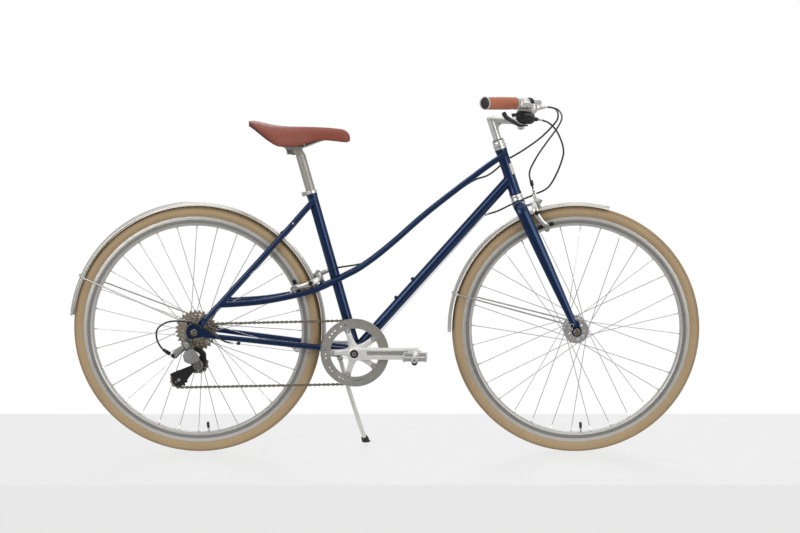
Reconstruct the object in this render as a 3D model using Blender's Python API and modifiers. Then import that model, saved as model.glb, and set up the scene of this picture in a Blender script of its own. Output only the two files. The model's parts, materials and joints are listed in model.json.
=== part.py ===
"""City bicycle: twin-tube step-through frame, eight sprockets, mudguards and a side stand.

Every size is in millimetres and is turned into metres by MM where a mesh is made. The bicycle is drawn
upright, with X forwards, Y to the rider's left and Z up from the ground, and the middle of the bottom
bracket at X = 0. Right-hand pieces therefore have a negative Y. At the end one empty leans the whole
bicycle onto its stand and moves the middle of its footprint to the origin.
"""

import math

import bmesh
import bpy
from mathutils import Matrix, Vector

MM = 0.001
GAP = 0.3  # clearance between pieces that touch
RIGHT, LEFT = -1, 1

# Frame geometry
CHAIN_STAY_LENGTH = 446.0
BRACKET_DROP = 58.0
WHEELBASE = 1057.0
HEAD_ANGLE = math.radians(71.6)
SEAT_ANGLE = math.radians(74.6)
FORK_RAKE = 41.0
FORK_LENGTH = 396.0  # axle to crown race along the steering axis
LEAN = math.radians(5.0)

# Frame tubes
HEAD_TUBE_LENGTH = 133.0
HEAD_TUBE_RADIUS = 16.0
HEAD_CUP_HEIGHT = 8.0
HEAD_CUP_RADIUS = 18.0
CROWN_RACE_HEIGHT = 7.0
STEERER_RADIUS = 12.7
DOWN_TUBE_RADIUS = 14.3
DOWN_TUBE_MEETS_HEAD = 48.0  # above the lower end of the head tube
SEAT_TUBE_RADIUS = 14.3
SEAT_TUBE_LENGTH = 454.0
SEAT_COLLAR_HEIGHT = 15.0
SEAT_COLLAR_RADIUS = 17.6
MIXTE_TUBE_RADIUS = 8.0
SEAT_STAY_RADIUS = 8.0
CHAIN_STAY_RADIUS = 8.5
CHAIN_STAY_END_RADIUS = 7.0
BRIDGE_RADIUS = 6.0
BRACKET_SHELL_RADIUS = 20.0
BRACKET_SHELL_WIDTH = 68.0
SPINDLE_RADIUS = 8.5
SPINDLE_LENGTH = 118.0
REAR_HUB_WIDTH = 130.0
FRONT_HUB_WIDTH = 100.0
DROPOUT_THICKNESS = 5.0
BOSS_RADIUS = 5.0
BOSS_HEIGHT = 3.0

# Wheels
TYRE_RADIUS = 346.0
TYRE_SECTION_RADIUS = 17.5
RIM_DEPTH = 24.8
RIM_TAPER = 9.0  # height of the slopes from the spoke bed to the brake tracks
RIM_BED_WIDTH = 12.0
RIM_WIDTH = 24.0
BEAD_DEPTH = 2.0
SPOKES = 32
SPOKE_RADIUS = 1.0
SPOKE_CROSSINGS = 3
WHEEL_STEPS = 48
AXLE_RADIUS = 4.7
AXLE_NUT_RADIUS = 8.5
AXLE_NUT_HEIGHT = 9.0
FRONT_FLANGE_RADIUS = 35.0
FRONT_FLANGE_SPACING = 68.0
REAR_FLANGE_RADIUS = 24.0
REAR_FLANGE_RIGHT = 20.0
REAR_FLANGE_LEFT = 34.0
FLANGE_THICKNESS = 3.5
HUB_BARREL_RADIUS = 13.0
HUB_END_RADIUS = 9.0

# Mudguards
GUARD_RADIUS = 358.0
GUARD_WIDTH = 43.0
GUARD_CROWN = 8.0
GUARD_THICKNESS = 1.2
REAR_GUARD_START, REAR_GUARD_END = -7.0, 173.5
FRONT_GUARD_START, FRONT_GUARD_END = 75.0, 181.0
STAY_WIRE_RADIUS = 2.5

# Chain drive
PITCH = 12.7
RING_TEETH = 44
SPROCKET_TEETH = (11, 13, 15, 17, 19, 21, 24, 28)
SPROCKET_SPACING = 4.8
PULLEY_TEETH = 11
CHAIN_LINE = 47.5  # the chainring's distance from the middle plane
CHAIN_HEIGHT = 8.5
CHAIN_WIDTH = 6.6
SMALL_SPROCKET_OFFSET = 60.0
RING_THICKNESS = 3.0
RING_INNER_RADIUS = 58.0
GUARD_RING_RADIUS = 95.0
GUARD_RING_INNER_RADIUS = 67.5
SPIDER_BOLT_RADIUS = 65.0
SPIDER_ARMS = 5
CRANK_LENGTH = 170.0
CRANK_THICKNESS = 13.0
CRANK_OFFSET = 66.0  # inner face of a crank from the middle plane
PEDAL_WIDTH = 92.0
PEDAL_LENGTH = 64.0
PEDAL_HEIGHT = 27.0
PEDAL_AXLE_RADIUS = 6.0

# Handlebar and controls
BAR_RADIUS = 11.1
BAR_CLAMP_RADIUS = 12.7
STEM_EXTENSION = 82.0
STEM_RISE = 90.0  # steering axis length from the head tube's top to the extension
QUILL_RADIUS = 11.05
GRIP_RADIUS = 17.0
GRIP_LENGTH = 132.0
BAR_SWEEP = math.radians(46.0)
BAR_STRAIGHT = 178.0

# Saddle
POST_RADIUS = 13.2
POST_INSERTION = 110.0
RAIL_RADIUS = 3.5
RAIL_SPACING = 44.0

# Stand
STAND_PIVOT = Vector((-54.0, 40.0, 272.0))
STAND_FOOT = Vector((20.0, 92.0, 8.0))
STAND_RADIUS = 6.0

REAR_AXLE = Vector((-math.sqrt(CHAIN_STAY_LENGTH**2 - BRACKET_DROP**2), 0.0, TYRE_RADIUS))
FRONT_AXLE = REAR_AXLE + Vector((WHEELBASE, 0.0, 0.0))
BRACKET = Vector((0.0, 0.0, TYRE_RADIUS - BRACKET_DROP))
STEER_UP = Vector((-math.cos(HEAD_ANGLE), 0.0, math.sin(HEAD_ANGLE)))
STEER_FORWARD = Vector((math.sin(HEAD_ANGLE), 0.0, math.cos(HEAD_ANGLE)))
STEER_FOOT = FRONT_AXLE - STEER_FORWARD * FORK_RAKE
DRAWN_HEAD = Vector((446.15, 0.0, 723.05))  # where the head tube's lower end was when the routes below were drawn
SEAT_UP = Vector((-math.cos(SEAT_ANGLE), 0.0, math.sin(SEAT_ANGLE)))
HEAD_LOW = FORK_LENGTH + CROWN_RACE_HEIGHT + HEAD_CUP_HEIGHT
HEAD_HIGH = HEAD_LOW + HEAD_TUBE_LENGTH
Y = Vector((0.0, 1.0, 0.0))
Z = Vector((0.0, 0.0, 1.0))

COLOURS = {
    "navy": ((0.010, 0.028, 0.090), 0.25, 0.6),
    "silver": ((0.62, 0.61, 0.58), 0.3, 0.9),
    "steel": ((0.30, 0.27, 0.22), 0.4, 0.9),
    "black": ((0.02, 0.02, 0.02), 0.5, 0.0),
    "tyre": ((0.50, 0.36, 0.20), 0.8, 0.0),
    "grip": ((0.42, 0.10, 0.03), 0.6, 0.0),
    "saddle": ((0.30, 0.06, 0.025), 0.5, 0.0),
}

parts = bpy.data.collections.new("city_bike")
materials = {}


# Helpers


def clear_scene():
    for obj in list(bpy.data.objects):
        bpy.data.objects.remove(obj, do_unlink=True)
    bpy.context.scene.collection.children.link(parts)


def material(name):
    if name not in materials:
        colour, roughness, metallic = COLOURS[name]
        made = bpy.data.materials.new(name)
        made.use_nodes = True
        shader = made.node_tree.nodes["Principled BSDF"]
        shader.inputs["Base Color"].default_value = (*colour, 1.0)
        shader.inputs["Roughness"].default_value = roughness
        shader.inputs["Metallic"].default_value = metallic
        materials[name] = made
    return materials[name]


def mirrored(point, side):
    """A point given for the left-hand side, on the side asked for."""
    return Vector((point[0], point[1] * side, point[2]))


def object_from(bm, place=None):
    """An object in metres from a bmesh in millimetres."""
    if place is not None:
        bm.transform(place)
    bm.transform(Matrix.Scale(MM, 4))
    bmesh.ops.remove_doubles(bm, verts=bm.verts, dist=1e-7)
    bmesh.ops.recalc_face_normals(bm, faces=bm.faces)
    mesh = bpy.data.meshes.new("piece")
    bm.to_mesh(mesh)
    bm.free()
    obj = bpy.data.objects.new("piece", mesh)
    parts.objects.link(obj)
    return obj


def plain_mesh(obj):
    """The object with its modifiers applied, or its curve made a mesh, closed and facing out."""
    bpy.context.view_layer.update()
    graph = bpy.context.evaluated_depsgraph_get()
    mesh = bpy.data.meshes.new_from_object(obj.evaluated_get(graph))
    bm = bmesh.new()
    bm.from_mesh(mesh)
    bmesh.ops.remove_doubles(bm, verts=bm.verts, dist=1e-6)
    bmesh.ops.recalc_face_normals(bm, faces=bm.faces)
    bm.to_mesh(mesh)
    bm.free()
    made = bpy.data.objects.new(obj.name, mesh)
    made.matrix_world = obj.matrix_world
    parts.objects.link(made)
    bpy.data.objects.remove(obj, do_unlink=True)
    return made


def rod(start, end, radius, end_radius=None, sides=16):
    start, end = Vector(start), Vector(end)
    bm = bmesh.new()
    bmesh.ops.create_cone(
        bm,
        cap_ends=True,
        segments=sides,
        radius1=radius,
        radius2=radius if end_radius is None else end_radius,
        depth=(end - start).length,
    )
    turn = (end - start).to_track_quat("Z", "Y").to_matrix().to_4x4()
    return object_from(bm, Matrix.Translation((start + end) / 2) @ turn)


def axes_matrix(origin, x_axis, y_axis):
    """A frame with the given origin, X axis and rough Y axis."""
    x_axis = Vector(x_axis).normalized()
    z_axis = x_axis.cross(Vector(y_axis)).normalized()
    y_axis = z_axis.cross(x_axis)
    turn = Matrix((x_axis, y_axis, z_axis)).transposed().to_4x4()
    return Matrix.Translation(Vector(origin)) @ turn


def block(origin, size, x_axis=(1, 0, 0), y_axis=(0, 1, 0), bevel=0.0):
    bm = bmesh.new()
    bmesh.ops.create_cube(bm, size=1.0)
    bm.transform(Matrix.Diagonal((*size, 1.0)))
    if bevel:
        bmesh.ops.bevel(bm, geom=bm.edges[:], offset=bevel, segments=2, affect="EDGES", profile=0.5)
    return object_from(bm, axes_matrix(origin, x_axis, y_axis))


def tube(points, radius, sides=8, radii=None):
    """A round bar through the points, with flat ends."""
    curve = bpy.data.curves.new("tube", "CURVE")
    curve.dimensions = "3D"
    curve.bevel_depth = radius * MM
    curve.bevel_resolution = (sides - 4) // 2
    curve.use_fill_caps = True
    spline = curve.splines.new("POLY")
    spline.points.add(len(points) - 1)
    for index, point in enumerate(points):
        spline.points[index].co = (*(Vector(point) * MM), 1.0)
        spline.points[index].radius = 1.0 if radii is None else radii[index] / radius
    obj = bpy.data.objects.new("tube", curve)
    parts.objects.link(obj)
    return plain_mesh(obj)


def plate(outline, thickness, origin, x_axis, y_axis, holes=()):
    """A flat plate whose outline and holes are lists of points in its own plane."""
    curve = bpy.data.curves.new("plate", "CURVE")
    curve.dimensions = "2D"
    curve.fill_mode = "BOTH"
    curve.extrude = thickness / 2 * MM
    for loop in (outline, *holes):
        spline = curve.splines.new("POLY")
        spline.points.add(len(loop) - 1)
        spline.use_cyclic_u = True
        for index, (u, v) in enumerate(loop):
            spline.points[index].co = (u * MM, v * MM, 0.0, 1.0)
    obj = bpy.data.objects.new("plate", curve)
    place = axes_matrix(Vector(origin) * MM, x_axis, y_axis)
    obj.matrix_world = place
    parts.objects.link(obj)
    return plain_mesh(obj)


def turned(profile, origin, axis, steps=32, ring=False, sweep=360.0, start=0.0, x_hint=(1, 0, 0)):
    """A profile of (radius, height) points turned about an axis; a ring's profile is a closed loop."""
    bm = bmesh.new()
    corners = [bm.verts.new((radius, 0.0, height)) for radius, height in profile]
    for first, second in zip(corners, corners[1:]):
        bm.edges.new((first, second))
    if ring:
        bm.edges.new((corners[-1], corners[0]))
    mesh = bpy.data.meshes.new("profile")
    bm.transform(Matrix.Scale(MM, 4))
    bm.to_mesh(mesh)
    bm.free()
    obj = bpy.data.objects.new("turned", mesh)
    screw = obj.modifiers.new("turn", "SCREW")
    screw.angle = math.radians(sweep)
    screw.steps = screw.render_steps = steps
    screw.use_merge_vertices = True
    screw.merge_threshold = 1e-6
    axis = Vector(axis).normalized()
    side = Vector(x_hint)
    side = (side - axis * side.dot(axis)).normalized()
    turn = Matrix((side, axis.cross(side), axis)).transposed().to_4x4()
    spin = Matrix.Rotation(math.radians(start), 4, "Z")
    obj.matrix_world = Matrix.Translation(Vector(origin) * MM) @ turn @ spin
    parts.objects.link(obj)
    return obj if sweep < 360.0 else plain_mesh(obj)


def shaped(base, added=(), removed=()):
    """One solid: the base joined with some pieces, less others."""
    for operation, others in (("UNION", added), ("DIFFERENCE", removed)):
        for other in others:
            step = base.modifiers.new(operation.lower(), "BOOLEAN")
            step.operation = operation
            step.object = other
            step.solver = "EXACT"
    made = plain_mesh(base)
    for other in (*added, *removed):
        bpy.data.objects.remove(other, do_unlink=True)
    return made


def named(name, obj, colour):
    obj.name = name
    obj.data.name = name
    obj.data.materials.clear()
    obj.data.materials.append(material(colour))
    obj.data.shade_smooth()
    obj.data.set_sharp_from_angle(angle=math.radians(35))
    return obj


def smooth_route(points, step=12.0):
    """Points about one step apart on a smooth curve through the route's own points."""
    points = [Vector(point) for point in points]
    padded = [points[0] * 2 - points[1], *points, points[-1] * 2 - points[-2]]
    found = [points[0]]
    for before, start, end, after in zip(padded, padded[1:], padded[2:], padded[3:]):
        pieces = max(2, round((end - start).length / step))
        for index in range(1, pieces + 1):
            t = index / pieces
            found.append(
                0.5
                * (
                    start * 2
                    + (end - before) * t
                    + (before * 2 - start * 5 + end * 4 - after) * t**2
                    + (start * 3 - before - end * 3 + after) * t**3
                )
            )
    return found


def circle(radius, centre=(0.0, 0.0), sides=24, start=0.0):
    turns = (start + 2 * math.pi * index / sides for index in range(sides))
    return [(centre[0] + radius * math.cos(a), centre[1] + radius * math.sin(a)) for a in turns]


def half_turn(start, end, pieces=8):
    return [start + (end - start) * index / pieces for index in range(pieces + 1)]


def around(centre, radius, degrees, across=0.0):
    """A point on a circle in the side view, counted from straight ahead and upwards."""
    turn = math.radians(degrees)
    return centre + Vector((radius * math.cos(turn), across, radius * math.sin(turn)))


def steering(height, forward=0.0, across=0.0):
    """A point by its height along the steering axis above the foot of the front axle on it."""
    return STEER_FOOT + STEER_UP * height + STEER_FORWARD * forward + Y * across


HEAD_SHIFT = steering(HEAD_LOW) - DRAWN_HEAD


def drawn(*point):
    """A drawn point of a route, which follows the head tube the more the nearer it lies to it."""
    share = min(max(point[0] / DRAWN_HEAD.x, 0.0), 1.0)
    return Vector(point) + HEAD_SHIFT * share


# Frame

DOWN_TUBE_TOP = steering(HEAD_LOW + DOWN_TUBE_MEETS_HEAD)
DOWN_TUBE_WAY = (DOWN_TUBE_TOP - BRACKET).normalized()
DOWN_TUBE_TOP_SIDE = Vector((-DOWN_TUBE_WAY.z, 0.0, DOWN_TUBE_WAY.x))
MIXTE_ROUTE = (
    drawn(416.0, 11.0, 836.0),
    drawn(347.5, 12.6, 787.6),
    drawn(208.0, 16.5, 680.3),
    drawn(112.8, 20.0, 597.4),
    drawn(55.0, 22.0, 550.0),
    drawn(10.0, 22.8, 518.6),
    drawn(-24.0, 23.0, 500.7),
    drawn(-56.0, 23.4, 484.0),
    drawn(-76.0, 26.0, 474.5),
    drawn(-96.0, 31.0, 466.0),
    drawn(-120.0, 33.5, 457.5),
    drawn(-173.0, 38.0, 444.0),
    drawn(-250.0, 45.0, 430.0),
    drawn(-330.0, 52.0, 423.0),
    drawn(-368.0, 55.5, 421.5),
)
SEAT_STAY_ROUTE = ((-112.0, 15.0, 709.5), (-150.0, 23.0, 667.0), (-203.0, 31.0, 607.5), (-404.5, 63.4, 381.0))
CHAIN_STAY_ROUTE = ((-12.0, 25.0, 289.5), (-84.0, 34.0, 298.0), (-414.0, 64.5, 337.5))
SHELL_ENVELOPE = BRACKET_SHELL_RADIUS + GAP


def along(route, share, side):
    """A point on a route's last straight stretch."""
    start, end = mirrored(route[-2], side), mirrored(route[-1], side)
    return start.lerp(end, share)


def shell_envelope():
    return rod(BRACKET - Y * 60, BRACKET + Y * 60, SHELL_ENVELOPE, sides=24)


def head_envelope():
    return rod(steering(HEAD_LOW - 60), steering(HEAD_HIGH + 60), HEAD_TUBE_RADIUS + GAP, sides=24)


def seat_envelope():
    top = BRACKET + SEAT_UP * (SEAT_TUBE_LENGTH + 60)
    return rod(BRACKET, top, SEAT_TUBE_RADIUS + GAP, sides=24)


def head_tube():
    low, high = HEAD_LOW - HEAD_CUP_HEIGHT + GAP, HEAD_HIGH + HEAD_CUP_HEIGHT
    cups = [
        rod(steering(low), steering(HEAD_LOW + 1), HEAD_CUP_RADIUS, sides=24),
        rod(steering(HEAD_HIGH - 1), steering(high), HEAD_CUP_RADIUS, sides=24),
    ]
    bore = rod(steering(low - 5), steering(high + 5), STEERER_RADIUS + GAP, sides=24)
    body = rod(steering(HEAD_LOW), steering(HEAD_HIGH), HEAD_TUBE_RADIUS, sides=24)
    return named("head_tube", shaped(body, cups, [bore]), "navy")


CALIPER_BRIDGE_REACH = 19.8
BOTTLE_BOSS_PLACES = (185.0, 255.0)  # along the down tube from the bottom bracket


def down_tube():
    bosses = []
    for distance in BOTTLE_BOSS_PLACES:
        seat = BRACKET + DOWN_TUBE_WAY * distance
        bosses.append(
            rod(
                seat + DOWN_TUBE_TOP_SIDE * (DOWN_TUBE_RADIUS - 3),
                seat + DOWN_TUBE_TOP_SIDE * (DOWN_TUBE_RADIUS + BOSS_HEIGHT),
                BOSS_RADIUS,
                sides=12,
            )
        )
    body = rod(BRACKET, DOWN_TUBE_TOP, DOWN_TUBE_RADIUS, sides=20)
    cutters = [shell_envelope(), head_envelope(), seat_envelope()]
    return named("down_tube", shaped(body, bosses, cutters), "navy")


def seat_tube():
    top = BRACKET + SEAT_UP * SEAT_TUBE_LENGTH
    collar = rod(
        top - SEAT_UP * 3, top + SEAT_UP * (SEAT_COLLAR_HEIGHT - 3), SEAT_COLLAR_RADIUS, sides=24
    )
    lug = block(
        top + SEAT_UP * (SEAT_COLLAR_HEIGHT / 2 - 3) + Vector((-SEAT_COLLAR_RADIUS - 4, 0, 0)),
        (16.0, 14.0, 11.0),
        x_axis=(SEAT_UP.z, 0, -SEAT_UP.x),
    )
    bore = rod(
        top - SEAT_UP * (POST_INSERTION + 40),
        top + SEAT_UP * (SEAT_COLLAR_HEIGHT + 20),
        POST_RADIUS + GAP,
        sides=24,
    )
    body = rod(BRACKET, top + SEAT_UP * 2, SEAT_TUBE_RADIUS, sides=24)
    return named("seat_tube", shaped(body, [collar, lug], [shell_envelope(), bore]), "navy")


def stand_bracket():
    centre = Vector((STAND_PIVOT.x, 14.0, STAND_PIVOT.z + 2))
    return block(centre, (34.0, 36.0, 8.0))


def bottom_bracket_shell():
    half = BRACKET_SHELL_WIDTH / 2
    body = rod(BRACKET - Y * half, BRACKET + Y * half, BRACKET_SHELL_RADIUS, sides=24)
    cups = [
        rod(BRACKET + Y * side * (half - 2), BRACKET + Y * side * (half + 4), BRACKET_SHELL_RADIUS - 2, sides=24)
        for side in (RIGHT, LEFT)
    ]
    web = block((-30.0, 8.0, STAND_PIVOT.z + 4), (44.0, 20.0, 5.0))
    lug = rod(STAND_PIVOT - stand_axis() * 12, STAND_PIVOT - stand_axis() * GAP, 9.0, sides=16)
    bore = rod(BRACKET - Y * 60, BRACKET + Y * 60, SPINDLE_RADIUS + GAP, sides=20)
    return named("bottom_bracket_shell", shaped(body, [*cups, web, stand_bracket(), lug], [bore]), "navy")


def guard_bridge_point(degrees):
    return around(REAR_AXLE, GUARD_RADIUS + GAP + BRIDGE_RADIUS, degrees)


def mixte_tube(side):
    body = tube([mirrored(p, side) for p in smooth_route(MIXTE_ROUTE, 60.0)], MIXTE_TUBE_RADIUS, 8)
    added = []
    if side == RIGHT:
        reach = CALIPER_BRIDGE_REACH
        added.append(rod(REAR_CALIPER_BRIDGE - Y * 31.0, REAR_CALIPER_BRIDGE + Y * reach, BRIDGE_RADIUS, sides=12))
        added.append(caliper_bolt(REAR_CALIPER, REAR_BRIDGE_BACK - CALIPER_SEAT))
    cutters = [head_envelope(), stay_envelope(side)]
    return named(f"mixte_tube_{side_name(side)}", shaped(body, added, cutters), "navy")


def side_name(side):
    return "right" if side == RIGHT else "left"


def stay_envelope(side):
    points = [mirrored(point, side) for point in SEAT_STAY_ROUTE[-2:]]
    return rod(points[0], points[1], SEAT_STAY_RADIUS + GAP, sides=16)


RACK_BOSS_SHARE = 0.36
RACK_BOSS_TOP = 10.5


def rack_boss_place(side):
    start, end = (mirrored(point, side) for point in SEAT_STAY_ROUTE[1:3])
    return start.lerp(end, RACK_BOSS_SHARE)


def seat_stay(side):
    body = tube([mirrored(point, side) for point in SEAT_STAY_ROUTE], SEAT_STAY_RADIUS, 12)
    boss = rack_boss_place(side)
    added = [rod(boss + Y * side * 3, boss + Y * side * RACK_BOSS_TOP, BOSS_RADIUS, sides=12)]
    if side == RIGHT:
        bridge = guard_bridge_point(STAY_BRIDGE_ANGLE)
        added.append(rod(bridge - Y * 30.0, bridge + Y * STAY_BRIDGE_REACH, BRIDGE_RADIUS, sides=12))
    cutters = [seat_envelope(), dropout_envelope(side)]
    return named(f"seat_stay_{side_name(side)}", shaped(body, added, cutters), "navy")


STAY_BRIDGE_ANGLE = 48.3
STAY_BRIDGE_REACH = 21.5
CHAIN_BRIDGE_ANGLE = -6.0
CHAIN_BRIDGE_REACH = 24.0
DROPOUT_Y = REAR_HUB_WIDTH / 2 + DROPOUT_THICKNESS / 2
HANGER = Vector((-461.5, -DROPOUT_Y, 314.6))


def dropout_outline(side):
    """The rear dropout in the side view, from the axle."""
    outline = [(-14, -6), (-13, 10), (-5, 17), (13, 33), (27, 46), (45, 39), (31, 17), (37, 0), (36, -15), (20, -16), (4, -14)]
    if side == RIGHT:
        hanger = HANGER - REAR_AXLE
        outline += [(-7, -24), (hanger.x + 11, hanger.z - 6), (hanger.x, hanger.z - 10)]
        outline += [(hanger.x - 10, hanger.z - 2), (hanger.x - 7, hanger.z + 9)]
    return outline


def dropout(side):
    return plate(
        dropout_outline(side),
        DROPOUT_THICKNESS,
        REAR_AXLE + Y * side * DROPOUT_Y,
        (1, 0, 0),
        (0, 0, 1),
        holes=[circle(AXLE_RADIUS + GAP, sides=16)],
    )


def dropout_envelope(side):
    return plate(
        [(-40, -60), (-40, 60), (26.6, 46.8), (45.8, 39.2), (60, 4), (50, -60)],
        DROPOUT_THICKNESS + 2 * GAP,
        REAR_AXLE + Y * side * DROPOUT_Y,
        (1, 0, 0),
        (0, 0, 1),
    )


def chain_stay(side):
    route = [mirrored(point, side) for point in CHAIN_STAY_ROUTE]
    radii = [CHAIN_STAY_RADIUS, CHAIN_STAY_RADIUS, CHAIN_STAY_END_RADIUS]
    body = tube(route, CHAIN_STAY_RADIUS, 12, radii)
    added = [dropout(side)]
    if side == RIGHT:
        bridge = guard_bridge_point(CHAIN_BRIDGE_ANGLE)
        added.append(rod(bridge - Y * 32.0, bridge + Y * CHAIN_BRIDGE_REACH, BRIDGE_RADIUS, sides=12))
    return named(f"chain_stay_{side_name(side)}", shaped(body, added, [shell_envelope()]), "navy")


# Fork and steering


def fork():
    crown_height = FORK_LENGTH - 12.0
    body = rod(steering(crown_height - 4), steering(HEAD_HIGH + 28), STEERER_RADIUS, sides=24)
    race = rod(steering(FORK_LENGTH - 2), steering(FORK_LENGTH + CROWN_RACE_HEIGHT), 17.0, sides=24)
    crown = rod(steering(crown_height, across=-40), steering(crown_height, across=40), 12.5, sides=16)
    added = [race, crown, caliper_bolt(FRONT_CALIPER, 32.0)]
    for side in (RIGHT, LEFT):
        top = steering(crown_height + 8, across=FORK_TOP_SPACING / 2 * side)
        end = FRONT_AXLE + Vector((-6.0, side * 53.0, 21.0))
        added.append(rod(top, end, FORK_TOP_RADIUS, FORK_END_RADIUS, sides=14))
        added.append(fork_end(side))
    bore = rod(steering(HEAD_HIGH - 75), steering(HEAD_HIGH + 60), QUILL_RADIUS + GAP, sides=20)
    return named("fork", shaped(body, added, [bore]), "navy")


FORK_TOP_SPACING = 82.0
FORK_TOP_RADIUS = 13.5
FORK_END_RADIUS = 7.5
FORK_END_THICKNESS = 5.0
FORK_END_Y = FRONT_HUB_WIDTH / 2 + FORK_END_THICKNESS / 2


def fork_end(side):
    return plate(
        [(-10, -10), (-12, 4), (-14, 30), (0, 34), (11, 10), (11, -8), (2, -13)],
        FORK_END_THICKNESS,
        FRONT_AXLE + Y * side * FORK_END_Y,
        (1, 0, 0),
        (0, 0, 1),
        holes=[circle(AXLE_RADIUS + GAP, sides=16)],
    )


def headset_top():
    low = HEAD_HIGH + HEAD_CUP_HEIGHT + GAP
    inner = STEERER_RADIUS + GAP
    profile = [(inner, 0), (18.2, 0), (18.2, 6), (16.2, 8), (16.2, 11), (17.2, 12), (17.2, 18.5), (inner, 19.5)]
    return named("headset_top", turned(profile, steering(low), STEER_UP, 24, ring=True), "silver")


STEM_CORNER = steering(HEAD_HIGH + STEM_RISE)
BAR_CLAMP = STEM_CORNER + Vector((STEM_EXTENSION, 0.0, -3.0))


def stem():
    quill = rod(steering(HEAD_HIGH - 70), STEM_CORNER, QUILL_RADIUS, sides=20)
    knee = rod(STEM_CORNER - Y * 10.4, STEM_CORNER + Y * 10.4, 11.6, sides=16)
    extension = rod(STEM_CORNER, BAR_CLAMP, 10.8, 10.2, sides=16)
    clamp = rod(BAR_CLAMP - Y * 19, BAR_CLAMP + Y * 19, 17.2, sides=24)
    lugs = block(BAR_CLAMP + Vector((0.0, 0.0, -18.0)), (22.0, 17.0, 14.0))
    bolt = rod(BAR_CLAMP + Vector((-15.0, 0, -19.0)), BAR_CLAMP + Vector((15.0, 0, -19.0)), 4.0, sides=12)
    slot = block(BAR_CLAMP + Vector((0.0, 0.0, -18.0)), (2.0, 60.0, 16.5))
    bore = rod(BAR_CLAMP - Y * 40, BAR_CLAMP + Y * 40, BAR_CLAMP_RADIUS + GAP, sides=24)
    body = shaped(quill, [knee, extension, clamp, lugs], [bore, slot])
    return named("stem", shaped(body, [bolt]), "silver")


GRIP_END = Vector((358.0, 286.0, 976.0)) + HEAD_SHIFT  # left-hand bar end
BAR_BEND = (
    Vector((500.0, 134.0, 977.0)) + HEAD_SHIFT,
    Vector((498.0, 104.0, 969.0)) + HEAD_SHIFT,
    Vector((482.0, 70.0, 948.0)) + HEAD_SHIFT,
    BAR_CLAMP + Vector((6.0, 46.0, 6.0)),
    BAR_CLAMP + Vector((0.0, 28.0, 0.0)),
)


def bar_way():
    """Direction along the left grip, from its end inwards."""
    return Vector((math.sin(BAR_SWEEP), -math.cos(BAR_SWEEP), 0.0)).normalized()


def on_bar(distance, side):
    """A point on the bar's straight end, measured inwards from the bar end."""
    return mirrored(GRIP_END + bar_way() * distance, side)


def bar_half(side):
    """Points of one half of the bar from its end to the clamp."""
    straight = [on_bar(distance, side) for distance in (GAP + 3.0, BAR_STRAIGHT / 2, BAR_STRAIGHT)]
    bend = [mirrored(point, side) for point in BAR_BEND]
    return straight[:-1] + smooth_route([straight[-1], *bend], 20.0)


def handlebar():
    right = bar_half(RIGHT)
    left = bar_half(LEFT)
    points = [*right, *reversed(left)]
    radii = [BAR_CLAMP_RADIUS if abs(point.y) < 31 else BAR_RADIUS for point in points]
    return named("handlebar", tube(points, BAR_RADIUS, 12, radii), "silver")


def grip(side):
    inner = on_bar(GRIP_LENGTH, side)
    sleeve = rod(on_bar(0.0, side), inner, GRIP_RADIUS, sides=20)
    bore = rod(on_bar(3.0, side), on_bar(GRIP_LENGTH + 20, side), BAR_RADIUS + GAP, sides=20)
    return named(f"grip_{side_name(side)}", shaped(sleeve, removed=[bore]), "grip")


def bar_forward(side):
    """Level direction square to the bar's end, pointing forwards."""
    return mirrored(Vector((math.cos(BAR_SWEEP), math.sin(BAR_SWEEP), 0.0)), side)


BRAKE_CLAMP_PLACE = GRIP_LENGTH + 15.0
SHIFTER_CLAMP_PLACE = GRIP_LENGTH + 34.0
LEVER_REACH = 32.0
LEVER_DROP = 11.0


def lever_pivot(side):
    return on_bar(BRAKE_CLAMP_PLACE, side) + bar_forward(side) * LEVER_REACH - Z * LEVER_DROP


def lever_outlet(side):
    """Where the brake's cable leaves its bracket."""
    return lever_pivot(side) + mirrored(bar_way(), side) * 28 + bar_forward(side) * 11


def brake_bracket(side):
    centre = on_bar(BRAKE_CLAMP_PLACE, side)
    way = mirrored(bar_way(), side)
    forward = bar_forward(side)
    ring = rod(centre - way * 8, centre + way * 8, 15.0, sides=16)
    pivot = lever_pivot(side)
    arm = block((centre + pivot) / 2 + forward * 2 + way * 4, (24.0, 16.0, 15.0), forward, way)
    upper = block(pivot + Z * 6.2 + way * 5, (22.0, 24.0, 4.0), forward, way)
    lower = block(pivot - Z * 6.2 + way * 5, (22.0, 24.0, 4.0), forward, way)
    cheek = block(pivot + way * 15, (22.0, 9.0, 16.4), forward, way)
    barrel = rod(pivot + way * 15 + forward * 6, lever_outlet(side), 5.0, 4.0, sides=12)
    bore = rod(centre - way * 30, centre + way * 30, BAR_RADIUS + GAP, sides=20)
    clear = rod(pivot - Z * 4.2, pivot + Z * 4.2, 10.6, sides=16)
    body = shaped(ring, [arm, upper, lower, cheek, barrel], [bore, clear])
    return named(f"brake_bracket_{side_name(side)}", body, "silver")


def brake_lever(side):
    pivot = lever_pivot(side)
    way = mirrored(bar_way(), side)
    forward = bar_forward(side)
    ring = on_bar(BRAKE_CLAMP_PLACE, side) - Z * 6
    boss = rod(pivot - Z * (4.2 - GAP), pivot + Z * (4.2 - GAP), 9.0, sides=16)
    blade = tube(
        [
            pivot,
            pivot + forward * 10 - way * 14,
            ring + forward * 50 - way * 27,
            ring + forward * 60 - way * 44 + Z * 2,
            ring + forward * 68 - way * 68 + Z * 3,
            ring + forward * 74 - way * 88 + Z * 2,
        ],
        5.0,
        8,
        [3.5, 3.7, 4.6, 5.5, 5.5, 6.0],
    )
    return named(f"brake_lever_{side_name(side)}", shaped(boss, [blade]), "silver")


def pod_centre():
    return on_bar(SHIFTER_CLAMP_PLACE, RIGHT) + Vector((-9.0, 2.0, -42.0))


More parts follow.
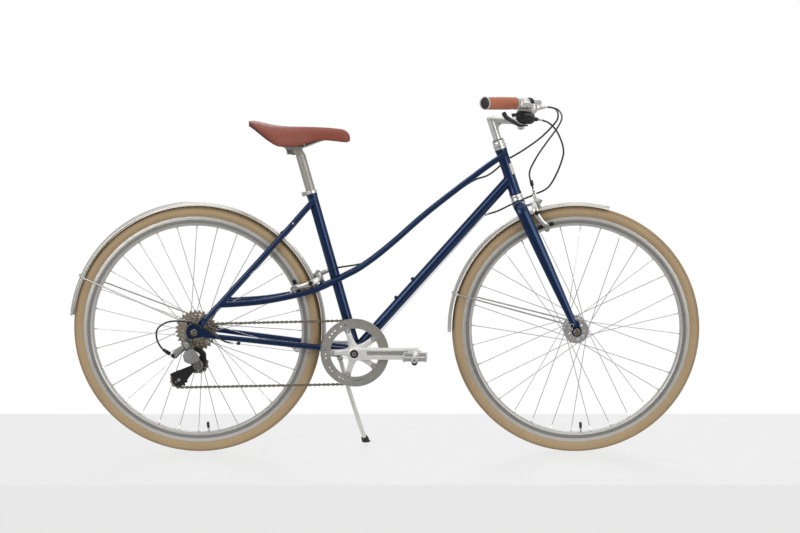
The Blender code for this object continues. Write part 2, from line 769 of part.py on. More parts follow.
def pod_outlet():
    return pod_centre() + Vector((33.0, 0.0, -1.0))


def shifter_pod():
    centre = on_bar(SHIFTER_CLAMP_PLACE, RIGHT)
    way = mirrored(bar_way(), RIGHT)
    ring = rod(centre - way * 6, centre + way * 6, 15.0, sides=16)
    body = block(pod_centre(), (48.0, 32.0, 29.0), bevel=7.0)
    neck = block((centre + pod_centre()) / 2 + way * 1.5 - Z * 3, (20.0, 10.0, 34.0), bar_forward(RIGHT), way)
    outlet = rod(pod_centre() + Vector((20, 0, 0)), pod_outlet(), 4.5, sides=12)
    bore = rod(centre - way * 30, centre + way * 30, BAR_RADIUS + GAP, sides=20)
    return named("shifter_pod", shaped(ring, [body, neck, outlet], [bore]), "black")


def thumb_pivot():
    return pod_centre() + Vector((-6.0, -4.0, -14.5 - GAP - 2.4))


def shift_lever_thumb():
    pivot = thumb_pivot()
    disc = rod(pivot - Z * 2.4, pivot + Z * 2.4, 11.0, sides=16)
    places = ((-4, -4, -1), (-18, -14, -1.5), (-31, -23, 1), (-46, -31, 9), (-60, -36, 23))
    arm = tube([pivot + Vector(place) for place in places], 4.5, 8, [3.0, 3.2, 4.2, 4.5, 4.5])
    return named("shift_lever_thumb", shaped(disc, [arm]), "black")


def release_pivot():
    return pod_centre() + Vector((-16.0, -19.6, 6.0))


def shift_lever_release():
    pivot = release_pivot()
    disc = rod(pivot - Y * 3.0, pivot + Y * 3.0, 6.0, sides=12)
    arm = tube([pivot, pivot + Vector((-13, -3, 5)), pivot + Vector((-22, -5, 3))], 3.5, 8, [2.6, 3.5, 3.5])
    return named("shift_lever_release", shaped(disc, [arm]), "black")


# Wheels


TYRE_OPENING = math.radians(38.0)  # half the angle at which the tyre's section is open towards the rim
TYRE_SECTION_PIECES = 8


def tyre_section():
    """The tyre's outside as radius and offset, from one bead over the tread to the other."""
    centre_radius = TYRE_RADIUS - TYRE_SECTION_RADIUS
    turns = half_turn(TYRE_OPENING - math.pi, math.pi - TYRE_OPENING, TYRE_SECTION_PIECES)
    return [(centre_radius + TYRE_SECTION_RADIUS * math.cos(a), TYRE_SECTION_RADIUS * math.sin(a)) for a in turns]


RIM_SEAT = tyre_section()[0][0] - BEAD_DEPTH - 3 * GAP
RIM_INNER_RADIUS = RIM_SEAT - RIM_DEPTH
RIM_TRACK_RADIUS = RIM_INNER_RADIUS + RIM_TAPER  # where the brake tracks begin


def tyre(name, axle):
    profile = tyre_section()
    inner = profile[0][0]
    profile += [(inner, 6.0), (inner - BEAD_DEPTH, 5.0), (inner - BEAD_DEPTH, -5.0), (inner, -6.0)]
    return named(name, turned(profile, axle, Y, WHEEL_STEPS, ring=True, x_hint=(0, 0, -1)), "tyre")


def rim(name, axle):
    half = RIM_WIDTH / 2
    bed = RIM_BED_WIDTH / 2
    profile = [
        (RIM_INNER_RADIUS, bed),
        (RIM_TRACK_RADIUS, half),
        (RIM_SEAT, half),
        (RIM_SEAT, -half),
        (RIM_TRACK_RADIUS, -half),
        (RIM_INNER_RADIUS, -bed),
    ]
    return named(name, turned(profile, axle, Y, WHEEL_STEPS, ring=True, x_hint=(0, 0, -1)), "silver")


RIM_FLAT_RADIUS = RIM_INNER_RADIUS * math.cos(math.pi / WHEEL_STEPS)  # at the middle of a facet


def spokes(axle, flanges):
    """Each flange carries half of the spokes, which leave its holes forwards and backwards in turn."""
    made = []
    per_side = SPOKES // 2
    for side, (offset, radius) in zip((RIGHT, LEFT), flanges):
        for index in range(per_side):
            hole = 360.0 / per_side * (index + (0.25 if side == LEFT else 0.0))
            lead = 1 if index % 2 else -1
            end = hole + lead * SPOKE_CROSSINGS * 360.0 / per_side
            start = around(axle, radius, hole, side * (offset + lead * 1.6))
            stop = around(axle, RIM_FLAT_RADIUS - 1.3 * GAP, end, side * 3.0)
            made.append(rod(start, stop, SPOKE_RADIUS, sides=3))
    return made


def hub(name, axle, half_width, right, left, barrel, barrel_both_sides=True):
    """A turned hub shell with both flanges and the spokes laced into them."""
    bore = AXLE_RADIUS + GAP
    flange = FLANGE_THICKNESS / 2
    profile = [(bore, half_width), (HUB_END_RADIUS, half_width), (HUB_END_RADIUS, left[0] + 7)]
    profile += [(barrel, left[0] + flange)]
    profile += [(left[1], left[0] + flange), (left[1], left[0] - flange), (barrel, left[0] - flange)]
    profile += [(barrel, -right[0] + flange), (right[1], -right[0] + flange), (right[1], -right[0] - flange)]
    profile += [(barrel, -right[0] - flange)] if barrel_both_sides else []
    profile += [(HUB_END_RADIUS, -right[0] - (7 if barrel_both_sides else 3))]
    profile += [(HUB_END_RADIUS, -half_width), (bore, -half_width)]
    shell = turned(profile, axle, Y, 24, ring=True)
    flanges = [(offset, radius - 4.0) for offset, radius in (right, left)]
    return named(name, shaped(shell, spokes(axle, flanges)), "silver")


def axle_with_nuts(name, axle, face, nut_start):
    body = rod(axle - Y * (face + 14), axle + Y * (face + 14), AXLE_RADIUS, sides=16)
    nuts = []
    for side in (RIGHT, LEFT):
        start = axle + Y * side * nut_start
        nuts.append(rod(start, start + Y * side * AXLE_NUT_HEIGHT, AXLE_NUT_RADIUS, sides=6))
    return named(name, shaped(body, nuts), "silver")


def mudguard(name, axle, start, end):
    """A curved strip bent round the tyre, thickened inwards."""
    count = 4
    half = GUARD_WIDTH / 2
    profile = []
    for index in range(count + 1):
        across = -half + GUARD_WIDTH * index / count
        profile.append((GUARD_RADIUS - GUARD_CROWN * (across / half) ** 2, across))
    steps = round((end - start) / 5.0)
    strip = turned(profile, axle, -Y, steps, sweep=end - start, start=start)
    wall = strip.modifiers.new("wall", "SOLIDIFY")
    wall.thickness = GUARD_THICKNESS * MM
    wall.offset = 1.0
    return named(name, plain_mesh(strip), "silver")


REAR_STAY_GAP, FRONT_STAY_GAP = 1.0, 0.4  # from the dropout and from the fork end to the stay's wire
REAR_STAY_Y = DROPOUT_Y + DROPOUT_THICKNESS / 2 + REAR_STAY_GAP + STAY_WIRE_RADIUS
FRONT_STAY_Y = FORK_END_Y + FORK_END_THICKNESS / 2 + FRONT_STAY_GAP + STAY_WIRE_RADIUS
REAR_EYELET = Vector((-13.8, -REAR_STAY_Y, 26.0))  # from the axle
FRONT_EYELET = Vector((-13.8, -FRONT_STAY_Y, 18.0))
REAR_STAY_ANGLE, FRONT_STAY_ANGLE = 154.7, 163.0


def guard_stay(name, axle, eyelet, degrees):
    """A wire from one eyelet, round the outside of the mudguard and back to the other eyelet."""
    radius = GUARD_RADIUS + GAP + STAY_WIRE_RADIUS
    half = GUARD_WIDTH / 2
    right = [
        Vector(eyelet),
        around(axle, radius - 18, degrees, -half - 8),
        around(axle, radius - GUARD_CROWN + 1.5, degrees, -half - 1.5),
        around(axle, radius - 1.2, degrees, -half / 2),
        around(axle, radius, degrees, 0.0),
    ]
    left = [mirrored(point, -1) for point in reversed(right[:-1])]
    return named(name, tube([*right, *left], STAY_WIRE_RADIUS, 8), "silver")


# Chain drive

RING_PITCH_RADIUS = PITCH / 2 / math.sin(math.pi / RING_TEETH)
SMALL_PITCH_RADIUS = PITCH / 2 / math.sin(math.pi / SPROCKET_TEETH[0])
PULLEY_PITCH_RADIUS = PITCH / 2 / math.sin(math.pi / PULLEY_TEETH)
GUIDE_PULLEY = Vector((-430.0, -SMALL_SPROCKET_OFFSET, 257.0))
TENSION_PULLEY = Vector((-486.0, -SMALL_SPROCKET_OFFSET, 214.0))


def chain_route():
    """The chain's closed path in the side view: tangents between the wheels it runs on, and arcs on them.

    A wheel's sense is 1 where the chain goes round it anticlockwise, seen from the right, and -1 otherwise.
    """
    wheels = (
        (BRACKET, RING_PITCH_RADIUS, 1, CHAIN_LINE),
        (REAR_AXLE, SMALL_PITCH_RADIUS, 1, SMALL_SPROCKET_OFFSET),
        (GUIDE_PULLEY, PULLEY_PITCH_RADIUS, -1, SMALL_SPROCKET_OFFSET),
        (TENSION_PULLEY, PULLEY_PITCH_RADIUS, 1, SMALL_SPROCKET_OFFSET),
    )
    leaving, arriving = [], []
    for wheel, following in zip(wheels, wheels[1:] + wheels[:1]):
        gap_x, gap_z = following[0].x - wheel[0].x, following[0].z - wheel[0].z
        length = math.hypot(gap_x, gap_z)
        heading = math.atan2(gap_z, gap_x)
        tilt = math.asin((wheel[1] * wheel[2] - following[1] * following[2]) / length)
        turn = heading + tilt
        leaving.append(turn - math.pi / 2 * wheel[2])
        arriving.append(turn - math.pi / 2 * following[2])
    arriving = arriving[-1:] + arriving[:-1]
    points = []
    for wheel, start, end in zip(wheels, arriving, leaving):
        centre, radius, sense, offset = wheel
        sweep = (end - start) * sense % (2 * math.pi)
        pieces = max(3, round(sweep / math.radians(9 if radius == RING_PITCH_RADIUS else 20)))
        for index in range(pieces + 1):
            turn = start + sense * sweep * index / pieces
            spot = around(centre, radius, math.degrees(turn))
            points.append(Vector((spot.x, -offset, spot.z)))
    return points


def chain():
    """One closed band in the chain's place."""
    profile = bpy.data.curves.new("chain_section", "CURVE")
    profile.dimensions = "2D"
    spline = profile.splines.new("POLY")
    spline.points.add(3)
    spline.use_cyclic_u = True
    corners = ((-1, -1), (1, -1), (1, 1), (-1, 1))
    for index, (u, v) in enumerate(corners):
        spline.points[index].co = (u * CHAIN_HEIGHT / 2 * MM, v * CHAIN_WIDTH / 2 * MM, 0.0, 1.0)
    section = bpy.data.objects.new("chain_section", profile)
    parts.objects.link(section)
    curve = bpy.data.curves.new("chain", "CURVE")
    curve.dimensions = "3D"
    curve.twist_mode = "Z_UP"
    curve.bevel_mode = "OBJECT"
    curve.bevel_object = section
    path = curve.splines.new("POLY")
    route = chain_route()
    path.points.add(len(route) - 1)
    path.use_cyclic_u = True
    for index, point in enumerate(route):
        path.points[index].co = (point.x * MM, point.z * MM, -point.y * MM, 1.0)
    obj = bpy.data.objects.new("chain", curve)
    obj.matrix_world = Matrix(((1, 0, 0, 0), (0, 0, -1, 0), (0, 1, 0, 0), (0, 0, 0, 1)))
    parts.objects.link(obj)
    made = plain_mesh(obj)
    bpy.data.objects.remove(section, do_unlink=True)
    return named("chain", made, "steel")


def chain_clear_radius(pitch_radius):
    return pitch_radius - CHAIN_HEIGHT / 2 - 2 * GAP


def cassette():
    """The sprockets as steps, the smallest outermost."""
    bore = HUB_END_RADIUS + GAP
    half_plate = 0.9
    first = -SMALL_SPROCKET_OFFSET - CHAIN_WIDTH / 2 + 0.5
    profile = [(bore, first)]
    for index, teeth in enumerate(SPROCKET_TEETH):
        pitch_radius = PITCH / 2 / math.sin(math.pi / teeth)
        radius = chain_clear_radius(pitch_radius) if index == 0 else pitch_radius + 2.5
        start = first if index == 0 else -SMALL_SPROCKET_OFFSET + SPROCKET_SPACING * index - half_plate
        end = -SMALL_SPROCKET_OFFSET + SPROCKET_SPACING * (index + 1) - half_plate
        if index == len(SPROCKET_TEETH) - 1:
            end = start + 2 * half_plate
        profile += [(radius, start), (radius, end)]
    profile.append((bore, profile[-1][1]))
    return named("cassette", turned(profile, REAR_AXLE, Y, 24, ring=True), "steel")


def spider_angles():
    return [180.0 + 360.0 / SPIDER_ARMS * index for index in range(SPIDER_ARMS)]


def chainring():
    outline = circle(chain_clear_radius(RING_PITCH_RADIUS), sides=48)
    inner = circle(RING_INNER_RADIUS, sides=32)
    centre = BRACKET - Y * CHAIN_LINE
    return named("chainring", plate(outline, RING_THICKNESS, centre, (1, 0, 0), (0, 0, 1), [inner]), "silver")


SPIDER_FACE = CHAIN_LINE + RING_THICKNESS / 2 + GAP
SPIDER_THICKNESS = 3.0
GUARD_RING_THICKNESS = 2.4
GUARD_RING_FACE = SPIDER_FACE + SPIDER_THICKNESS + GAP


def chain_guard_ring():
    middle = BRACKET - Y * (GUARD_RING_FACE + GUARD_RING_THICKNESS / 2)
    ring = plate(
        circle(GUARD_RING_RADIUS, sides=48),
        GUARD_RING_THICKNESS,
        middle,
        (1, 0, 0),
        (0, 0, 1),
        [circle(GUARD_RING_INNER_RADIUS, sides=40)],
    )
    tabs = []
    for angle in spider_angles():
        tab = around(BRACKET, SPIDER_BOLT_RADIUS, angle)
        outer = tab - Y * (GUARD_RING_FACE + GUARD_RING_THICKNESS)
        tabs.append(rod(tab - Y * GUARD_RING_FACE, outer, 8.0, sides=14))
    return named("chain_guard_ring", shaped(ring, tabs), "silver")


def crank_outline(length):
    """A tapered bar with round ends, from the spindle to the pedal."""
    root, tip = 15.0, 12.0
    outline = [(root * math.cos(a), root * math.sin(a)) for a in half_turn(math.pi / 2, 3 * math.pi / 2)]
    outline += [(length + tip * math.cos(a), tip * math.sin(a)) for a in half_turn(-math.pi / 2, math.pi / 2)]
    return outline


def crank(side):
    """The right crank carries the spindle and the spider; each crank carries its pedal's axle."""
    ahead = 1 if side == RIGHT else -1
    middle = BRACKET + Y * side * (CRANK_OFFSET + CRANK_THICKNESS / 2)
    arm = plate(crank_outline(CRANK_LENGTH), CRANK_THICKNESS, middle, (ahead, 0, 0), (0, 0, 1))
    pedal = BRACKET + Vector((ahead * CRANK_LENGTH, 0.0, 0.0))
    start = CRANK_OFFSET + CRANK_THICKNESS - 2
    axle = rod(pedal + Y * side * start, pedal + Y * side * (start + 20 + PEDAL_WIDTH), PEDAL_AXLE_RADIUS, sides=16)
    shoulder = rod(pedal + Y * side * start, pedal + Y * side * (start + 7), 8.5, sides=16)
    if side == LEFT:
        socket_start = BRACKET + Y * (SPINDLE_LENGTH / 2 + GAP)
        boss = rod(socket_start, BRACKET + Y * (CRANK_OFFSET + 1), 14.0, sides=16)
        return named("crank_left", shaped(arm, [axle, shoulder, boss]), "silver")
    spindle = rod(BRACKET + Y * SPINDLE_LENGTH / 2, BRACKET - Y * (CRANK_OFFSET + 2), SPINDLE_RADIUS, sides=20)
    boss = rod(BRACKET - Y * (SPIDER_FACE - 2), BRACKET - Y * (CRANK_OFFSET + 2), 17.0, sides=20)
    arms = [spindle, boss, axle, shoulder]
    spider_middle = SPIDER_FACE + SPIDER_THICKNESS / 2
    for angle in spider_angles():
        arms.append(spider_arm(angle, spider_middle))
    return named("crank_right", shaped(arm, arms), "silver")


def spider_arm(angle, middle):
    turn = math.radians(angle)
    outline = [(8.0, -9.0), (SPIDER_BOLT_RADIUS, -6.5)]
    outline += [
        (SPIDER_BOLT_RADIUS + 7.5 * math.cos(a), 7.5 * math.sin(a))
        for a in half_turn(-math.pi / 3, math.pi / 3, 4)
    ]
    outline += [(SPIDER_BOLT_RADIUS, 6.5), (8.0, 9.0)]
    x_axis = (math.cos(turn), 0.0, math.sin(turn))
    y_axis = (-math.sin(turn), 0.0, math.cos(turn))
    return plate(outline, SPIDER_THICKNESS, BRACKET - Y * middle, x_axis, y_axis)


def pedal(side):
    ahead = 1 if side == RIGHT else -1
    centre = BRACKET + Vector((ahead * CRANK_LENGTH, 0.0, 0.0))
    start = CRANK_OFFSET + CRANK_THICKNESS + 7 + GAP
    middle = centre + Y * side * (start + PEDAL_WIDTH / 2)
    barrel = rod(centre + Y * side * start, centre + Y * side * (start + PEDAL_WIDTH), 11.0, sides=16)
    added = []
    for way in (-1, 1):
        added.append(
            block(middle + Vector((way * (PEDAL_LENGTH / 2 - 1.5), 0, 0)), (3.0, PEDAL_WIDTH, PEDAL_HEIGHT))
        )
        added.append(
            block(middle + Y * way * (PEDAL_WIDTH / 2 - 8), (PEDAL_LENGTH - 2, 7.0, PEDAL_HEIGHT - 9))
        )
    end = centre + Y * side * (start + PEDAL_WIDTH + 20)
    bore = rod(centre + Y * side * (start - 9), end, PEDAL_AXLE_RADIUS + GAP, sides=16)
    cap_start = centre + Y * side * (CRANK_OFFSET + CRANK_THICKNESS - 2 + 20 + PEDAL_WIDTH + GAP)
    cap = rod(cap_start, cap_start + Y * side * 3, 9.0, sides=16)
    sleeve_start = centre + Y * side * (start + PEDAL_WIDTH - 3)
    sleeve = rod(sleeve_start, cap_start + Y * side * 1.5, 9.0, sides=16)
    body = shaped(barrel, [*added, sleeve], [bore])
    return named(f"pedal_{side_name(side)}", shaped(body, [cap]), "silver")


# Rear derailleur

LINK_WAY = Vector((0.55, 0.0, -0.835)).normalized()
LINK_PIVOT = Vector((-452.0, -80.0, 300.0))
LINK_LENGTH = 36.0
LINK_LEAN = math.radians(12.0)
LINK_END = LINK_PIVOT + LINK_WAY * LINK_LENGTH * math.cos(LINK_LEAN) - Y * LINK_LENGTH * math.sin(LINK_LEAN)
LINK_AXIS = Vector((0.835, 0.0, 0.55)).normalized()
OUTLET_WAY = Vector((0.83, 0.0, -0.56)).normalized()
DERAILLEUR_OUTLET = Vector((-503.0, -84.0, 286.5))
CAGE_INNER, CAGE_OUTER = 6.5, 8.7  # faces of a cage plate from the chain's middle


def derailleur_bracket():
    outer = Vector((HANGER.x, -REAR_HUB_WIDTH / 2 - DROPOUT_THICKNESS - GAP, HANGER.z))
    body = rod(outer, outer - Y * 18, 10.0, sides=16)
    arm = rod(outer - Y * 10, LINK_PIVOT - LINK_AXIS * 2, 7.0, sides=12)
    ears = [
        rod(LINK_PIVOT + LINK_AXIS * end * 4.8, LINK_PIVOT + LINK_AXIS * end * 10, 6.5, sides=12)
        for end in (-1, 1)
    ]
    neck = block(LINK_PIVOT - LINK_WAY * 8.0, (5.0, 11.0, 19.2), LINK_WAY, Y)
    room = rod(LINK_PIVOT - LINK_AXIS * 5.3, LINK_PIVOT + LINK_AXIS * 5.3, 7.8, sides=16)
    outlet_end = DERAILLEUR_OUTLET + OUTLET_WAY * 14
    outlet = rod(DERAILLEUR_OUTLET, outlet_end, 4.0, sides=12)
    holder = rod(outer - Y * 10 - Z * 2, outlet_end - OUTLET_WAY * 2, 4.5, sides=12)
    made = shaped(body, [arm, *ears, neck, outlet, holder], [room])
    return named("derailleur_bracket", made, "steel")


def derailleur_link():
    ends = [
        rod(point - LINK_AXIS * 5.0, point + LINK_AXIS * 5.0, 6.2, sides=12) for point in (LINK_PIVOT, LINK_END)
    ]
    way = (LINK_END - LINK_PIVOT).normalized()
    bar = block((LINK_PIVOT + LINK_END) / 2, (LINK_LENGTH, 7.0, 10.0), way, LINK_AXIS.cross(way))
    return named("derailleur_link", shaped(bar, ends), "black")


def derailleur_knuckle():
    inner = Vector((GUIDE_PULLEY.x, GUIDE_PULLEY.y - CAGE_OUTER - GAP, GUIDE_PULLEY.z))
    body = rod(inner, inner - Y * 20, 12.0, sides=16)
    ears = [
        rod(LINK_END + LINK_AXIS * end * 4.8, LINK_END + LINK_AXIS * end * 10, 6.5, sides=12) for end in (-1, 1)
    ]
    neck = block(LINK_END + LINK_WAY * 8.0, (5.0, 11.0, 19.2), LINK_WAY, Y)
    room = rod(LINK_END - LINK_AXIS * 5.3, LINK_END + LINK_AXIS * 5.3, 7.8, sides=16)
    return named("derailleur_knuckle", shaped(body, [*ears, neck], [room]), "steel")


def derailleur_cage():
    """Two plates joined by the pulleys' bolts."""
    way = (TENSION_PULLEY - GUIDE_PULLEY).normalized()
    length = (TENSION_PULLEY - GUIDE_PULLEY).length
    outline = [(12 * math.cos(a), 12 * math.sin(a)) for a in half_turn(math.pi / 2, 3 * math.pi / 2)]
    outline += [(length + 11 * math.cos(a), 11 * math.sin(a)) for a in half_turn(-math.pi / 2, math.pi / 2)]
    plates = []
    for face in (-1, 1):
        middle = GUIDE_PULLEY + Y * face * (CAGE_INNER + CAGE_OUTER) / 2
        plates.append(plate(outline, CAGE_OUTER - CAGE_INNER, middle, way, way.cross(Y)))
    bolts = [rod(centre - Y * 7.5, centre + Y * 7.5, 2.5, sides=10) for centre in (GUIDE_PULLEY, TENSION_PULLEY)]
    return named("derailleur_cage", shaped(plates[0], [*bolts, plates[1]]), "black")


def pulley(name, centre):
    radius = chain_clear_radius(PULLEY_PITCH_RADIUS)
    bore = 2.5 + GAP
    profile = [(bore, 4.0), (7.0, 4.0), (7.0, 1.2), (radius, 1.2), (radius, -1.2), (7.0, -1.2), (7.0, -4.0)]
    profile.append((bore, -4.0))
    return named(name, turned(profile, centre, Y, 16, ring=True), "black")


# Caliper brakes

CALIPER_RADIUS = 373.0
REAR_CALIPER_ANGLE = 22.6
FRONT_CALIPER_ANGLE = 107.0
PAD_RADIUS = (RIM_TRACK_RADIUS + RIM_SEAT) / 2
PAD_GAP = 2.0
SHOE_LEAD = 4.0
ARM_SPREAD = 31.0
ARM_RADIUS = 5.0


CALIPER_LAYER = 11.0


def caliper_place(axle, angle, sense, standoff=0.0):
    """The outer arm's pivot, the ways towards the wheel's middle and off the mount, and the shoes' middle."""
    spot = around(axle, CALIPER_RADIUS, angle)
    inwards = (axle - spot).normalized()
    off = Vector((-inwards.z, 0.0, inwards.x)) * sense
    return spot + off * standoff, inwards, off, around(axle, PAD_RADIUS, angle) + off * SHOE_LEAD


REAR_CALIPER = caliper_place(REAR_AXLE, REAR_CALIPER_ANGLE, -1, CALIPER_LAYER)
FRONT_CALIPER = caliper_place(FRONT_AXLE, FRONT_CALIPER_ANGLE, 1)
REAR_BRIDGE_BACK = 25.0
REAR_CALIPER_BRIDGE = REAR_CALIPER[0] - REAR_CALIPER[2] * REAR_BRIDGE_BACK
CALIPER_BOSS_RADIUS = 8.5
CALIPER_BOSS_HALF = (CALIPER_LAYER - GAP) / 2
CALIPER_SEAT = CALIPER_LAYER + CALIPER_BOSS_HALF + GAP  # from the pivot's middle back to what carries it
CABLE_HOLD_HEIGHT = 27.0
CABLE_HOLD_OFFSET = 20.0


def caliper_layer(place, side):
    """The middle of an arm's boss: the right arm lies nearer to the mount."""
    return place[0] - place[2] * (CALIPER_LAYER if side == RIGHT else 0.0)


def cable_hold(place):
    """The upper end of the left arm, which holds the cable."""
    return caliper_layer(place, LEFT) - place[1] * CABLE_HOLD_HEIGHT + Y * CABLE_HOLD_OFFSET


def caliper_bolt(place, length):
    """The bolt and spacer between a caliper and the bridge or crown behind it."""
    seat = place[0] - place[2] * CALIPER_SEAT
    return rod(seat, seat - place[2] * length, 6.5, sides=12)


def caliper_arm(name, place, side):
    """One arm, pivoted on the middle bolt, down past the tyre to a shoe at the rim."""
    _, inwards, off, pad = place
    level = caliper_layer(place, side)
    pad_half = RIM_WIDTH / 2 + PAD_GAP
    start = cable_hold(place) if side == LEFT else level - inwards * 2
    route = [
        start,
        level + Y * side * 18,
        level + inwards * 14.0 + Y * side * ARM_SPREAD,
        level + inwards * 34.0 + Y * side * (ARM_SPREAD + 3),
        pad + Y * side * (pad_half + 17),
    ]
    arm = tube(smooth_route(route, 14.0), ARM_RADIUS, 8)
    boss = rod(level - off * CALIPER_BOSS_HALF, level + off * CALIPER_BOSS_HALF, CALIPER_BOSS_RADIUS, sides=14)
    lug = rod(level, level + Y * side * 18, 5.5, sides=10)
    stub = rod(pad + Y * side * (pad_half + 5), pad + Y * side * (pad_half + 18), 5.0, sides=10)
    shoe = block(pad + Y * side * (pad_half + 5), (44.0, 10.0, 10.0), off, Y)
    return named(name, shaped(arm, [boss, lug, stub, shoe]), "silver")


# Saddle and post


def post_point(height):
    return BRACKET + SEAT_UP * height


POST_HEAD = Vector((-158.0, 0.0, 846.0))


def seatpost():
    low = post_point(SEAT_TUBE_LENGTH - POST_INSERTION)
    high = post_point(SEAT_TUBE_LENGTH + 118)
    body = rod(low, high, POST_RADIUS, sides=24)
    neck = rod(high - SEAT_UP * 12, POST_HEAD - Z * 2, POST_RADIUS, 11.0, sides=16)
    cradle = rod(POST_HEAD - Y * 16, POST_HEAD + Y * 16, 13.0, sides=16)
    clamp = block(POST_HEAD + Z * 9, (40.0, RAIL_SPACING + 12, 15.0))
    rails = [rail_envelope(side) for side in (RIGHT, LEFT)]
    return named("seatpost", shaped(body, [neck, cradle, clamp], rails), "silver")


def rail_route(side):
    middle = POST_HEAD + Vector((0.0, side * RAIL_SPACING / 2, 11.0))
    nose = Vector((-38.0, side * 8.0, 884.0))
    tail = Vector((-262.0, side * 40.0, 896.0))
    return [nose, middle + Vector((52, 0, 3)), middle + Vector((30, 0, 0)), middle - Vector((30, 0, 0)), middle + Vector((-52, 2 * side, 6)), tail]


def rail_envelope(side):
    middle = POST_HEAD + Vector((0.0, side * RAIL_SPACING / 2, 11.0))
    return rod(middle - Vector((40, 0, 0)), middle + Vector((40, 0, 0)), RAIL_RADIUS + GAP, sides=12)


def saddle_rails():
    """Both rails, joined by the plates under the saddle's nose and tail."""
    right = tube(rail_route(RIGHT), RAIL_RADIUS, 8)
    left = tube(rail_route(LEFT), RAIL_RADIUS, 8)
    nose = block((-36.0, 0.0, 885.0), (12.0, 26.0, 9.0))
    tail = block((-262.0, 0.0, 896.0), (9.0, 92.0, 10.0))
    return named("saddle_rails", shaped(right, [nose, tail, left]), "silver")


def saddle():
    """A lofted shell: each section has a half width, the top's height and the skirt's depth."""
    sections = (
        # back distance, half width, top height, lower edge
        (-13.0, 13.0, 889.0, 874.0),
        (-24.0, 19.0, 902.0, 868.0),
        (-60.0, 21.0, 907.5, 872.0),
        (-105.0, 27.0, 910.0, 872.0),
        (-150.0, 44.0, 912.5, 860.0),
        (-190.0, 62.0, 915.5, 858.0),
        (-230.0, 74.0, 919.0, 878.0),
        (-265.0, 72.0, 924.5, 899.0),
        (-281.0, 52.0, 926.5, 914.0),
    )
    bm = bmesh.new()
    rings = []
    for x, half, top, low in sections:
        shape = (
            (-half * 0.55, top - 1.5),
            (0.0, top),
            (half * 0.55, top - 1.5),
            (half * 0.93, top - 9.0),
            (half, (top + low) / 2 - 3.0),
            (half * 0.96, low),
            (half * 0.86, low + 2.0),
            (half * 0.8, top - 13.0),
            (0.0, top - 10.0),
            (-half * 0.8, top - 13.0),
            (-half * 0.86, low + 2.0),
            (-half * 0.96, low),
            (-half, (top + low) / 2 - 3.0),
            (-half * 0.93, top - 9.0),
        )
        rings.append([bm.verts.new((x, y, z)) for y, z in shape])
    for first, second in zip(rings, rings[1:]):
        for index in range(len(first)):
            after = (index + 1) % len(first)
            bm.faces.new((first[index], first[after], second[after], second[index]))
    for ring in (rings[0], rings[-1]):
        bm.faces.new(ring)
    return named("saddle", object_from(bm), "saddle")


# Stand


def side_stand():
    """A bent leg from the pivot, inside the crank's sweep, and out to a foot cut level with the ground."""
    inner = STAND_PIVOT + Vector((0.0, 8.0, 0.0))
    route = [inner + Z * 2, inner + Vector((8, 3, -30)), (-24.0, 54.0, 160.0), (4.0, 62.0, 66.0), STAND_FOOT]
    leg = tube(smooth_route(route, 45.0), STAND_RADIUS, 10)
    boss = rod(STAND_PIVOT, STAND_PIVOT + stand_axis() * 16, 9.5, sides=16)
    way = (STAND_FOOT - Vector((4.0, 62.0, 66.0))).normalized()
    foot = rod(STAND_FOOT - way * 14, STAND_FOOT + way * 14, 10.0, 12.0, sides=16)
    tilt = Vector((0.0, math.cos(LEAN), math.sin(LEAN)))
    under = Vector((0.0, math.sin(LEAN), -math.cos(LEAN)))
    ground = block(under * (30.0 + TYRE_DIP), (400.0, 400.0, 60.0), (1, 0, 0), tilt)
    return named("side_stand", shaped(leg, [boss, foot], [ground]), "silver")


TYRE_DIP = (
    # how far the tyre reaches below the middle of its tread when the bicycle leans
    max(radius * math.cos(LEAN) + offset * math.sin(LEAN) for radius, offset in tyre_section())
    - TYRE_RADIUS * math.cos(LEAN)
)

# Cables

CABLE_RADIUS = 2.5
CABLE_END_GAP = 0.8
WIRE_RADIUS = 0.8
BARREL_WAY = (mirrored(bar_way(), LEFT) * 13 + bar_forward(LEFT) * 5).normalized()


def from_lever(side, distance):
    """A point ahead of a brake bracket's outlet."""
    return lever_outlet(side) + mirrored(BARREL_WAY, side) * distance


REAR_BRAKE_ROUTE = (
    from_lever(RIGHT, CABLE_END_GAP),
    from_lever(RIGHT, 20.0),
    drawn(560.0, -150.0, 966.0),
    drawn(575.0, -112.0, 945.0),
    drawn(556.0, -76.0, 913.0),
    drawn(505.0, -36.0, 871.0),
    drawn(462.0, -4.0, 843.0),
    drawn(439.0, 18.0, 829.0),
    drawn(417.0, 27.0, 816.0),
    drawn(395.0, 22.0, 795.0),
    drawn(368.0, 9.0, 776.0),
    drawn(335.0, 1.0, 765.0),
    drawn(300.0, 0.0, 744.0),
    drawn(208.0, 0.0, 678.0),
    drawn(112.8, 0.0, 597.0),
    drawn(55.0, 2.0, 551.0),
    drawn(25.0, 7.0, 533.0),
    drawn(0.0, 13.0, 526.0),
    drawn(-30.0, 18.0, 521.0),
    cable_hold(REAR_CALIPER) - REAR_CALIPER[1] * 14,
    cable_hold(REAR_CALIPER) - REAR_CALIPER[1] * CABLE_END_GAP,
)
FRONT_BRAKE_ROUTE = (
    from_lever(LEFT, CABLE_END_GAP),
    from_lever(LEFT, 20.0),
    drawn(562.0, 150.0, 967.0),
    drawn(580.0, 106.0, 947.0),
    drawn(564.0, 72.0, 912.0),
    drawn(527.0, 46.0, 858.0),
    drawn(505.0, 32.0, 822.0),
    drawn(491.0, 23.0, 780.0),
    cable_hold(FRONT_CALIPER) - FRONT_CALIPER[1] * 14,
    cable_hold(FRONT_CALIPER) - FRONT_CALIPER[1] * CABLE_END_GAP,
)
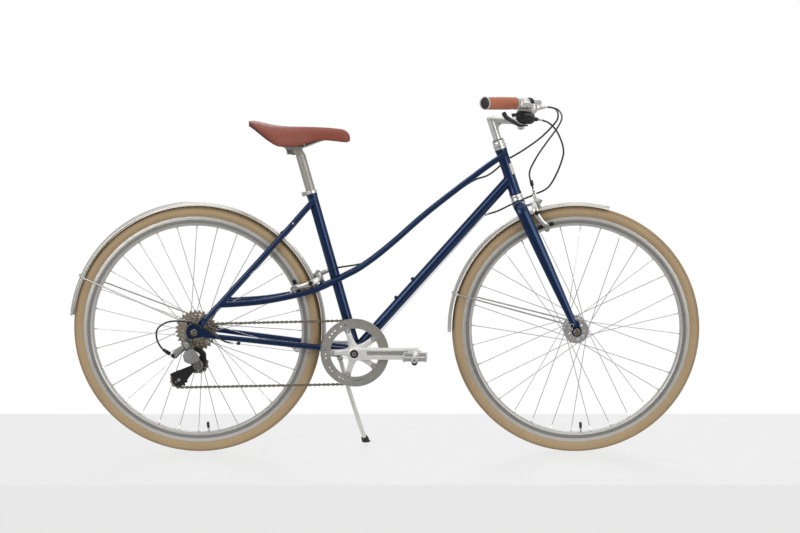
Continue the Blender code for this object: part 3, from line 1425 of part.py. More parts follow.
SHIFT_ROUTE = (
    pod_outlet() + Vector((CABLE_END_GAP, 0.0, 0.0)),
    pod_outlet() + Vector((18.0, 5.0, -2.0)),
    drawn(543.0, -140.0, 927.0),
    drawn(562.0, -108.0, 903.0),
    drawn(573.0, -80.0, 877.0),
    drawn(579.0, -56.0, 850.0),
    drawn(577.0, -32.0, 822.0),
    drawn(563.0, -2.0, 780.0),
    drawn(538.0, 34.0, 742.0),
    drawn(505.0, 60.0, 722.0),
    drawn(470.0, 66.0, 707.0),
    drawn(430.0, 54.0, 690.0),
    drawn(396.0, 22.0, 676.0),
    drawn(362.0, 0.0, 667.0),
    drawn(330.0, 0.0, 632.0),
    drawn(78.0, 0.0, 347.5),
    drawn(40.0, -5.0, 300.0),
    drawn(20.0, -9.0, 268.0),
    drawn(0.0, -11.0, 262.5),
    drawn(-40.0, -17.0, 269.0),
    drawn(-320.0, -50.0, 312.0),
    drawn(-338.0, -57.0, 314.5),
    drawn(-358.0, -68.5, 322.0),
    drawn(-380.0, -76.0, 337.0),
    drawn(-408.0, -80.0, 358.0),
    drawn(-442.0, -80.0, 373.5),
    drawn(-480.0, -82.0, 380.0),
    drawn(-515.0, -84.0, 376.0),
    drawn(-540.0, -84.0, 357.0),
    drawn(-541.0, -84.0, 328.0),
    drawn(-526.0, -84.0, 302.0),
    DERAILLEUR_OUTLET - OUTLET_WAY * CABLE_END_GAP,
)
WIRE_STRETCHES = ((13, 20),)  # between these points of the gear cable only the bare wire runs


def cable(name, route, bare=()):
    points, radii = [], []
    for index in range(len(route) - 1):
        stretch = smooth_route(route[max(0, index - 1) : index + 3], 26.0)
        start = next(i for i, p in enumerate(stretch) if (p - Vector(route[index])).length < 1e-3)
        end = next(i for i, p in enumerate(stretch) if (p - Vector(route[index + 1])).length < 1e-3)
        thin = any(first <= index < last for first, last in bare)
        if thin:
            stretch, start, end = [Vector(route[index]), Vector(route[index + 1])], 0, 1
        points += stretch[start:end]
        radii += [WIRE_RADIUS if thin else CABLE_RADIUS] * (end - start)
    points.append(Vector(route[-1]))
    radii.append(CABLE_RADIUS)
    return named(name, tube(points, CABLE_RADIUS, 6, radii), "black")


# Assembly


def joint_empty(name, pivot, axis, holder):
    """An empty at a joint, its Z along the axis, that carries the pieces that turn about it."""
    empty = bpy.data.objects.new(name, None)
    parts.objects.link(empty)
    turn = Vector(axis).normalized().to_track_quat("Z", "Y").to_matrix().to_4x4()
    hold(empty, holder, Matrix.Translation(Vector(pivot) * MM) @ turn)
    return empty


def hold(obj, holder, world):
    """Parents an object and leaves it where it is."""
    obj.parent = holder
    bpy.context.view_layer.update()
    obj.matrix_world = world
    bpy.context.view_layer.update()


def stand_axis():
    """The axis that turns the leg from its standing direction to lie along the chain stay."""
    down = (STAND_FOOT - STAND_PIVOT).normalized()
    folded = Vector((-0.985, 0.145, 0.02)).normalized()
    change = (down - folded).normalized()
    return (Y - change * Y.dot(change)).normalized()


def main():
    clear_scene()
    bike = bpy.data.objects.new("bike", None)
    parts.objects.link(bike)
    frame = [head_tube(), down_tube(), seat_tube(), bottom_bracket_shell()]
    for side in (RIGHT, LEFT):
        frame += [mixte_tube(side), seat_stay(side), chain_stay(side)]
    frame += [
        mudguard("rear_mudguard", REAR_AXLE, REAR_GUARD_START, REAR_GUARD_END),
        guard_stay("rear_mudguard_stay", REAR_AXLE, REAR_AXLE + REAR_EYELET, REAR_STAY_ANGLE),
        axle_with_nuts("rear_axle", REAR_AXLE, 71.0, 70.3),
        chain(),
        cable("gear_cable", SHIFT_ROUTE, WIRE_STRETCHES),
        cable("rear_brake_cable", REAR_BRAKE_ROUTE),
    ]
    steered = [fork(), headset_top(), stem(), handlebar(), shifter_pod()]
    for side in (RIGHT, LEFT):
        steered += [grip(side), brake_bracket(side)]
    steered += [
        mudguard("front_mudguard", FRONT_AXLE, FRONT_GUARD_START, FRONT_GUARD_END),
        guard_stay("front_mudguard_stay", FRONT_AXLE, FRONT_AXLE + FRONT_EYELET, FRONT_STAY_ANGLE),
        axle_with_nuts("front_axle", FRONT_AXLE, 57.0, 55.3),
        cable("front_brake_cable", FRONT_BRAKE_ROUTE),
    ]
    for obj in frame:
        hold(obj, bike, obj.matrix_world.copy())
    steer = joint_empty("steering_axis", steering(HEAD_LOW), STEER_UP, bike)
    groups = [(steer, steered)]
    for side in (RIGHT, LEFT):
        lever = joint_empty(f"brake_lever_axis_{side_name(side)}", lever_pivot(side), Z, steer)
        groups.append((lever, [brake_lever(side)]))
    groups.append((joint_empty("thumb_lever_axis", thumb_pivot(), Z, steer), [shift_lever_thumb()]))
    groups.append((joint_empty("release_lever_axis", release_pivot(), Y, steer), [shift_lever_release()]))
    for place, name, holder in ((FRONT_CALIPER, "front", steer), (REAR_CALIPER, "rear", bike)):
        for side in (RIGHT, LEFT):
            arm = f"{name}_caliper_{side_name(side)}"
            pivot = joint_empty(f"{arm}_axis", place[0], place[2], holder)
            groups.append((pivot, [caliper_arm(arm, place, side)]))
    front_wheel = joint_empty("front_wheel_axis", FRONT_AXLE, Y, steer)
    flange = (FRONT_FLANGE_SPACING / 2, FRONT_FLANGE_RADIUS)
    front = [tyre("front_tyre", FRONT_AXLE), rim("front_rim", FRONT_AXLE)]
    front.append(hub("front_hub", FRONT_AXLE, FRONT_HUB_WIDTH / 2 - GAP, flange, flange, HUB_BARREL_RADIUS))
    groups.append((front_wheel, front))
    rear_wheel = joint_empty("rear_wheel_axis", REAR_AXLE, Y, bike)
    right = (REAR_FLANGE_RIGHT, REAR_FLANGE_RADIUS)
    left = (REAR_FLANGE_LEFT, REAR_FLANGE_RADIUS)
    rear = [tyre("rear_tyre", REAR_AXLE), rim("rear_rim", REAR_AXLE)]
    rear.append(hub("rear_hub", REAR_AXLE, REAR_HUB_WIDTH / 2 - GAP, right, left, HUB_BARREL_RADIUS + 4, False))
    groups.append((rear_wheel, rear))
    groups.append((joint_empty("cassette_axis", REAR_AXLE, Y, bike), [cassette()]))
    cranks = joint_empty("crank_axis", BRACKET, Y, bike)
    groups.append((cranks, [crank(RIGHT), crank(LEFT), chainring(), chain_guard_ring()]))
    for side in (RIGHT, LEFT):
        ahead = 1 if side == RIGHT else -1
        centre = BRACKET + Vector((ahead * CRANK_LENGTH, 0.0, 0.0))
        groups.append((joint_empty(f"pedal_axis_{side_name(side)}", centre, Y, cranks), [pedal(side)]))
    bracket = joint_empty("derailleur_axis", HANGER, Y, bike)
    link = joint_empty("derailleur_link_axis", LINK_PIVOT, LINK_AXIS, bracket)
    knuckle = joint_empty("derailleur_knuckle_axis", LINK_END, LINK_AXIS, link)
    cage = joint_empty("derailleur_cage_axis", GUIDE_PULLEY, Y, knuckle)
    groups += [
        (bracket, [derailleur_bracket()]),
        (link, [derailleur_link()]),
        (knuckle, [derailleur_knuckle()]),
        (cage, [derailleur_cage(), pulley("guide_pulley", GUIDE_PULLEY), pulley("tension_pulley", TENSION_PULLEY)]),
    ]
    post = joint_empty("seatpost_slide", post_point(SEAT_TUBE_LENGTH), SEAT_UP, bike)
    groups.append((post, [seatpost(), saddle_rails(), saddle()]))
    groups.append((joint_empty("stand_axis", STAND_PIVOT, stand_axis(), bike), [side_stand()]))
    for holder, pieces in groups:
        for obj in pieces:
            hold(obj, holder, obj.matrix_world.copy())
    place_on_ground(bike)


def place_on_ground(bike):
    """Leans the bicycle to its left onto the stand and centres its box on the origin."""
    bike.matrix_world = Matrix.Rotation(-LEAN, 4, "X")
    bpy.context.view_layer.update()
    graph = bpy.context.evaluated_depsgraph_get()
    corners = []
    for obj in parts.objects:
        if obj.type == "MESH":
            mesh = obj.evaluated_get(graph).to_mesh()
            corners += [obj.matrix_world @ vertex.co for vertex in mesh.vertices]
    low = Vector([min(corner[axis] for corner in corners) for axis in range(3)])
    high = Vector([max(corner[axis] for corner in corners) for axis in range(3)])
    shift = Vector((-(low.x + high.x) / 2, -(low.y + high.y) / 2, -low.z))
    bike.matrix_world = Matrix.Translation(shift) @ Matrix.Rotation(-LEAN, 4, "X")
    bpy.context.view_layer.update()


main()
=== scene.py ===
"""City bicycle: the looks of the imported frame, built piece by piece in mesh code.

Every length is in millimetres in the bicycle's own upright frame, with X forwards, Y to the rider's left
and Z up from the ground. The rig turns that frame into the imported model's, where the bicycle leans on
its side stand.
"""

import json
import logging
import math
from dataclasses import dataclass
from enum import Enum
from typing import Any, Iterable, Optional, Sequence, Union

import bmesh
import bpy
import numpy as np
from mathutils import Matrix, Vector
from mathutils.geometry import tessellate_polygon


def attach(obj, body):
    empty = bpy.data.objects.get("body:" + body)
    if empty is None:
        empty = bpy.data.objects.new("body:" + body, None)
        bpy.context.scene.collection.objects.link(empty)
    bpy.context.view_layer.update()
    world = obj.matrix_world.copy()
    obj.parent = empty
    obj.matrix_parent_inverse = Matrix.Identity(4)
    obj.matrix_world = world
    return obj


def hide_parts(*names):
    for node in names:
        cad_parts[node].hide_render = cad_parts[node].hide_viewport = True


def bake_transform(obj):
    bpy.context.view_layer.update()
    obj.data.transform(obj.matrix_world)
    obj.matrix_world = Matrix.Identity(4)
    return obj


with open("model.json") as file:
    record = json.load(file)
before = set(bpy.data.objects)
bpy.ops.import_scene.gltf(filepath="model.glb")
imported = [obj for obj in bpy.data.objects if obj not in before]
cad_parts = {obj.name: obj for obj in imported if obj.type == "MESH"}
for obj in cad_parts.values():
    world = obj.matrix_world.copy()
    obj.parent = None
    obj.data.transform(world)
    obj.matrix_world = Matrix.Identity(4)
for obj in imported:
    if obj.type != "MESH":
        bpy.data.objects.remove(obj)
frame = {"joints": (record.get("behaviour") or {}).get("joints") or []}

log = logging.getLogger("bicycle")

MM = 0.001
RIGHT, LEFT = -1, 1
SIDE_NAMES = {RIGHT: "right", LEFT: "left"}
WHITE = (1.0, 1.0, 1.0, 1.0)
X = Vector((1.0, 0.0, 0.0))
Y = Vector((0.0, 1.0, 0.0))
Z = Vector((0.0, 0.0, 1.0))

Colour = tuple[float, float, float]
Flat = Sequence[tuple[float, float]]
Radius = Union[float, Sequence[Any]]

# Geometry shared by several sub-assemblies, as in the part's source

TYRE_RADIUS = 346.0
BRACKET = Vector((0.0, 0.0, TYRE_RADIUS - 58.0))
REAR_AXLE = Vector((-math.sqrt(446.0**2 - 58.0**2), 0.0, TYRE_RADIUS))
FRONT_AXLE = REAR_AXLE + X * 1057.0
HEAD_ANGLE = math.radians(71.6)
SEAT_ANGLE = math.radians(74.6)
STEER_UP = Vector((-math.cos(HEAD_ANGLE), 0.0, math.sin(HEAD_ANGLE)))
STEER_FORWARD = Vector((math.sin(HEAD_ANGLE), 0.0, math.cos(HEAD_ANGLE)))
STEER_FOOT = FRONT_AXLE - STEER_FORWARD * 41.0
SEAT_UP = Vector((-math.cos(SEAT_ANGLE), 0.0, math.sin(SEAT_ANGLE)))
HEAD_LOW = 411.0
SEAT_TUBE_LENGTH = 454.0
CHAIN_LINE = 47.5
SPROCKET_LINE = 60.0
PITCH = 12.7
GUARD_RADIUS = 358.0
GUARD_WIDTH = 43.0
BRIDGE_RADIUS = GUARD_RADIUS + 6.3


def steering(height: float, forward: float = 0.0, across: float = 0.0) -> Vector:
    """A point by its height along the steering axis."""
    return STEER_FOOT + STEER_UP * height + STEER_FORWARD * forward + Y * across


def around(centre: Vector, radius: float, degrees: float, across: float = 0.0) -> Vector:
    """A point on a circle in the side view, counted from straight ahead and upwards."""
    turn = math.radians(degrees)
    return centre + Vector((radius * math.cos(turn), across, radius * math.sin(turn)))


def mirrored(point: Sequence[float], side: int) -> Vector:
    """A point given for the left-hand side, on the side asked for."""
    return Vector((point[0], point[1] * side, point[2]))


def aim(origin: Sequence[float], out: Sequence[float], hint: Sequence[float] = (1.0, 0.0, 0.0)) -> Matrix:
    """A local frame whose Z points out and whose X is as near to the hint as it can be.

    Args:
        origin: where the frame sits.
        out: direction of its Z.
        hint: rough direction of its X.
    Returns:
        The frame as a matrix.
    """
    w = Vector(out).normalized()
    u = Vector(hint) - w * Vector(hint).dot(w)
    if u.length < 1e-6:
        u = w.orthogonal()
    u.normalize()
    return Matrix.Translation(Vector(origin)) @ Matrix((u, w.cross(u), w)).transposed().to_4x4()


def smooth_route(points: Iterable[Sequence[float]], step: float = 6.0) -> list[Vector]:
    """Points about one step apart on a smooth curve through the route's own points.

    Args:
        points: the route.
        step: distance between the new points.
    Returns:
        The finer route.
    """
    points = [Vector(point) for point in points]
    padded = [points[0] * 2 - points[1], *points, points[-1] * 2 - points[-2]]
    found = [points[0]]
    for before, start, end, after in zip(padded, padded[1:], padded[2:], padded[3:]):
        pieces = max(2, round((end - start).length / step))
        for index in range(1, pieces + 1):
            t = index / pieces
            bend = (end - before) * t + (before * 2 - start * 5 + end * 4 - after) * t**2
            found.append((start * 2 + bend + (start * 3 - before - end * 3 + after) * t**3) / 2)
    return found


def arc(
    radius: float, start: float, end: float, pieces: int = 12, centre: tuple[float, float] = (0.0, 0.0)
) -> list:
    """Flat points on an arc."""
    turns = [math.radians(start + (end - start) * i / pieces) for i in range(pieces + 1)]
    return [(centre[0] + radius * math.cos(a), centre[1] + radius * math.sin(a)) for a in turns]


def circle(radius: float, centre: tuple[float, float] = (0.0, 0.0), sides: int = 32) -> list:
    """A closed flat circle."""
    return arc(radius, 0.0, 360.0, sides, centre)[:-1]


def fillet(points: Flat, radius: float, closed: bool = False, pieces: int = 3) -> list:
    """Rounds the corners of a flat line.

    Args:
        points: the corners.
        radius: how far along each side a corner's rounding reaches.
        closed: whether the last point joins the first.
        pieces: chords in each rounding.
    Returns:
        The rounded line.
    """
    made = []
    count = len(points)
    for i in range(count):
        if not closed and i in (0, count - 1):
            made.append(tuple(points[i]))
            continue
        before, here, after = (np.array(points[(i + k) % count], float) for k in (-1, 0, 1))
        reach_in = min(radius, np.linalg.norm(before - here) * 0.45)
        reach_out = min(radius, np.linalg.norm(after - here) * 0.45)
        start = here + (before - here) / max(np.linalg.norm(before - here), 1e-9) * reach_in
        end = here + (after - here) / max(np.linalg.norm(after - here), 1e-9) * reach_out
        for k in range(pieces + 1):
            t = k / pieces
            made.append(tuple(start * (1 - t) ** 2 + here * 2 * t * (1 - t) + end * t**2))
    return made


def inset(loop: Flat, distance: float) -> list:
    """A closed flat loop moved to its own left.

    Args:
        loop: the points.
        distance: how far to move it.
    Returns:
        The moved loop, with as many points.
    """
    line = np.array(loop, float)
    ahead = np.roll(line, -1, axis=0) - line
    ahead /= np.maximum(np.linalg.norm(ahead, axis=1, keepdims=True), 1e-9)
    behind = np.roll(ahead, 1, axis=0)
    middle = ahead + behind
    size = np.maximum(np.linalg.norm(middle, axis=1, keepdims=True), 0.5)
    left = np.stack([-middle[:, 1], middle[:, 0]], axis=1) / size
    stretch = 1.0 / np.maximum(size / 2, 0.6)
    return [tuple(p) for p in line + left * distance * stretch]


def area(loop: Flat) -> float:
    """The signed area of a closed flat loop."""
    return sum(a[0] * b[1] - b[0] * a[1] for a, b in zip(loop, [*loop[1:], loop[0]])) / 2


def oblong(width: float, height: float, corner: float, pieces: int = 4) -> list:
    """A rectangle with round corners, about the origin.

    Args:
        width: size along the first axis.
        height: size along the second.
        corner: radius of the corners.
        pieces: chords in each corner.
    Returns:
        The closed loop.
    """
    w, h = width / 2 - corner, height / 2 - corner
    made = []
    for x, y, start in ((w, h, 0), (-w, h, 90), (-w, -h, 180), (w, -h, 270)):
        made += arc(corner, start, start + 90, pieces, (x, y))
    return made


def shares(line: Sequence[Any]) -> list[float]:
    """Each point's place along a line, from 0 at its first point to 1 at its last."""
    return [i / (len(line) - 1) for i in range(len(line))]


def knurl(count: int, pitch: float, ridge: tuple[float, float], groove: tuple[float, float]) -> list:
    """A row of ridges for a turned profile, as radius and height.

    Args:
        count: number of ridges.
        pitch: distance between them.
        ridge: the first ridge.
        groove: the first groove.
    Returns:
        The profile's points.
    """
    made = []
    for i in range(count):
        made += [(ridge[0], ridge[1] + i * pitch), (groove[0], groove[1] + i * pitch)]
    return made


class Rig:
    """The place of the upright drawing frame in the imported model."""

    def __init__(self, joints: list[dict]) -> None:
        """Finds the place from the crank's joint.

        Args:
            joints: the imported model's joints.
        """
        crank = next(joint for joint in joints if joint["name"] == "crank_spin")
        across = Vector(crank["axis"]).normalized()
        up = X.cross(across)
        origin = Vector(crank["pos_m"]) - up * BRACKET.z * MM
        turn = Matrix((X, across, up)).transposed().to_4x4()
        self.place = Matrix.Translation(origin) @ turn @ Matrix.Scale(MM, 4)
        self.turn = turn.to_3x3()

    def point(self, place: Sequence[float]) -> Vector:
        """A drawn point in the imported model."""
        return self.place @ Vector(place)


RIG = Rig(frame["joints"])


class Grain(Enum):
    """What a finish shows close up."""

    FLAKE = "flake"
    BRUSHED = "brushed"
    TURNED = "turned"
    CAST = "cast"
    MOULDED = "moulded"
    LEATHER = "leather"
    RUBBER = "rubber"
    WORN = "worn"


def srgb(red: float, green: float, blue: float) -> Colour:
    """A colour as the photograph's 0 to 255 values, made linear."""
    values = (red / 255, green / 255, blue / 255)
    return tuple(v / 12.92 if v <= 0.04045 else ((v + 0.055) / 1.055) ** 2.4 for v in values)


class Graph:
    """The node tree of a material or of the world, built one node at a time."""

    def __init__(self, owner: Union[bpy.types.Material, bpy.types.World]) -> None:
        """Starts on the owner's own tree.

        Args:
            owner: the material or the world.
        """
        owner.use_nodes = True
        self.tree = owner.node_tree
        self.shader = self.tree.nodes.get("Principled BSDF")

    def add(
        self, kind: str, inputs: Optional[dict] = None, out: Union[int, str] = 0, **settings: Any
    ) -> Any:
        """Adds a node.

        Args:
            kind: the node's type without its ShaderNode prefix.
            inputs: socket name or number to value or to another node's output.
            out: the output that is returned.
            settings: the node's own properties.
        Returns:
            One output of the node.
        """
        node = self.tree.nodes.new("ShaderNode" + kind)
        for key, value in settings.items():
            setattr(node, key, value)
        for key, value in (inputs or {}).items():
            self.put(node.inputs[key], value)
        return node.outputs[out]

    def put(self, socket: Any, value: Any) -> None:
        """Links or sets a socket.

        Args:
            socket: the input.
            value: another node's output, a number or a colour.
        """
        if isinstance(value, bpy.types.NodeSocket):
            self.tree.links.new(value, socket)
        elif isinstance(value, tuple) and socket.type == "RGBA":
            socket.default_value = (*value[:3], 1.0)
        else:
            socket.default_value = value

    def math(self, operation: str, first: Any, second: Any = 0.0, third: Any = 0.0) -> Any:
        """A math node."""
        return self.add("Math", {0: first, 1: second, 2: third}, operation=operation)

    def noise(self, place: Any, scale: float, detail: float = 2.0) -> Any:
        """A noise texture's value."""
        return self.add("TexNoise", {"Vector": place, "Scale": scale, "Detail": detail})

    def stretch(self, place: Any, scale: tuple[float, float, float]) -> Any:
        """Coordinates scaled along each axis."""
        return self.add("Mapping", {"Vector": place, "Scale": scale})

    def ramp(self, value: Any, low: float, high: float, to_low: float = 0.0, to_high: float = 1.0) -> Any:
        """A value mapped from one range to another, with its ends held."""
        sockets = {"Value": value, 1: low, 2: high, 3: to_low, 4: to_high}
        return self.add("MapRange", sockets, clamp=True)

    def mix(self, share: Any, first: Any, second: Any) -> Any:
        """Two colours mixed."""
        return self.add("Mix", {0: share, 6: first, 7: second}, out=2, data_type="RGBA")

    def bands(self, value: Any, rows: Sequence[tuple[float, float]]) -> Any:
        """Greys read off along a value.

        Args:
            value: the socket.
            rows: each grey's place along the value, and the grey.
        Returns:
            The grey's socket.
        """
        node = self.add("ValToRGB", {0: value}).node
        elements = node.color_ramp.elements
        while len(elements) < len(rows):
            elements.new(0.5)
        for element, (spot, grey) in zip(elements, rows):
            element.position = spot
            element.color = (grey, grey, grey, 1.0)
        return node.outputs[0]

    def bump(self, height: Any, depth: float, before: Any = None) -> Any:
        """A bump from a height.

        Args:
            height: socket from 0 to 1.
            depth: the height's size in millimetres.
            before: another bump that this one adds to.
        Returns:
            The normal's socket.
        """
        sockets = {"Height": height, "Distance": depth * MM, "Strength": 1.0}
        if before is not None:
            sockets["Normal"] = before
        return self.add("Bump", sockets)


NOISES = {
    # stretch along and around the piece, scale, detail, the range that is read, and the most it gives
    Grain.BRUSHED: ((0.03, 2.4, 1.0), 1.0, 3.0, 0.3, 0.7, 0.5),
    Grain.TURNED: ((0.012, 3.4, 1.0), 1.0, 2.0, 0.3, 0.7, 0.6),
    Grain.CAST: (None, 1500.0, 3.0, 0.35, 0.65, 0.3),
    Grain.RUBBER: (None, 700.0, 5.0, 0.4, 0.75, 0.5),
    Grain.WORN: (None, 260.0, 6.0, 0.38, 0.66, 1.0),
}


@dataclass(frozen=True)
class Finish:
    """One surface: two tones of its colour, its gloss and its grain."""

    name: str
    colour: Colour
    tone: Colour
    roughness: float
    grain: Grain
    slot: str
    metallic: float = 0.0
    coat: float = 0.0
    size: float = 1.0
    depth: float = 0.02
    blotch: float = 0.35
    sheen: float = 0.0

    def made(self) -> bpy.types.Material:
        """The finish as a material, made once."""
        found = bpy.data.materials.get(self.name)
        return found or self.paint()

    def paint(self) -> bpy.types.Material:
        """Builds the material's nodes.

        Returns:
            The new material.
        """
        material = bpy.data.materials.new(self.name)
        graph = Graph(material)
        place = graph.add("TexCoord", out="Object")
        lay = graph.add("UVMap", uv_map="lay")
        if self.grain in NOISES:
            fine, normal = self.noisy(graph, place, lay)
        else:
            fine, normal = getattr(self, self.grain.value)(graph, place)
        cloud = graph.noise(place, 9.0, 4.0)
        share = graph.math("MULTIPLY_ADD", graph.ramp(cloud, 0.35, 0.7), self.blotch, fine)
        tint = graph.mix(graph.ramp(share, 0.0, 1.0), self.colour, self.tone)
        wear = graph.noise(place, 60.0, 3.0)
        rough = graph.ramp(wear, 0.3, 0.7, self.roughness * 0.85, self.roughness * 1.2)
        values = {
            "Base Color": tint,
            "Roughness": rough,
            "Normal": normal,
            "Metallic": self.metallic,
            "Coat Weight": self.coat,
            "Sheen Weight": self.sheen,
            "Coat Roughness": 0.05,
        }
        for name, value in values.items():
            graph.put(graph.shader.inputs[name], value)
        return material

    def noisy(self, graph: Graph, place: Any, lay: Any) -> tuple[Any, Any]:
        """A grain that a single noise makes.

        Args:
            graph: the material's nodes.
            place: the object's own coordinates.
            lay: coordinates along and around the piece.
        Returns:
            Sockets of the share of the second tone and of the normal.
        """
        stretch, scale, detail, low, high, most = NOISES[self.grain]
        spot = graph.stretch(lay, stretch) if stretch else place
        noise = graph.noise(spot, scale / self.size, detail)
        return graph.ramp(noise, low, high, 0.0, most), graph.bump(noise, self.depth)

    def flake(self, graph: Graph, place: Any) -> tuple[Any, Any]:
        """Metal flakes under clear lacquer.

        Args:
            graph: the material's nodes.
            place: the object's own coordinates.
        Returns:
            Sockets of the share of the second tone and of the normal.
        """
        cell = graph.add("TexVoronoi", {"Vector": place, "Scale": 2200.0 / self.size}, out="Color")
        flake = graph.ramp(graph.add("SeparateColor", {"Color": cell}), 0.6, 1.0, 0.0, 0.6)
        peel = graph.noise(place, 420.0, 1.0)
        return flake, graph.bump(peel, self.depth)

    def moulded(self, graph: Graph, place: Any) -> tuple[Any, Any]:
        """Sparked plastic with light scuffs.

        Args:
            graph: the material's nodes.
            place: the object's own coordinates.
        Returns:
            Sockets of the share of the second tone and of the normal.
        """
        grit = graph.noise(place, 2400.0 / self.size, 2.0)
        scuff = graph.noise(graph.stretch(place, (300.0, 90.0, 500.0)), 1.0, 4.0)
        return graph.ramp(scuff, 0.62, 0.78, 0.0, 0.6), graph.bump(grit, self.depth)

    def leather(self, graph: Graph, place: Any) -> tuple[Any, Any]:
        """Pebbled leather with pores and soft creases.

        Args:
            graph: the material's nodes.
            place: the object's own coordinates.
        Returns:
            Sockets of the share of the second tone and of the normal.
        """
        drift = graph.add("TexNoise", {"Vector": place, "Scale": 260.0}, out="Color")
        warped = graph.add("VectorMath", {0: place, 1: drift}, operation="ADD")
        sockets = {"Vector": place, "Scale": 900.0 / self.size}
        cells = graph.add("TexVoronoi", sockets, out="Distance", feature="DISTANCE_TO_EDGE")
        pores = graph.noise(place, 2600.0, 2.0)
        crease = graph.noise(graph.stretch(warped, (30.0, 80.0, 60.0)), 1.0, 5.0)
        pebble = graph.bump(graph.ramp(cells, 0.0, 0.25), self.depth)
        return graph.ramp(crease, 0.45, 0.75, 0.0, 0.7), graph.bump(pores, self.depth * 0.4, pebble)


class Tint:
    """The finishes in use."""

    PAINT = Finish(
        "navy_lacquer", srgb(12, 38, 72), srgb(16, 56, 108), 0.27, Grain.FLAKE, "paint", metallic=0.7,
        coat=0.3, depth=0.003, blotch=0.15
    )
    SILVER = Finish(
        "silver_satin", srgb(218, 216, 212), srgb(200, 198, 194), 0.34, Grain.BRUSHED, "alloy",
        metallic=0.85, depth=0.002, blotch=0.2
    )
    BRIGHT = Finish(
        "silver_polished", srgb(230, 228, 224), srgb(212, 210, 206), 0.22, Grain.TURNED, "alloy",
        metallic=0.9, depth=0.002, blotch=0.15
    )
    CAST = Finish(
        "silver_cast", srgb(214, 212, 208), srgb(190, 188, 184), 0.42, Grain.CAST, "alloy", metallic=0.75,
        depth=0.005, blotch=0.25
    )
    ARM = Finish(
        "crank_alloy", srgb(238, 236, 233), srgb(226, 224, 220), 0.42, Grain.CAST, "alloy", metallic=0.6,
        depth=0.002, blotch=0.15
    )
    RIM = Finish(
        "rim_alloy", srgb(198, 196, 192), srgb(188, 186, 182), 0.42, Grain.TURNED, "alloy", metallic=0.7,
        size=1.4, depth=0.0003, blotch=0.1
    )
    # darker copy of the rim alloy for a band on each flank: painted reflection
    REFLECTION_BAND = Finish(
        "rim_band_painted_reflection", srgb(144, 141, 136), srgb(132, 129, 124), 0.5, Grain.TURNED, "alloy", metallic=0.7,
        size=1.4, depth=0.0004, blotch=0.1
    )
    GUARD = Finish(
        "guard_alloy", srgb(212, 209, 202), srgb(203, 200, 194), 0.36, Grain.TURNED, "alloy", metallic=0.8,
        coat=0.1, size=1.6, depth=0.0002, blotch=0.1
    )
    RING = Finish(
        "ring_alloy", srgb(168, 165, 158), srgb(150, 147, 140), 0.45, Grain.CAST, "alloy", metallic=0.7,
        depth=0.004, blotch=0.2
    )
    GREY = Finish(
        "grey_alloy", srgb(120, 119, 118), srgb(92, 91, 90), 0.38, Grain.CAST, "steel", metallic=0.7,
        depth=0.006, blotch=0.3
    )
    STEEL = Finish(
        "wire_steel", srgb(196, 196, 194), srgb(160, 160, 158), 0.28, Grain.BRUSHED, "steel", metallic=0.95,
        depth=0.002, blotch=0.1
    )
    CHAIN = Finish(
        "chain_steel", srgb(158, 146, 128), srgb(96, 84, 68), 0.34, Grain.WORN, "steel", metallic=0.85,
        size=0.6, depth=0.01, blotch=0.3
    )
    COGS = Finish(
        "cog_steel", srgb(216, 208, 194), srgb(132, 120, 102), 0.3, Grain.WORN, "steel", metallic=0.75,
        size=0.8, depth=0.006, blotch=0.3
    )
    BLACK = Finish(
        "black_plastic", srgb(26, 26, 27), srgb(50, 50, 50), 0.45, Grain.MOULDED, "plastic", depth=0.01,
        blotch=0.1
    )
    SATIN = Finish(
        "black_alloy", srgb(30, 30, 31), srgb(54, 54, 54), 0.35, Grain.CAST, "plastic", metallic=0.4,
        depth=0.004, blotch=0.2
    )
    HOUSING = Finish(
        "cable_housing", srgb(22, 22, 23), srgb(36, 36, 36), 0.36, Grain.MOULDED, "plastic", coat=0.1,
        depth=0.004, blotch=0.1
    )
    RUBBER = Finish(
        "black_rubber", srgb(28, 28, 28), srgb(48, 46, 44), 0.7, Grain.RUBBER, "plastic", blotch=0.2
    )
    TYRE = Finish(
        "cream_rubber", srgb(172, 149, 115), srgb(151, 127, 95), 0.66, Grain.RUBBER, "tyre", size=1.2,
        depth=0.03, blotch=0.3
    )
    TREAD = Finish(
        "cream_tread", srgb(160, 136, 102), srgb(128, 106, 78), 0.78, Grain.RUBBER, "tyre", depth=0.04,
        blotch=0.3
    )
    GRIP = Finish(
        "grip_leather", srgb(175, 98, 68), srgb(144, 71, 45), 0.55, Grain.LEATHER, "grip", depth=0.05,
        blotch=0.3, sheen=0.1
    )
    SADDLE = Finish(
        "saddle_leather", srgb(137, 65, 45), srgb(105, 48, 34), 0.55, Grain.LEATHER, "saddle", coat=0.05,
        size=1.3, depth=0.03, sheen=0.05
    )
    # darker copy of the saddle leather for the panels under its wings and the seam: painted shade
    PANEL_SHADE = Finish(
        "saddle_panel_painted_shade", srgb(96, 50, 40), srgb(72, 38, 30), 0.55, Grain.LEATHER, "saddle", coat=0.05,
        size=1.3, blotch=0.3
    )
    THREAD = Finish(
        "stitch_thread", srgb(200, 136, 100), srgb(156, 92, 62), 0.7, Grain.BRUSHED, "grip", size=0.5,
        blotch=0.2
    )
    PLATE = Finish(
        "blank_plate", srgb(222, 214, 196), srgb(196, 186, 166), 0.35, Grain.CAST, "alloy", coat=0.2,
        depth=0.003, blotch=0.2
    )
    # near-black for the ring round the stem's quill: painted shade in that recess
    RECESS_SHADE = Finish(
        "painted_recess_shade", srgb(22, 21, 20), srgb(40, 37, 34), 0.6, Grain.RUBBER, "plastic", depth=0.006,
        blotch=0.2
    )


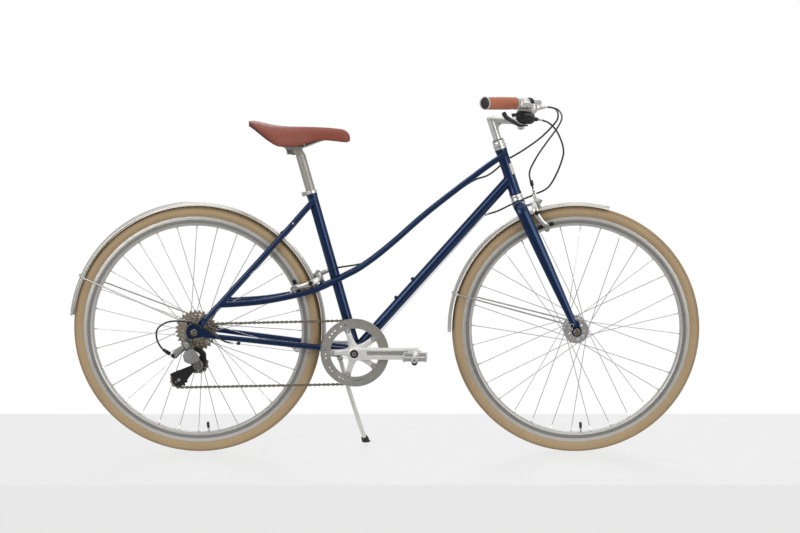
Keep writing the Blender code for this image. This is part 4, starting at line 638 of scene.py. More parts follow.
class Shape:
    """Faces drawn in millimetres, with a map of the distance along and around each surface."""

    def __init__(self) -> None:
        """Starts without faces, with the first finish as ink."""
        self.points: list[Sequence[float]] = []
        self.faces: list[tuple[int, ...]] = []
        self.lays: list[tuple[float, float]] = []
        self.inks: list[int] = []
        self.ink = 0

    def face(self, corners: Sequence[int], lay: Sequence[tuple[float, float]]) -> None:
        """Adds one face.

        Args:
            corners: numbers of its points.
            lay: the map's value at each corner.
        """
        self.faces.append(tuple(corners))
        self.lays.extend(lay)
        self.inks.append(self.ink)

    def skin(
        self, rings: Sequence[Sequence[Sequence[float]]], closed: bool = True, loop: bool = False,
        caps: bool = True
    ) -> None:
        """Joins rings of points with quads.

        Args:
            rings: lines with equally many points.
            closed: whether each ring's last point joins its first.
            loop: whether the last ring joins the first.
            caps: whether the ends of a closed ring are filled.
        """
        grid = np.array([[tuple(p) for p in ring] for ring in rings], float)
        rows, count = grid.shape[:2]
        start = len(self.points)
        self.points.extend(map(tuple, grid.reshape(-1, 3)))
        middle = grid.mean(axis=1)
        steps = np.linalg.norm(np.roll(middle, -1, axis=0) - middle, axis=1)
        if not closed:
            steps = np.linalg.norm(np.roll(grid, -1, axis=0) - grid, axis=2).max(axis=1)
        along = np.concatenate([[0.0], np.cumsum(steps)])
        sizes = np.linalg.norm(np.roll(grid, -1, axis=1) - grid, axis=2).mean(axis=0)
        across = np.concatenate([[0.0], np.cumsum(sizes)])
        for i in range(rows if loop else rows - 1):
            after = (i + 1) % rows
            for j in range(count if closed else count - 1):
                k = (j + 1) % count
                here, there = start + i * count, start + after * count
                low, high, near, far = along[i], along[i + 1], across[j], across[j + 1]
                lay = ((low, near), (low, far), (high, far), (high, near))
                self.face((here + j, here + k, there + k, there + j), lay)
        if caps and closed and not loop:
            for i in (0, rows - 1):
                corners = [start + i * count + j for j in range(count)]
                self.face(corners if i else corners[::-1], [(across[j], 0.0) for j in range(count)])

    def tube(
        self, route: Sequence[Sequence[float]], radius: Radius, sides: int = 16,
        section: Optional[Flat] = None, loop: bool = False, hint: Sequence[float] = (0.0, 0.0, 1.0)
    ) -> None:
        """Sweeps a circle, or another section, along a route.

        Args:
            route: points to follow.
            radius: one radius, or one for each point, each a number or a pair for the section's two axes.
            sides: points round a circle.
            section: unit outline used instead of a circle.
            loop: whether the route closes on itself.
            hint: rough direction of the section's first axis.
        """
        path = [Vector(point) for point in route]
        count = len(path)
        sizes = list(radius) if isinstance(radius, (list, tuple)) else [radius] * count
        outline = section or circle(1.0, sides=sides)
        ways = []
        for i in range(count):
            before = path[i - 1] if i or loop else path[i]
            after = path[(i + 1) % count] if i < count - 1 or loop else path[i]
            ways.append((after - before).normalized())
        side = Vector(hint) - ways[0] * Vector(hint).dot(ways[0])
        side = side.normalized() if side.length > 1e-4 else ways[0].orthogonal().normalized()
        rings = []
        for i in range(count):
            if i:
                side = ways[i - 1].rotation_difference(ways[i]) @ side
            side = (side - ways[i] * side.dot(ways[i])).normalized()
            other = ways[i].cross(side)
            wide, high = sizes[i] if isinstance(sizes[i], (list, tuple)) else (sizes[i], sizes[i])
            rings.append([path[i] + side * u * wide + other * v * high for u, v in outline])
        self.skin(rings, loop=loop)

    def rod(
        self, start: Sequence[float], end: Sequence[float], radius: float,
        end_radius: Optional[float] = None, sides: int = 24, soft: float = 0.5
    ) -> None:
        """A straight round bar with softened ends.

        Args:
            start: middle of one end.
            end: middle of the other.
            radius: radius at the start.
            end_radius: radius at the end.
            sides: points round it.
            soft: size of the softened edge.
        """
        length = (Vector(end) - Vector(start)).length
        other = radius if end_radius is None else end_radius
        soft = min(soft, radius / 2, other / 2, length / 3)
        profile = [
            (0, 0), (radius - soft, 0), (radius, soft), (other, length - soft), (other - soft, length),
            (0, length)
        ]
        self.revolve(profile, start, Vector(end) - Vector(start), sides)

    def revolve(
        self, profile: Flat, origin: Sequence[float], axis: Sequence[float], steps: int = 48,
        ring: bool = False, start: float = 0.0, sweep: float = 360.0,
        hint: Sequence[float] = (1.0, 0.0, 0.0)
    ) -> None:
        """Turns a profile of radius and height about an axis.

        Args:
            profile: points as radius and height.
            origin: the point at height 0 on the axis.
            axis: the axis.
            steps: number of steps round.
            ring: whether the profile is a closed loop.
            start: first angle in degrees, from the hint.
            sweep: how far to turn.
            hint: direction of angle 0.
        """
        spot = aim(origin, axis, hint)
        whole = sweep >= 360.0
        turns = [math.radians(start + sweep * i / steps) for i in range(steps if whole else steps + 1)]
        rings = [[spot @ Vector((r * math.cos(a), r * math.sin(a), h)) for r, h in profile] for a in turns]
        self.skin(rings, closed=ring, loop=whole)

    def plate(
        self, outline: Flat, thickness: float, spot: Matrix, holes: Sequence[Flat] = (), soft: float = 0.4
    ) -> None:
        """A flat plate with softened edges.

        Args:
            outline: its edge.
            thickness: its thickness, half to each side of the frame's plane.
            spot: its frame.
            holes: edges of its holes.
            soft: size of the softened edge.
        """
        loops = [list(outline) if area(outline) > 0 else list(outline)[::-1]]
        loops += [list(hole) if area(hole) < 0 else list(hole)[::-1] for hole in holes]
        half = thickness / 2
        soft = min(soft, half * 0.8)
        levels = ((-half, soft), (-half + soft, 0.0), (half - soft, 0.0), (half, soft))
        for loop in loops:
            rings = []
            for z, move in levels:
                edge = inset(loop, move) if move else loop
                rings.append([spot @ Vector((x, y, z)) for x, y in edge])
            self.skin(rings, caps=False)
        flat = [[Vector((x, y, 0.0)) for x, y in inset(loop, soft)] for loop in loops]
        corners = [point for loop in flat for point in loop]
        for height, turned in ((half, False), (-half, True)):
            start = len(self.points)
            self.points.extend(tuple(spot @ Vector((p.x, p.y, height))) for p in corners)
            for triangle in tessellate_polygon(flat):
                order = triangle[::-1] if turned else triangle
                self.face([start + i for i in order], [(corners[i].x, corners[i].y) for i in order])

    def block(self, spot: Matrix, size: Sequence[float], corner: float = 1.5, soft: float = 0.6) -> None:
        """A box with round corners in its frame."""
        radius = min(corner, size[0] / 2.1, size[1] / 2.1)
        self.plate(oblong(size[0], size[1], radius), size[2], spot, soft=soft)

    def bolt(
        self, place: Sequence[float], out: Sequence[float], radius: float = 4.0, height: float = 4.0,
        socket: float = 2.2
    ) -> None:
        """A round bolt head with a hexagonal socket.

        Args:
            place: middle of the head's seat.
            out: direction that the head faces.
            radius: the head's radius.
            height: the head's height.
            socket: radius of the socket.
        """
        way = Vector(out).normalized()
        hint = X if abs(way.x) < 0.9 else Z
        spot = aim(Vector(place) + way * height / 2, out, hint)
        self.plate(circle(radius, sides=20), height, spot, [circle(socket, sides=6)], soft=0.5)
        self.rod(place, Vector(place) + way * height * 0.3, radius * 0.9, sides=12)

    def nut(self, place: Sequence[float], out: Sequence[float], radius: float, height: float) -> None:
        """A hexagonal nut with turned faces."""
        out = Vector(out).normalized()
        self.plate(circle(radius, sides=6), height, aim(Vector(place) + out * height / 2, out, Z), soft=0.7)

    def weld(
        self, start: Vector, way: Vector, radius: float, origin: Vector, axis: Vector, onto: float,
        bead: float = 1.7
    ) -> None:
        """A bead where one tube meets another.

        Args:
            start: a point on the first tube's middle line, outside the second tube.
            way: the first tube's direction, towards the second.
            radius: the first tube's radius.
            origin: a point on the second tube's middle line.
            axis: the second tube's direction.
            onto: the second tube's radius.
            bead: the bead's radius.
        """
        way, axis = way.normalized(), axis.normalized()
        u = way.orthogonal().normalized()
        v = way.cross(u)
        route = []
        for i in range(40):
            a = 2 * math.pi * i / 40
            ray = start + (u * math.cos(a) + v * math.sin(a)) * radius
            across = (ray - origin) - axis * (ray - origin).dot(axis)
            slope = way - axis * way.dot(axis)
            p, q, r = slope.dot(slope), across.dot(slope), across.dot(across) - onto**2
            reach = q * q - p * r
            if reach < 0:
                return
            route.append(ray + way * ((-q - math.sqrt(reach)) / p))
        sizes = [bead * (1 + 0.1 * math.sin(i * 2.4)) for i in range(40)]
        self.tube(route, sizes, 8, loop=True)

    def build(
        self, name: str, finishes: Union[Finish, Sequence[Finish]], body: Optional[str],
        replaces: Sequence[str] = (), angle: float = 34.0, cuts: int = 0
    ) -> bpy.types.Object:
        """Makes the object, in its place and on its body.

        Args:
            name: the piece's name.
            finishes: its finish, or one for each ink.
            body: the body it rides on, or None where it rides on none.
            replaces: CAD nodes it stands for.
            angle: edges sharper than this stay sharp.
            cuts: levels of subdivision.
        Returns:
            The object.
        """
        finishes = [finishes] if isinstance(finishes, Finish) else list(finishes)
        mesh = bpy.data.meshes.new(name)
        turn, shift = np.array(RIG.place.to_3x3()), np.array(RIG.place.translation)
        spots = np.array(self.points, float) @ turn.T + shift
        mesh.from_pydata(spots, [], self.faces)
        mesh.uv_layers.new(name="lay").data.foreach_set("uv", np.array(self.lays, np.float32).ravel())
        mesh.polygons.foreach_set("material_index", self.inks)
        bm = bmesh.new()
        bm.from_mesh(mesh)
        bmesh.ops.remove_doubles(bm, verts=bm.verts, dist=2e-6)
        bmesh.ops.recalc_face_normals(bm, faces=bm.faces)
        bm.to_mesh(mesh)
        bm.free()
        mesh.shade_smooth()
        mesh.set_sharp_from_angle(angle=math.radians(angle))
        for finish in finishes:
            mesh.materials.append(finish.made())
        obj = bpy.data.objects.new(name, mesh)
        bpy.context.scene.collection.objects.link(obj)
        if cuts:
            step = obj.modifiers.new("smooth", "SUBSURF")
            step.levels = step.render_levels = cuts
        if replaces:
            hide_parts(*replaces)
        if body:
            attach(obj, body)
        log.info("%s: %d faces on %s", name, len(mesh.polygons), body)
        return obj


def side_frame(centre: Sequence[float], degrees: float = 0.0) -> Matrix:
    """A frame in the side view that faces the right-hand side, with its X turned up from straight ahead."""
    turn = math.radians(degrees)
    return aim(centre, -Y, (math.cos(turn), 0.0, math.sin(turn)))


def thread(radius: float, length: float, pitch: float = 1.0, deep: float = 0.35) -> list:
    """The profile of a threaded end, as radius and height.

    Args:
        radius: outer radius.
        length: its length.
        pitch: distance between ridges.
        deep: depth of a groove.
    Returns:
        The profile, closed at the far end.
    """
    count = max(2, round(length / pitch))
    made = []
    for i in range(count):
        made += [(radius - deep, i * length / count), (radius, (i + 0.5) * length / count)]
    return [*made, (radius - deep, length), (0.0, length)]


@dataclass
class Wheel:
    """A wheel: tyre, rim, laced spokes, hub and axle.

    The hub's flanges are given as distance from the middle and radius, for the right and then the left.
    """

    end: str
    axle: Vector
    body: str
    carrier: str
    right: tuple[float, float]
    left: tuple[float, float]
    barrel: float
    face: float
    nut: float
    phase: float
    section: float = 17.5
    blocks: int = 181
    spokes: int = 32
    crossings: int = 3
    rim_inner: float = 291.0

    def build(self) -> None:
        """Makes all of the wheel's pieces."""
        self.tyre()
        self.rim()
        self.lacing()
        self.hub()
        self.axle_ends()

    def tread_height(self, angle: float, share: float) -> float:
        """The tyre's section radius at one place.

        Args:
            angle: degrees from the middle of the tread.
            share: place within one tread block, from 0 to 1.
        Returns:
            The radius.
        """
        rib, groove, shoulder = 4.0, 11.0, 22.0
        off = abs(angle)
        if off < rib or groove < off < shoulder:
            return self.section
        if off <= groove:
            return self.section - 0.9
        slant = (share + off / 60.0) % 1.0
        return self.section - (1.1 if slant > 0.62 else 0.0)

    def tyre(self) -> None:
        """A tyre with ribbed tread and plain walls."""
        shape = Shape()
        middle = TYRE_RADIUS - self.section
        steps = self.blocks * 4
        edge = 54.0
        tread = [-edge, -53.0, -46.0, -38.0, -30.0, -23.0, -21.5, -12.0, -10.5, -6.0, -4.5, 0.0]
        tread += [-angle for angle in reversed(tread[:-1])]

        def ring(angles: Sequence[float], turn: float, share: float, wall: bool) -> list[Vector]:
            """Points of one section of the tyre.

            Args:
                angles: degrees from the middle of the tread.
                turn: the section's place round the wheel.
                share: its place within one tread block.
                wall: whether it is the wall or the tread.
            Returns:
                The points.
            """
            spot = []
            for angle in angles:
                radius = self.section - 0.7 if wall else self.tread_height(angle, share)
                if wall and 92.0 < abs(angle) < 100.0:
                    radius += 0.35
                a = math.radians(angle)
                spot.append(around(self.axle, middle + radius * math.cos(a), turn, radius * math.sin(a)))
            return spot

        turns = [(360.0 * i / steps, (i % 4) / 4) for i in range(steps)]
        shape.ink = 1
        rings = []
        for turn, share in turns:
            line = ring(tread, turn, share, False)
            rings.append([*ring([-edge], turn, share, True), *line, *ring([edge], turn, share, True)])
        shape.skin(rings, closed=False, loop=True)
        shape.ink = 0
        for side in (RIGHT, LEFT):
            wall = [
                side * a for a in (edge, 62.0, 72.0, 82.0, 91.0, 94.0, 98.0, 101.0, 110.0, 119.0, 127.0)
            ]
            bead = [(317.6, 12.7), (316.0, 11.0)]
            rings = []
            for turn in (360.0 * i / 240 for i in range(240)):
                low = [around(self.axle, r, turn, side * y) for r, y in bead]
                rings.append([*ring(wall, turn, 0.0, True), *low])
            shape.skin(rings, closed=False, loop=True)
        shape.build(f"{self.end}_tyre_rubber", (Tint.TYRE, Tint.TREAD), self.body, [f"{self.end}_tyre"])

    def rim(self) -> None:
        """A box rim with turned brake tracks, a darker band on each flank as painted reflection, eyelets and
        a valve.
        """
        bed = self.rim_inner
        half = [
            (0.0, 0.0), (0.0, 5.0), (0.8, 7.4), (5.6, 11.3), (6.6, 12.0), (7.2, 12.0), (7.4, 11.7),
            (16.6, 11.7)
        ]
        half += [(16.8, 12.0), (25.8, 12.0), (27.0, 11.4), (27.0, 9.8), (23.0, 9.2), (19.0, 7.0)]
        profile = [(bed + r, y) for r, y in half] + [(bed + r, -y) for r, y in reversed(half[1:])]
        shape = Shape()
        shape.revolve(profile, self.axle, -Y, 200, ring=True)
        # a darker band on each flank: painted reflection
        shape.ink = 3
        for side in (RIGHT, LEFT):
            shape.revolve([(bed + r, side * 11.8) for r in (7.5, 16.5)], self.axle, Y, 200)
        shape.ink = 0
        for degrees, side in self.rim_holes():
            spot = around(self.axle, bed - 0.2, degrees, side * 2.5)
            turned = [(2.4, 1.0), (3.4, 0.8), (3.6, 0.0), (2.4, -0.8)]
            shape.revolve(turned, spot, self.axle - spot, 12, ring=True)
        shape.ink = 1
        valve = self.phase + 360.0 / self.spokes * 0.5 - 90.0
        spot = around(self.axle, bed + 1, valve)
        inward = (self.axle - spot).normalized()
        shape.revolve([(0, 0), (5.0, 0), (5.0, 1.6), (3.0, 2.2), (3.0, 3.0)], spot, inward, 20)
        shape.revolve([(3.0, 0.0), *thread(3.0, 22.0, 1.4)], spot + inward * 3, inward, 16)
        shape.ink = 2
        turned = [(0, 9), (3.7, 9), (3.9, 10), (3.9, 23), (3.2, 25), (0, 25)]
        shape.revolve(turned, spot + inward * 3, inward, 16)
        finishes = (Tint.RIM, Tint.STEEL, Tint.RUBBER, Tint.REFLECTION_BAND)
        shape.build(f"{self.end}_rim_alloy", finishes, self.body, [f"{self.end}_rim"])

    def rim_holes(self) -> list[tuple[float, int]]:
        """The rim's spoke holes."""
        gap = 360.0 / self.spokes
        return [(self.phase + gap * i, RIGHT if i % 2 == 0 else LEFT) for i in range(self.spokes)]

    def lacing(self) -> None:
        """Spokes with elbows and heads, and their nipples."""
        shape = Shape()
        gap = 720.0 / self.spokes
        for degrees, side in self.rim_holes():
            offset, flange = self.right if side == RIGHT else self.left
            radius = flange - 4.0
            index = round((degrees - self.phase) / gap - (0.5 if side == LEFT else 0.0))
            lead = side * (-1 if index % 2 else 1)
            hole = degrees - lead * self.crossings * gap
            seat = around(self.axle, radius, hole, side * (offset - lead * 2.3))
            out = around(self.axle, radius, hole, side * (offset + lead * 1.4))
            bed = around(self.axle, self.rim_inner + 1.0, degrees, side * 2.5)
            bend = around(self.axle, radius, hole, side * (offset + lead * 2.6))
            way = (bed - bend).normalized()
            shape.ink = 0
            route = [seat, out, bend + way * 1.0, bend + way * 2.6, bed - way * 11.0]
            shape.tube(route, 1.0, 8)
            shape.revolve([(0, 0), (1.3, 0), (1.9, 0.6), (1.6, 1.3), (0, 1.6)], seat, seat - out, 10)
            shape.ink = 1
            neck = bed - way * 13.0
            shape.revolve([(0, 0), (1.3, 0), (1.7, 0.6), (1.7, 6.0), (2.0, 7.0), (2.0, 13.0)], neck, way, 8)
        shape.build(f"{self.end}_spokes", (Tint.STEEL, Tint.BRIGHT), self.body)

    def hub(self) -> None:
        """The hub shell with its drilled flanges."""
        shape = Shape()
        large = self.right[1] > 30.0
        for side, (offset, radius) in ((RIGHT, self.right), (LEFT, self.left)):
            holes = [circle(1.3, p, 10) for p in circle(radius - 4.0, sides=self.spokes // 2)]
            if large:
                for i in range(8):
                    turn = math.radians(45.0 * i + 11.0)
                    u, v = (math.cos(turn), math.sin(turn)), (-math.sin(turn), math.cos(turn))
                    slot = oblong(8.5, 9.5, 3.6)
                    holes.append(
                        [(u[0] * (21.5 + a) + v[0] * b, u[1] * (21.5 + a) + v[1] * b) for a, b in slot]
                    )
            shape.plate(
                circle(radius, sides=72), 3.6, side_frame(self.axle + Y * side * offset), holes, 0.7
            )
        start, end = -self.left[0], self.right[0]
        barrel = self.barrel
        middle = [
            (barrel + 3.5, start + 1), (barrel + 1.2, start + 4), (barrel, start + 9), (barrel, end - 9)
        ]
        middle += [(barrel + 1.2, end - 4), (barrel + 3.5, end - 1)]
        ends = [
            (5.2, -self.face), (8.6, -self.face), (9.0, -self.face + 0.6), (9.0, start - 9),
            (10.5, start - 8)
        ]
        ends += [(10.5, start - 3), (barrel + 2.0, start - 1)]
        if large:
            tail = [
                (barrel + 2.0, end + 1), (10.5, end + 3), (10.5, end + 8), (9.0, end + 9),
                (9.0, self.face - 0.6)
            ]
            tail += [(8.6, self.face), (5.2, self.face)]
        else:
            tail = [(barrel, end + 2), (9.0, end + 3), (9.0, self.face), (5.2, self.face)]
        shape.revolve([*ends, *middle, *tail], self.axle, -Y, 64)
        shape.build(f"{self.end}_hub_shell", Tint.BRIGHT, self.body, [f"{self.end}_hub"])

    def axle_ends(self) -> None:
        """The threaded axle with washers and nuts."""
        shape = Shape()
        for side in (RIGHT, LEFT):
            out = Y * side
            seat = self.axle + out * self.nut
            shape.ink = 0
            shape.revolve([(0, 0), (4.7, 0), (4.7, 4)], self.axle + out * (self.nut - 6), out, 24)
            shape.revolve([(4.5, 2.0), *thread(4.7, self.face + 14 - self.nut, 1.1)], seat, out, 24)
            turned = [(4.8, 0), (9.4, 0), (9.6, 0.3), (9.6, 1.4), (9.2, 1.8), (4.8, 1.8)]
            shape.revolve(turned, seat, out, 32, ring=True)
            shape.ink = 1
            shape.nut(seat + out * 1.8, out, 9.4, 7.0)
            shape.revolve([(4.8, 8.8), (7.0, 8.8), (6.0, 9.4), (4.8, 9.4)], seat, out, 24, ring=True)
        shape.build(f"{self.end}_axle_nuts", (Tint.STEEL, Tint.CHAIN), self.carrier, [f"{self.end}_axle"])


MIXTE_ROUTE = (
    (416.0, 11.0, 836.0),
    (347.5, 12.6, 787.6),
    (208.0, 16.5, 680.3),
    (112.8, 20.0, 597.4),
    (55.0, 22.0, 550.0),
    (10.0, 22.8, 518.6),
    (-24.0, 23.0, 500.7),
    (-56.0, 23.4, 484.0),
    (-76.0, 26.0, 474.5),
    (-96.0, 31.0, 466.0),
    (-120.0, 33.5, 457.5),
    (-173.0, 38.0, 444.0),
    (-250.0, 45.0, 430.0),
    (-330.0, 52.0, 423.0),
    (-368.0, 55.5, 421.5),
)
SEAT_STAY_ROUTE = (
    (-112.0, 15.0, 709.5), (-150.0, 23.0, 667.0), (-203.0, 31.0, 607.5), (-411.5, 63.4, 381.0)
)
CHAIN_STAY_ROUTE = ((-12.0, 25.0, 289.5), (-84.0, 34.0, 298.0), (-414.0, 64.5, 337.5))
DOWN_TUBE_TOP = steering(HEAD_LOW + 48.0)
DOWN_TUBE_WAY = (DOWN_TUBE_TOP - BRACKET).normalized()
DOWN_TUBE_SIDE = Vector((-DOWN_TUBE_WAY.z, 0.0, DOWN_TUBE_WAY.x))
HANGER = Vector((-461.5, -67.5, 314.6))


@dataclass
class MainFrame:
    """The painted frame: main tubes, twin tubes, stays, dropouts and bosses."""

    head_radius: float = 16.0
    tube_radius: float = 14.3
    twin_radius: float = 8.0
    shell_radius: float = 20.0
    dropout_y: float = 67.5

    def build(self) -> None:
        """Makes the frame's pieces."""
        self.head()
        self.down()
        self.seat()
        self.shell()
        for side in (RIGHT, LEFT):
            self.twin(side)
            self.seat_stay(side)
            self.chain_stay(side)

    def head(self) -> None:
        """The head tube with both headset cups and a blank plate at its front."""
        shape = Shape()
        r = self.head_radius
        body = [
            (r + 0.9, 0.5), (r + 1.0, 1.5), (r + 1.0, 6.5), (r, 9.0), (r, 124.0), (r + 1.0, 126.5),
            (r + 1.0, 131.5)
        ]
        turned = [(13.0, 0.0), *body, (r + 0.9, 132.5), (13.0, 133.0)]
        shape.revolve(turned, steering(HEAD_LOW), STEER_UP, 64)
        shape.weld(BRACKET, DOWN_TUBE_WAY, self.tube_radius, steering(0), STEER_UP, r)
        for side in (RIGHT, LEFT):
            start, end = (mirrored(MIXTE_ROUTE[i], side) for i in (1, 0))
            shape.weld(start, end - start, self.twin_radius, steering(0), STEER_UP, r, 1.4)
        shape.ink = 1
        low = [
            (13.0, -7.6), (17.0, -7.6), (18.0, -6.8), (18.0, -3.0), (17.4, -2.2), (17.4, -1.0), (16.6, 0.2),
            (13, 0.2)
        ]
        shape.revolve(low, steering(HEAD_LOW), STEER_UP, 64, ring=True)
        shape.revolve([(r, 133.0 - h) for r, h in low], steering(HEAD_LOW), STEER_UP, 64, ring=True)
        shape.ink = 2
        spot = aim(steering(468.0), STEER_UP, STEER_FORWARD)
        rings = []
        for height in (0.0, 0.6, 15.0, 30.4, 31.0):
            reach = 58.0 if 0.0 < height < 31.0 else 55.0
            turns = [math.radians(-reach + 2 * reach * i / 24) for i in range(25)]
            edge = [r + (0.2 if i in (0, 24) or reach < 58 else 0.7) for i in range(25)]
            rings.append(
                [spot @ Vector((e * math.cos(a), e * math.sin(a), height)) for e, a in zip(edge, turns)]
            )
        shape.skin(rings, closed=False)
        shape.build("head_tube_painted", (Tint.PAINT, Tint.BRIGHT, Tint.PLATE), "frame", ["head_tube"])

    def down(self) -> None:
        """The down tube with its bottle bosses."""
        shape = Shape()
        start = BRACKET + DOWN_TUBE_WAY * 17
        end = DOWN_TUBE_TOP - DOWN_TUBE_WAY * 8
        length = (end - start).length
        shape.tube([start + DOWN_TUBE_WAY * length * i / 24 for i in range(25)], self.tube_radius, 40)
        shape.weld(DOWN_TUBE_TOP, -DOWN_TUBE_WAY, self.tube_radius, BRACKET, Y, self.shell_radius)
        for distance in (185.0, 255.0):
            seat = BRACKET + DOWN_TUBE_WAY * distance + DOWN_TUBE_SIDE * (self.tube_radius - 0.6)
            ring = [(0, 0), (7.0, 0), (6.4, 1.2), (5.2, 1.8), (5.0, 3.6), (3.0, 3.6)]
            shape.ink = 0
            shape.revolve(ring, seat, DOWN_TUBE_SIDE, 28)
            shape.ink = 1
            shape.bolt(seat + DOWN_TUBE_SIDE * 3.2, DOWN_TUBE_SIDE, 4.2, 2.6, 2.0)
        shape.build("down_tube_painted", (Tint.PAINT, Tint.SATIN), "frame", ["down_tube"])

    def seat(self) -> None:
        """The seat tube and its clamp with a bolt behind."""
        shape = Shape()
        top = BRACKET + SEAT_UP * SEAT_TUBE_LENGTH
        shape.tube([BRACKET + SEAT_UP * (18 + 436.0 * i / 20) for i in range(21)], self.tube_radius, 40)
        shape.weld(top, -SEAT_UP, self.tube_radius, BRACKET, Y, self.shell_radius)
        shape.revolve([(14.3, -9), (15.2, -8), (15.2, -1.5), (13.4, -1.2)], top, SEAT_UP, 48)
        shape.ink = 1
        collar = fillet([(13.5, 0.0), (16.2, 0.0), (16.2, 9.0), (13.5, 9.0)], 0.8, True)
        shape.revolve(collar, top, SEAT_UP, 56, ring=True)
        back = SEAT_UP.cross(Y).normalized()
        back = back if back.x < 0 else -back
        middle = top + SEAT_UP * 4.5
        for side in (RIGHT, LEFT):
            shape.block(
                aim(middle + back * 20.5 + Y * side * 4.4, SEAT_UP, back), (12.0, 6.0, 12.0), 2.0, 0.8
            )
            shape.bolt(middle + back * 21.5 + Y * side * 7.2, Y * side, 4.2, 3.4, 2.1)
        shape.rod(middle + back * 21.5 - Y * 8, middle + back * 21.5 + Y * 8, 2.5)
        shape.build("seat_tube_painted", (Tint.PAINT, Tint.SILVER), "frame", ["seat_tube"])

    def shell(self) -> None:
        """The bottom bracket shell, its cups and the stand's plate."""
        shape = Shape()
        r = self.shell_radius
        profile = [(r - 2.4, -34), (r - 0.8, -34), (r, -33), (r, 33), (r - 0.8, 34), (r - 2.4, 34)]
        shape.revolve(profile, BRACKET, -Y, 64)
        for side in (RIGHT, LEFT):
            start = mirrored(CHAIN_STAY_ROUTE[1], side)
            shape.weld(start, mirrored(CHAIN_STAY_ROUTE[0], side) - start, 8.4, BRACKET, Y, r, 1.4)
        shape.block(aim((-36.0, 6.0, 275.0), Z, X), (46.0, 20.0, 5.0), 4.0, 1.0)
        shape.block(aim((-54.0, 14.0, 274.0), Z, X), (34.0, 36.0, 8.0), 6.0, 1.4)
        shape.rod((-54.0, 28.0, 272.0), (-54.0, 39.6, 272.0), 9.0, soft=1.0)
        shape.ink = 1
        for side in (RIGHT, LEFT):
            seat = BRACKET + Y * side * 34
            turned = [(9.6, 0), (17.6, 0), (17.6, 2.0), (16.2, 3.6), (12.5, 4.0), (11.5, 3.0), (9.4, 3.0)]
            shape.revolve(turned, seat, Y * side, 48)
            for i in range(8):
                notch = around(seat + Y * side * 3.4, 14.4, 45.0 * i)
                shape.block(side_frame(notch, 45.0 * i), (3.4, 2.2, 1.2), 0.5, 0.3)
        shape.build("bracket_shell_painted", (Tint.PAINT, Tint.SATIN), "frame", ["bottom_bracket_shell"])

    def twin(self, side: int) -> None:
        """One of the twin tubes from the head tube to the rear axle.

        Args:
            side: RIGHT or LEFT.
        """
        shape = Shape()
        route = smooth_route([mirrored(point, side) for point in MIXTE_ROUTE], 12.0)
        shape.tube(route, self.twin_radius, 28)
        name = SIDE_NAMES[side]
        start, end = (mirrored(SEAT_STAY_ROUTE[i], side) for i in (2, 3))
        last = route[-1]
        shape.weld(route[-4], last - route[-4], self.twin_radius, start, end - start, 8.0, 1.3)
        seat_y = BRACKET + SEAT_UP * ((515.0 - BRACKET.z) / SEAT_UP.z)
        shape.rod(seat_y + Y * side * 12, seat_y + Y * side * 18, 5.0)
        shape.weld(seat_y + Y * side * 30, -Y * side, 5.4, BRACKET, SEAT_UP, self.tube_radius, 1.2)
        if side == RIGHT:
            for spot, reach in ((REAR_CALIPER.bridge(), 31.0), (Vector((250.0, 0.0, 712.8)), 15.0)):
                shape.rod(spot - Y * reach, spot + Y * (reach - 8), 6.0 if reach > 20 else 4.0)
            seat = REAR_CALIPER.seat()
            shape.rod(seat, seat - REAR_CALIPER.off * 9, 6.5, soft=0.8)
        shape.build(f"twin_tube_{name}", Tint.PAINT, "frame", [f"mixte_tube_{name}"])

    def seat_stay(self, side: int) -> None:
        """One seat stay, from the seat tube to its dropout.

        Args:
            side: RIGHT or LEFT.
        """
        shape = Shape()
        route = [mirrored(point, side) for point in SEAT_STAY_ROUTE]
        line = smooth_route(route, 10.0)
        sizes = [8.0 - 1.2 * (i / len(line)) ** 3 for i in range(len(line))]
        shape.tube(line, sizes, 28)
        shape.rod(route[-1], mirrored((-424.0, 66.5, 356.0), side), 6.8, 5.0, soft=1.6)
        shape.weld(route[1], route[0] - route[1], 8.0, BRACKET, SEAT_UP, self.tube_radius, 1.4)
        seat = route[1].lerp(route[2], 0.36)
        turned = [(0, 3), (6.4, 3), (6.2, 7.6), (5.2, 8.2), (5.0, 10.5), (2.6, 10.5), (2.4, 8)]
        shape.revolve(turned, seat, Y * side, 24)
        shape.ink = 1
        shape.revolve([(0, 8.5), (2.5, 8.5), (2.5, 10.9), (0, 10.9)], seat, Y * side, 16)
        shape.ink = 0
        if side == RIGHT:
            spot = around(REAR_AXLE, BRIDGE_RADIUS, 48.3)
            shape.rod(spot - Y * 30, spot + Y * 30, 6.0)
        name = SIDE_NAMES[side]
        shape.build(f"seat_stay_{name}_painted", (Tint.PAINT, Tint.PLATE), "frame", [f"seat_stay_{name}"])

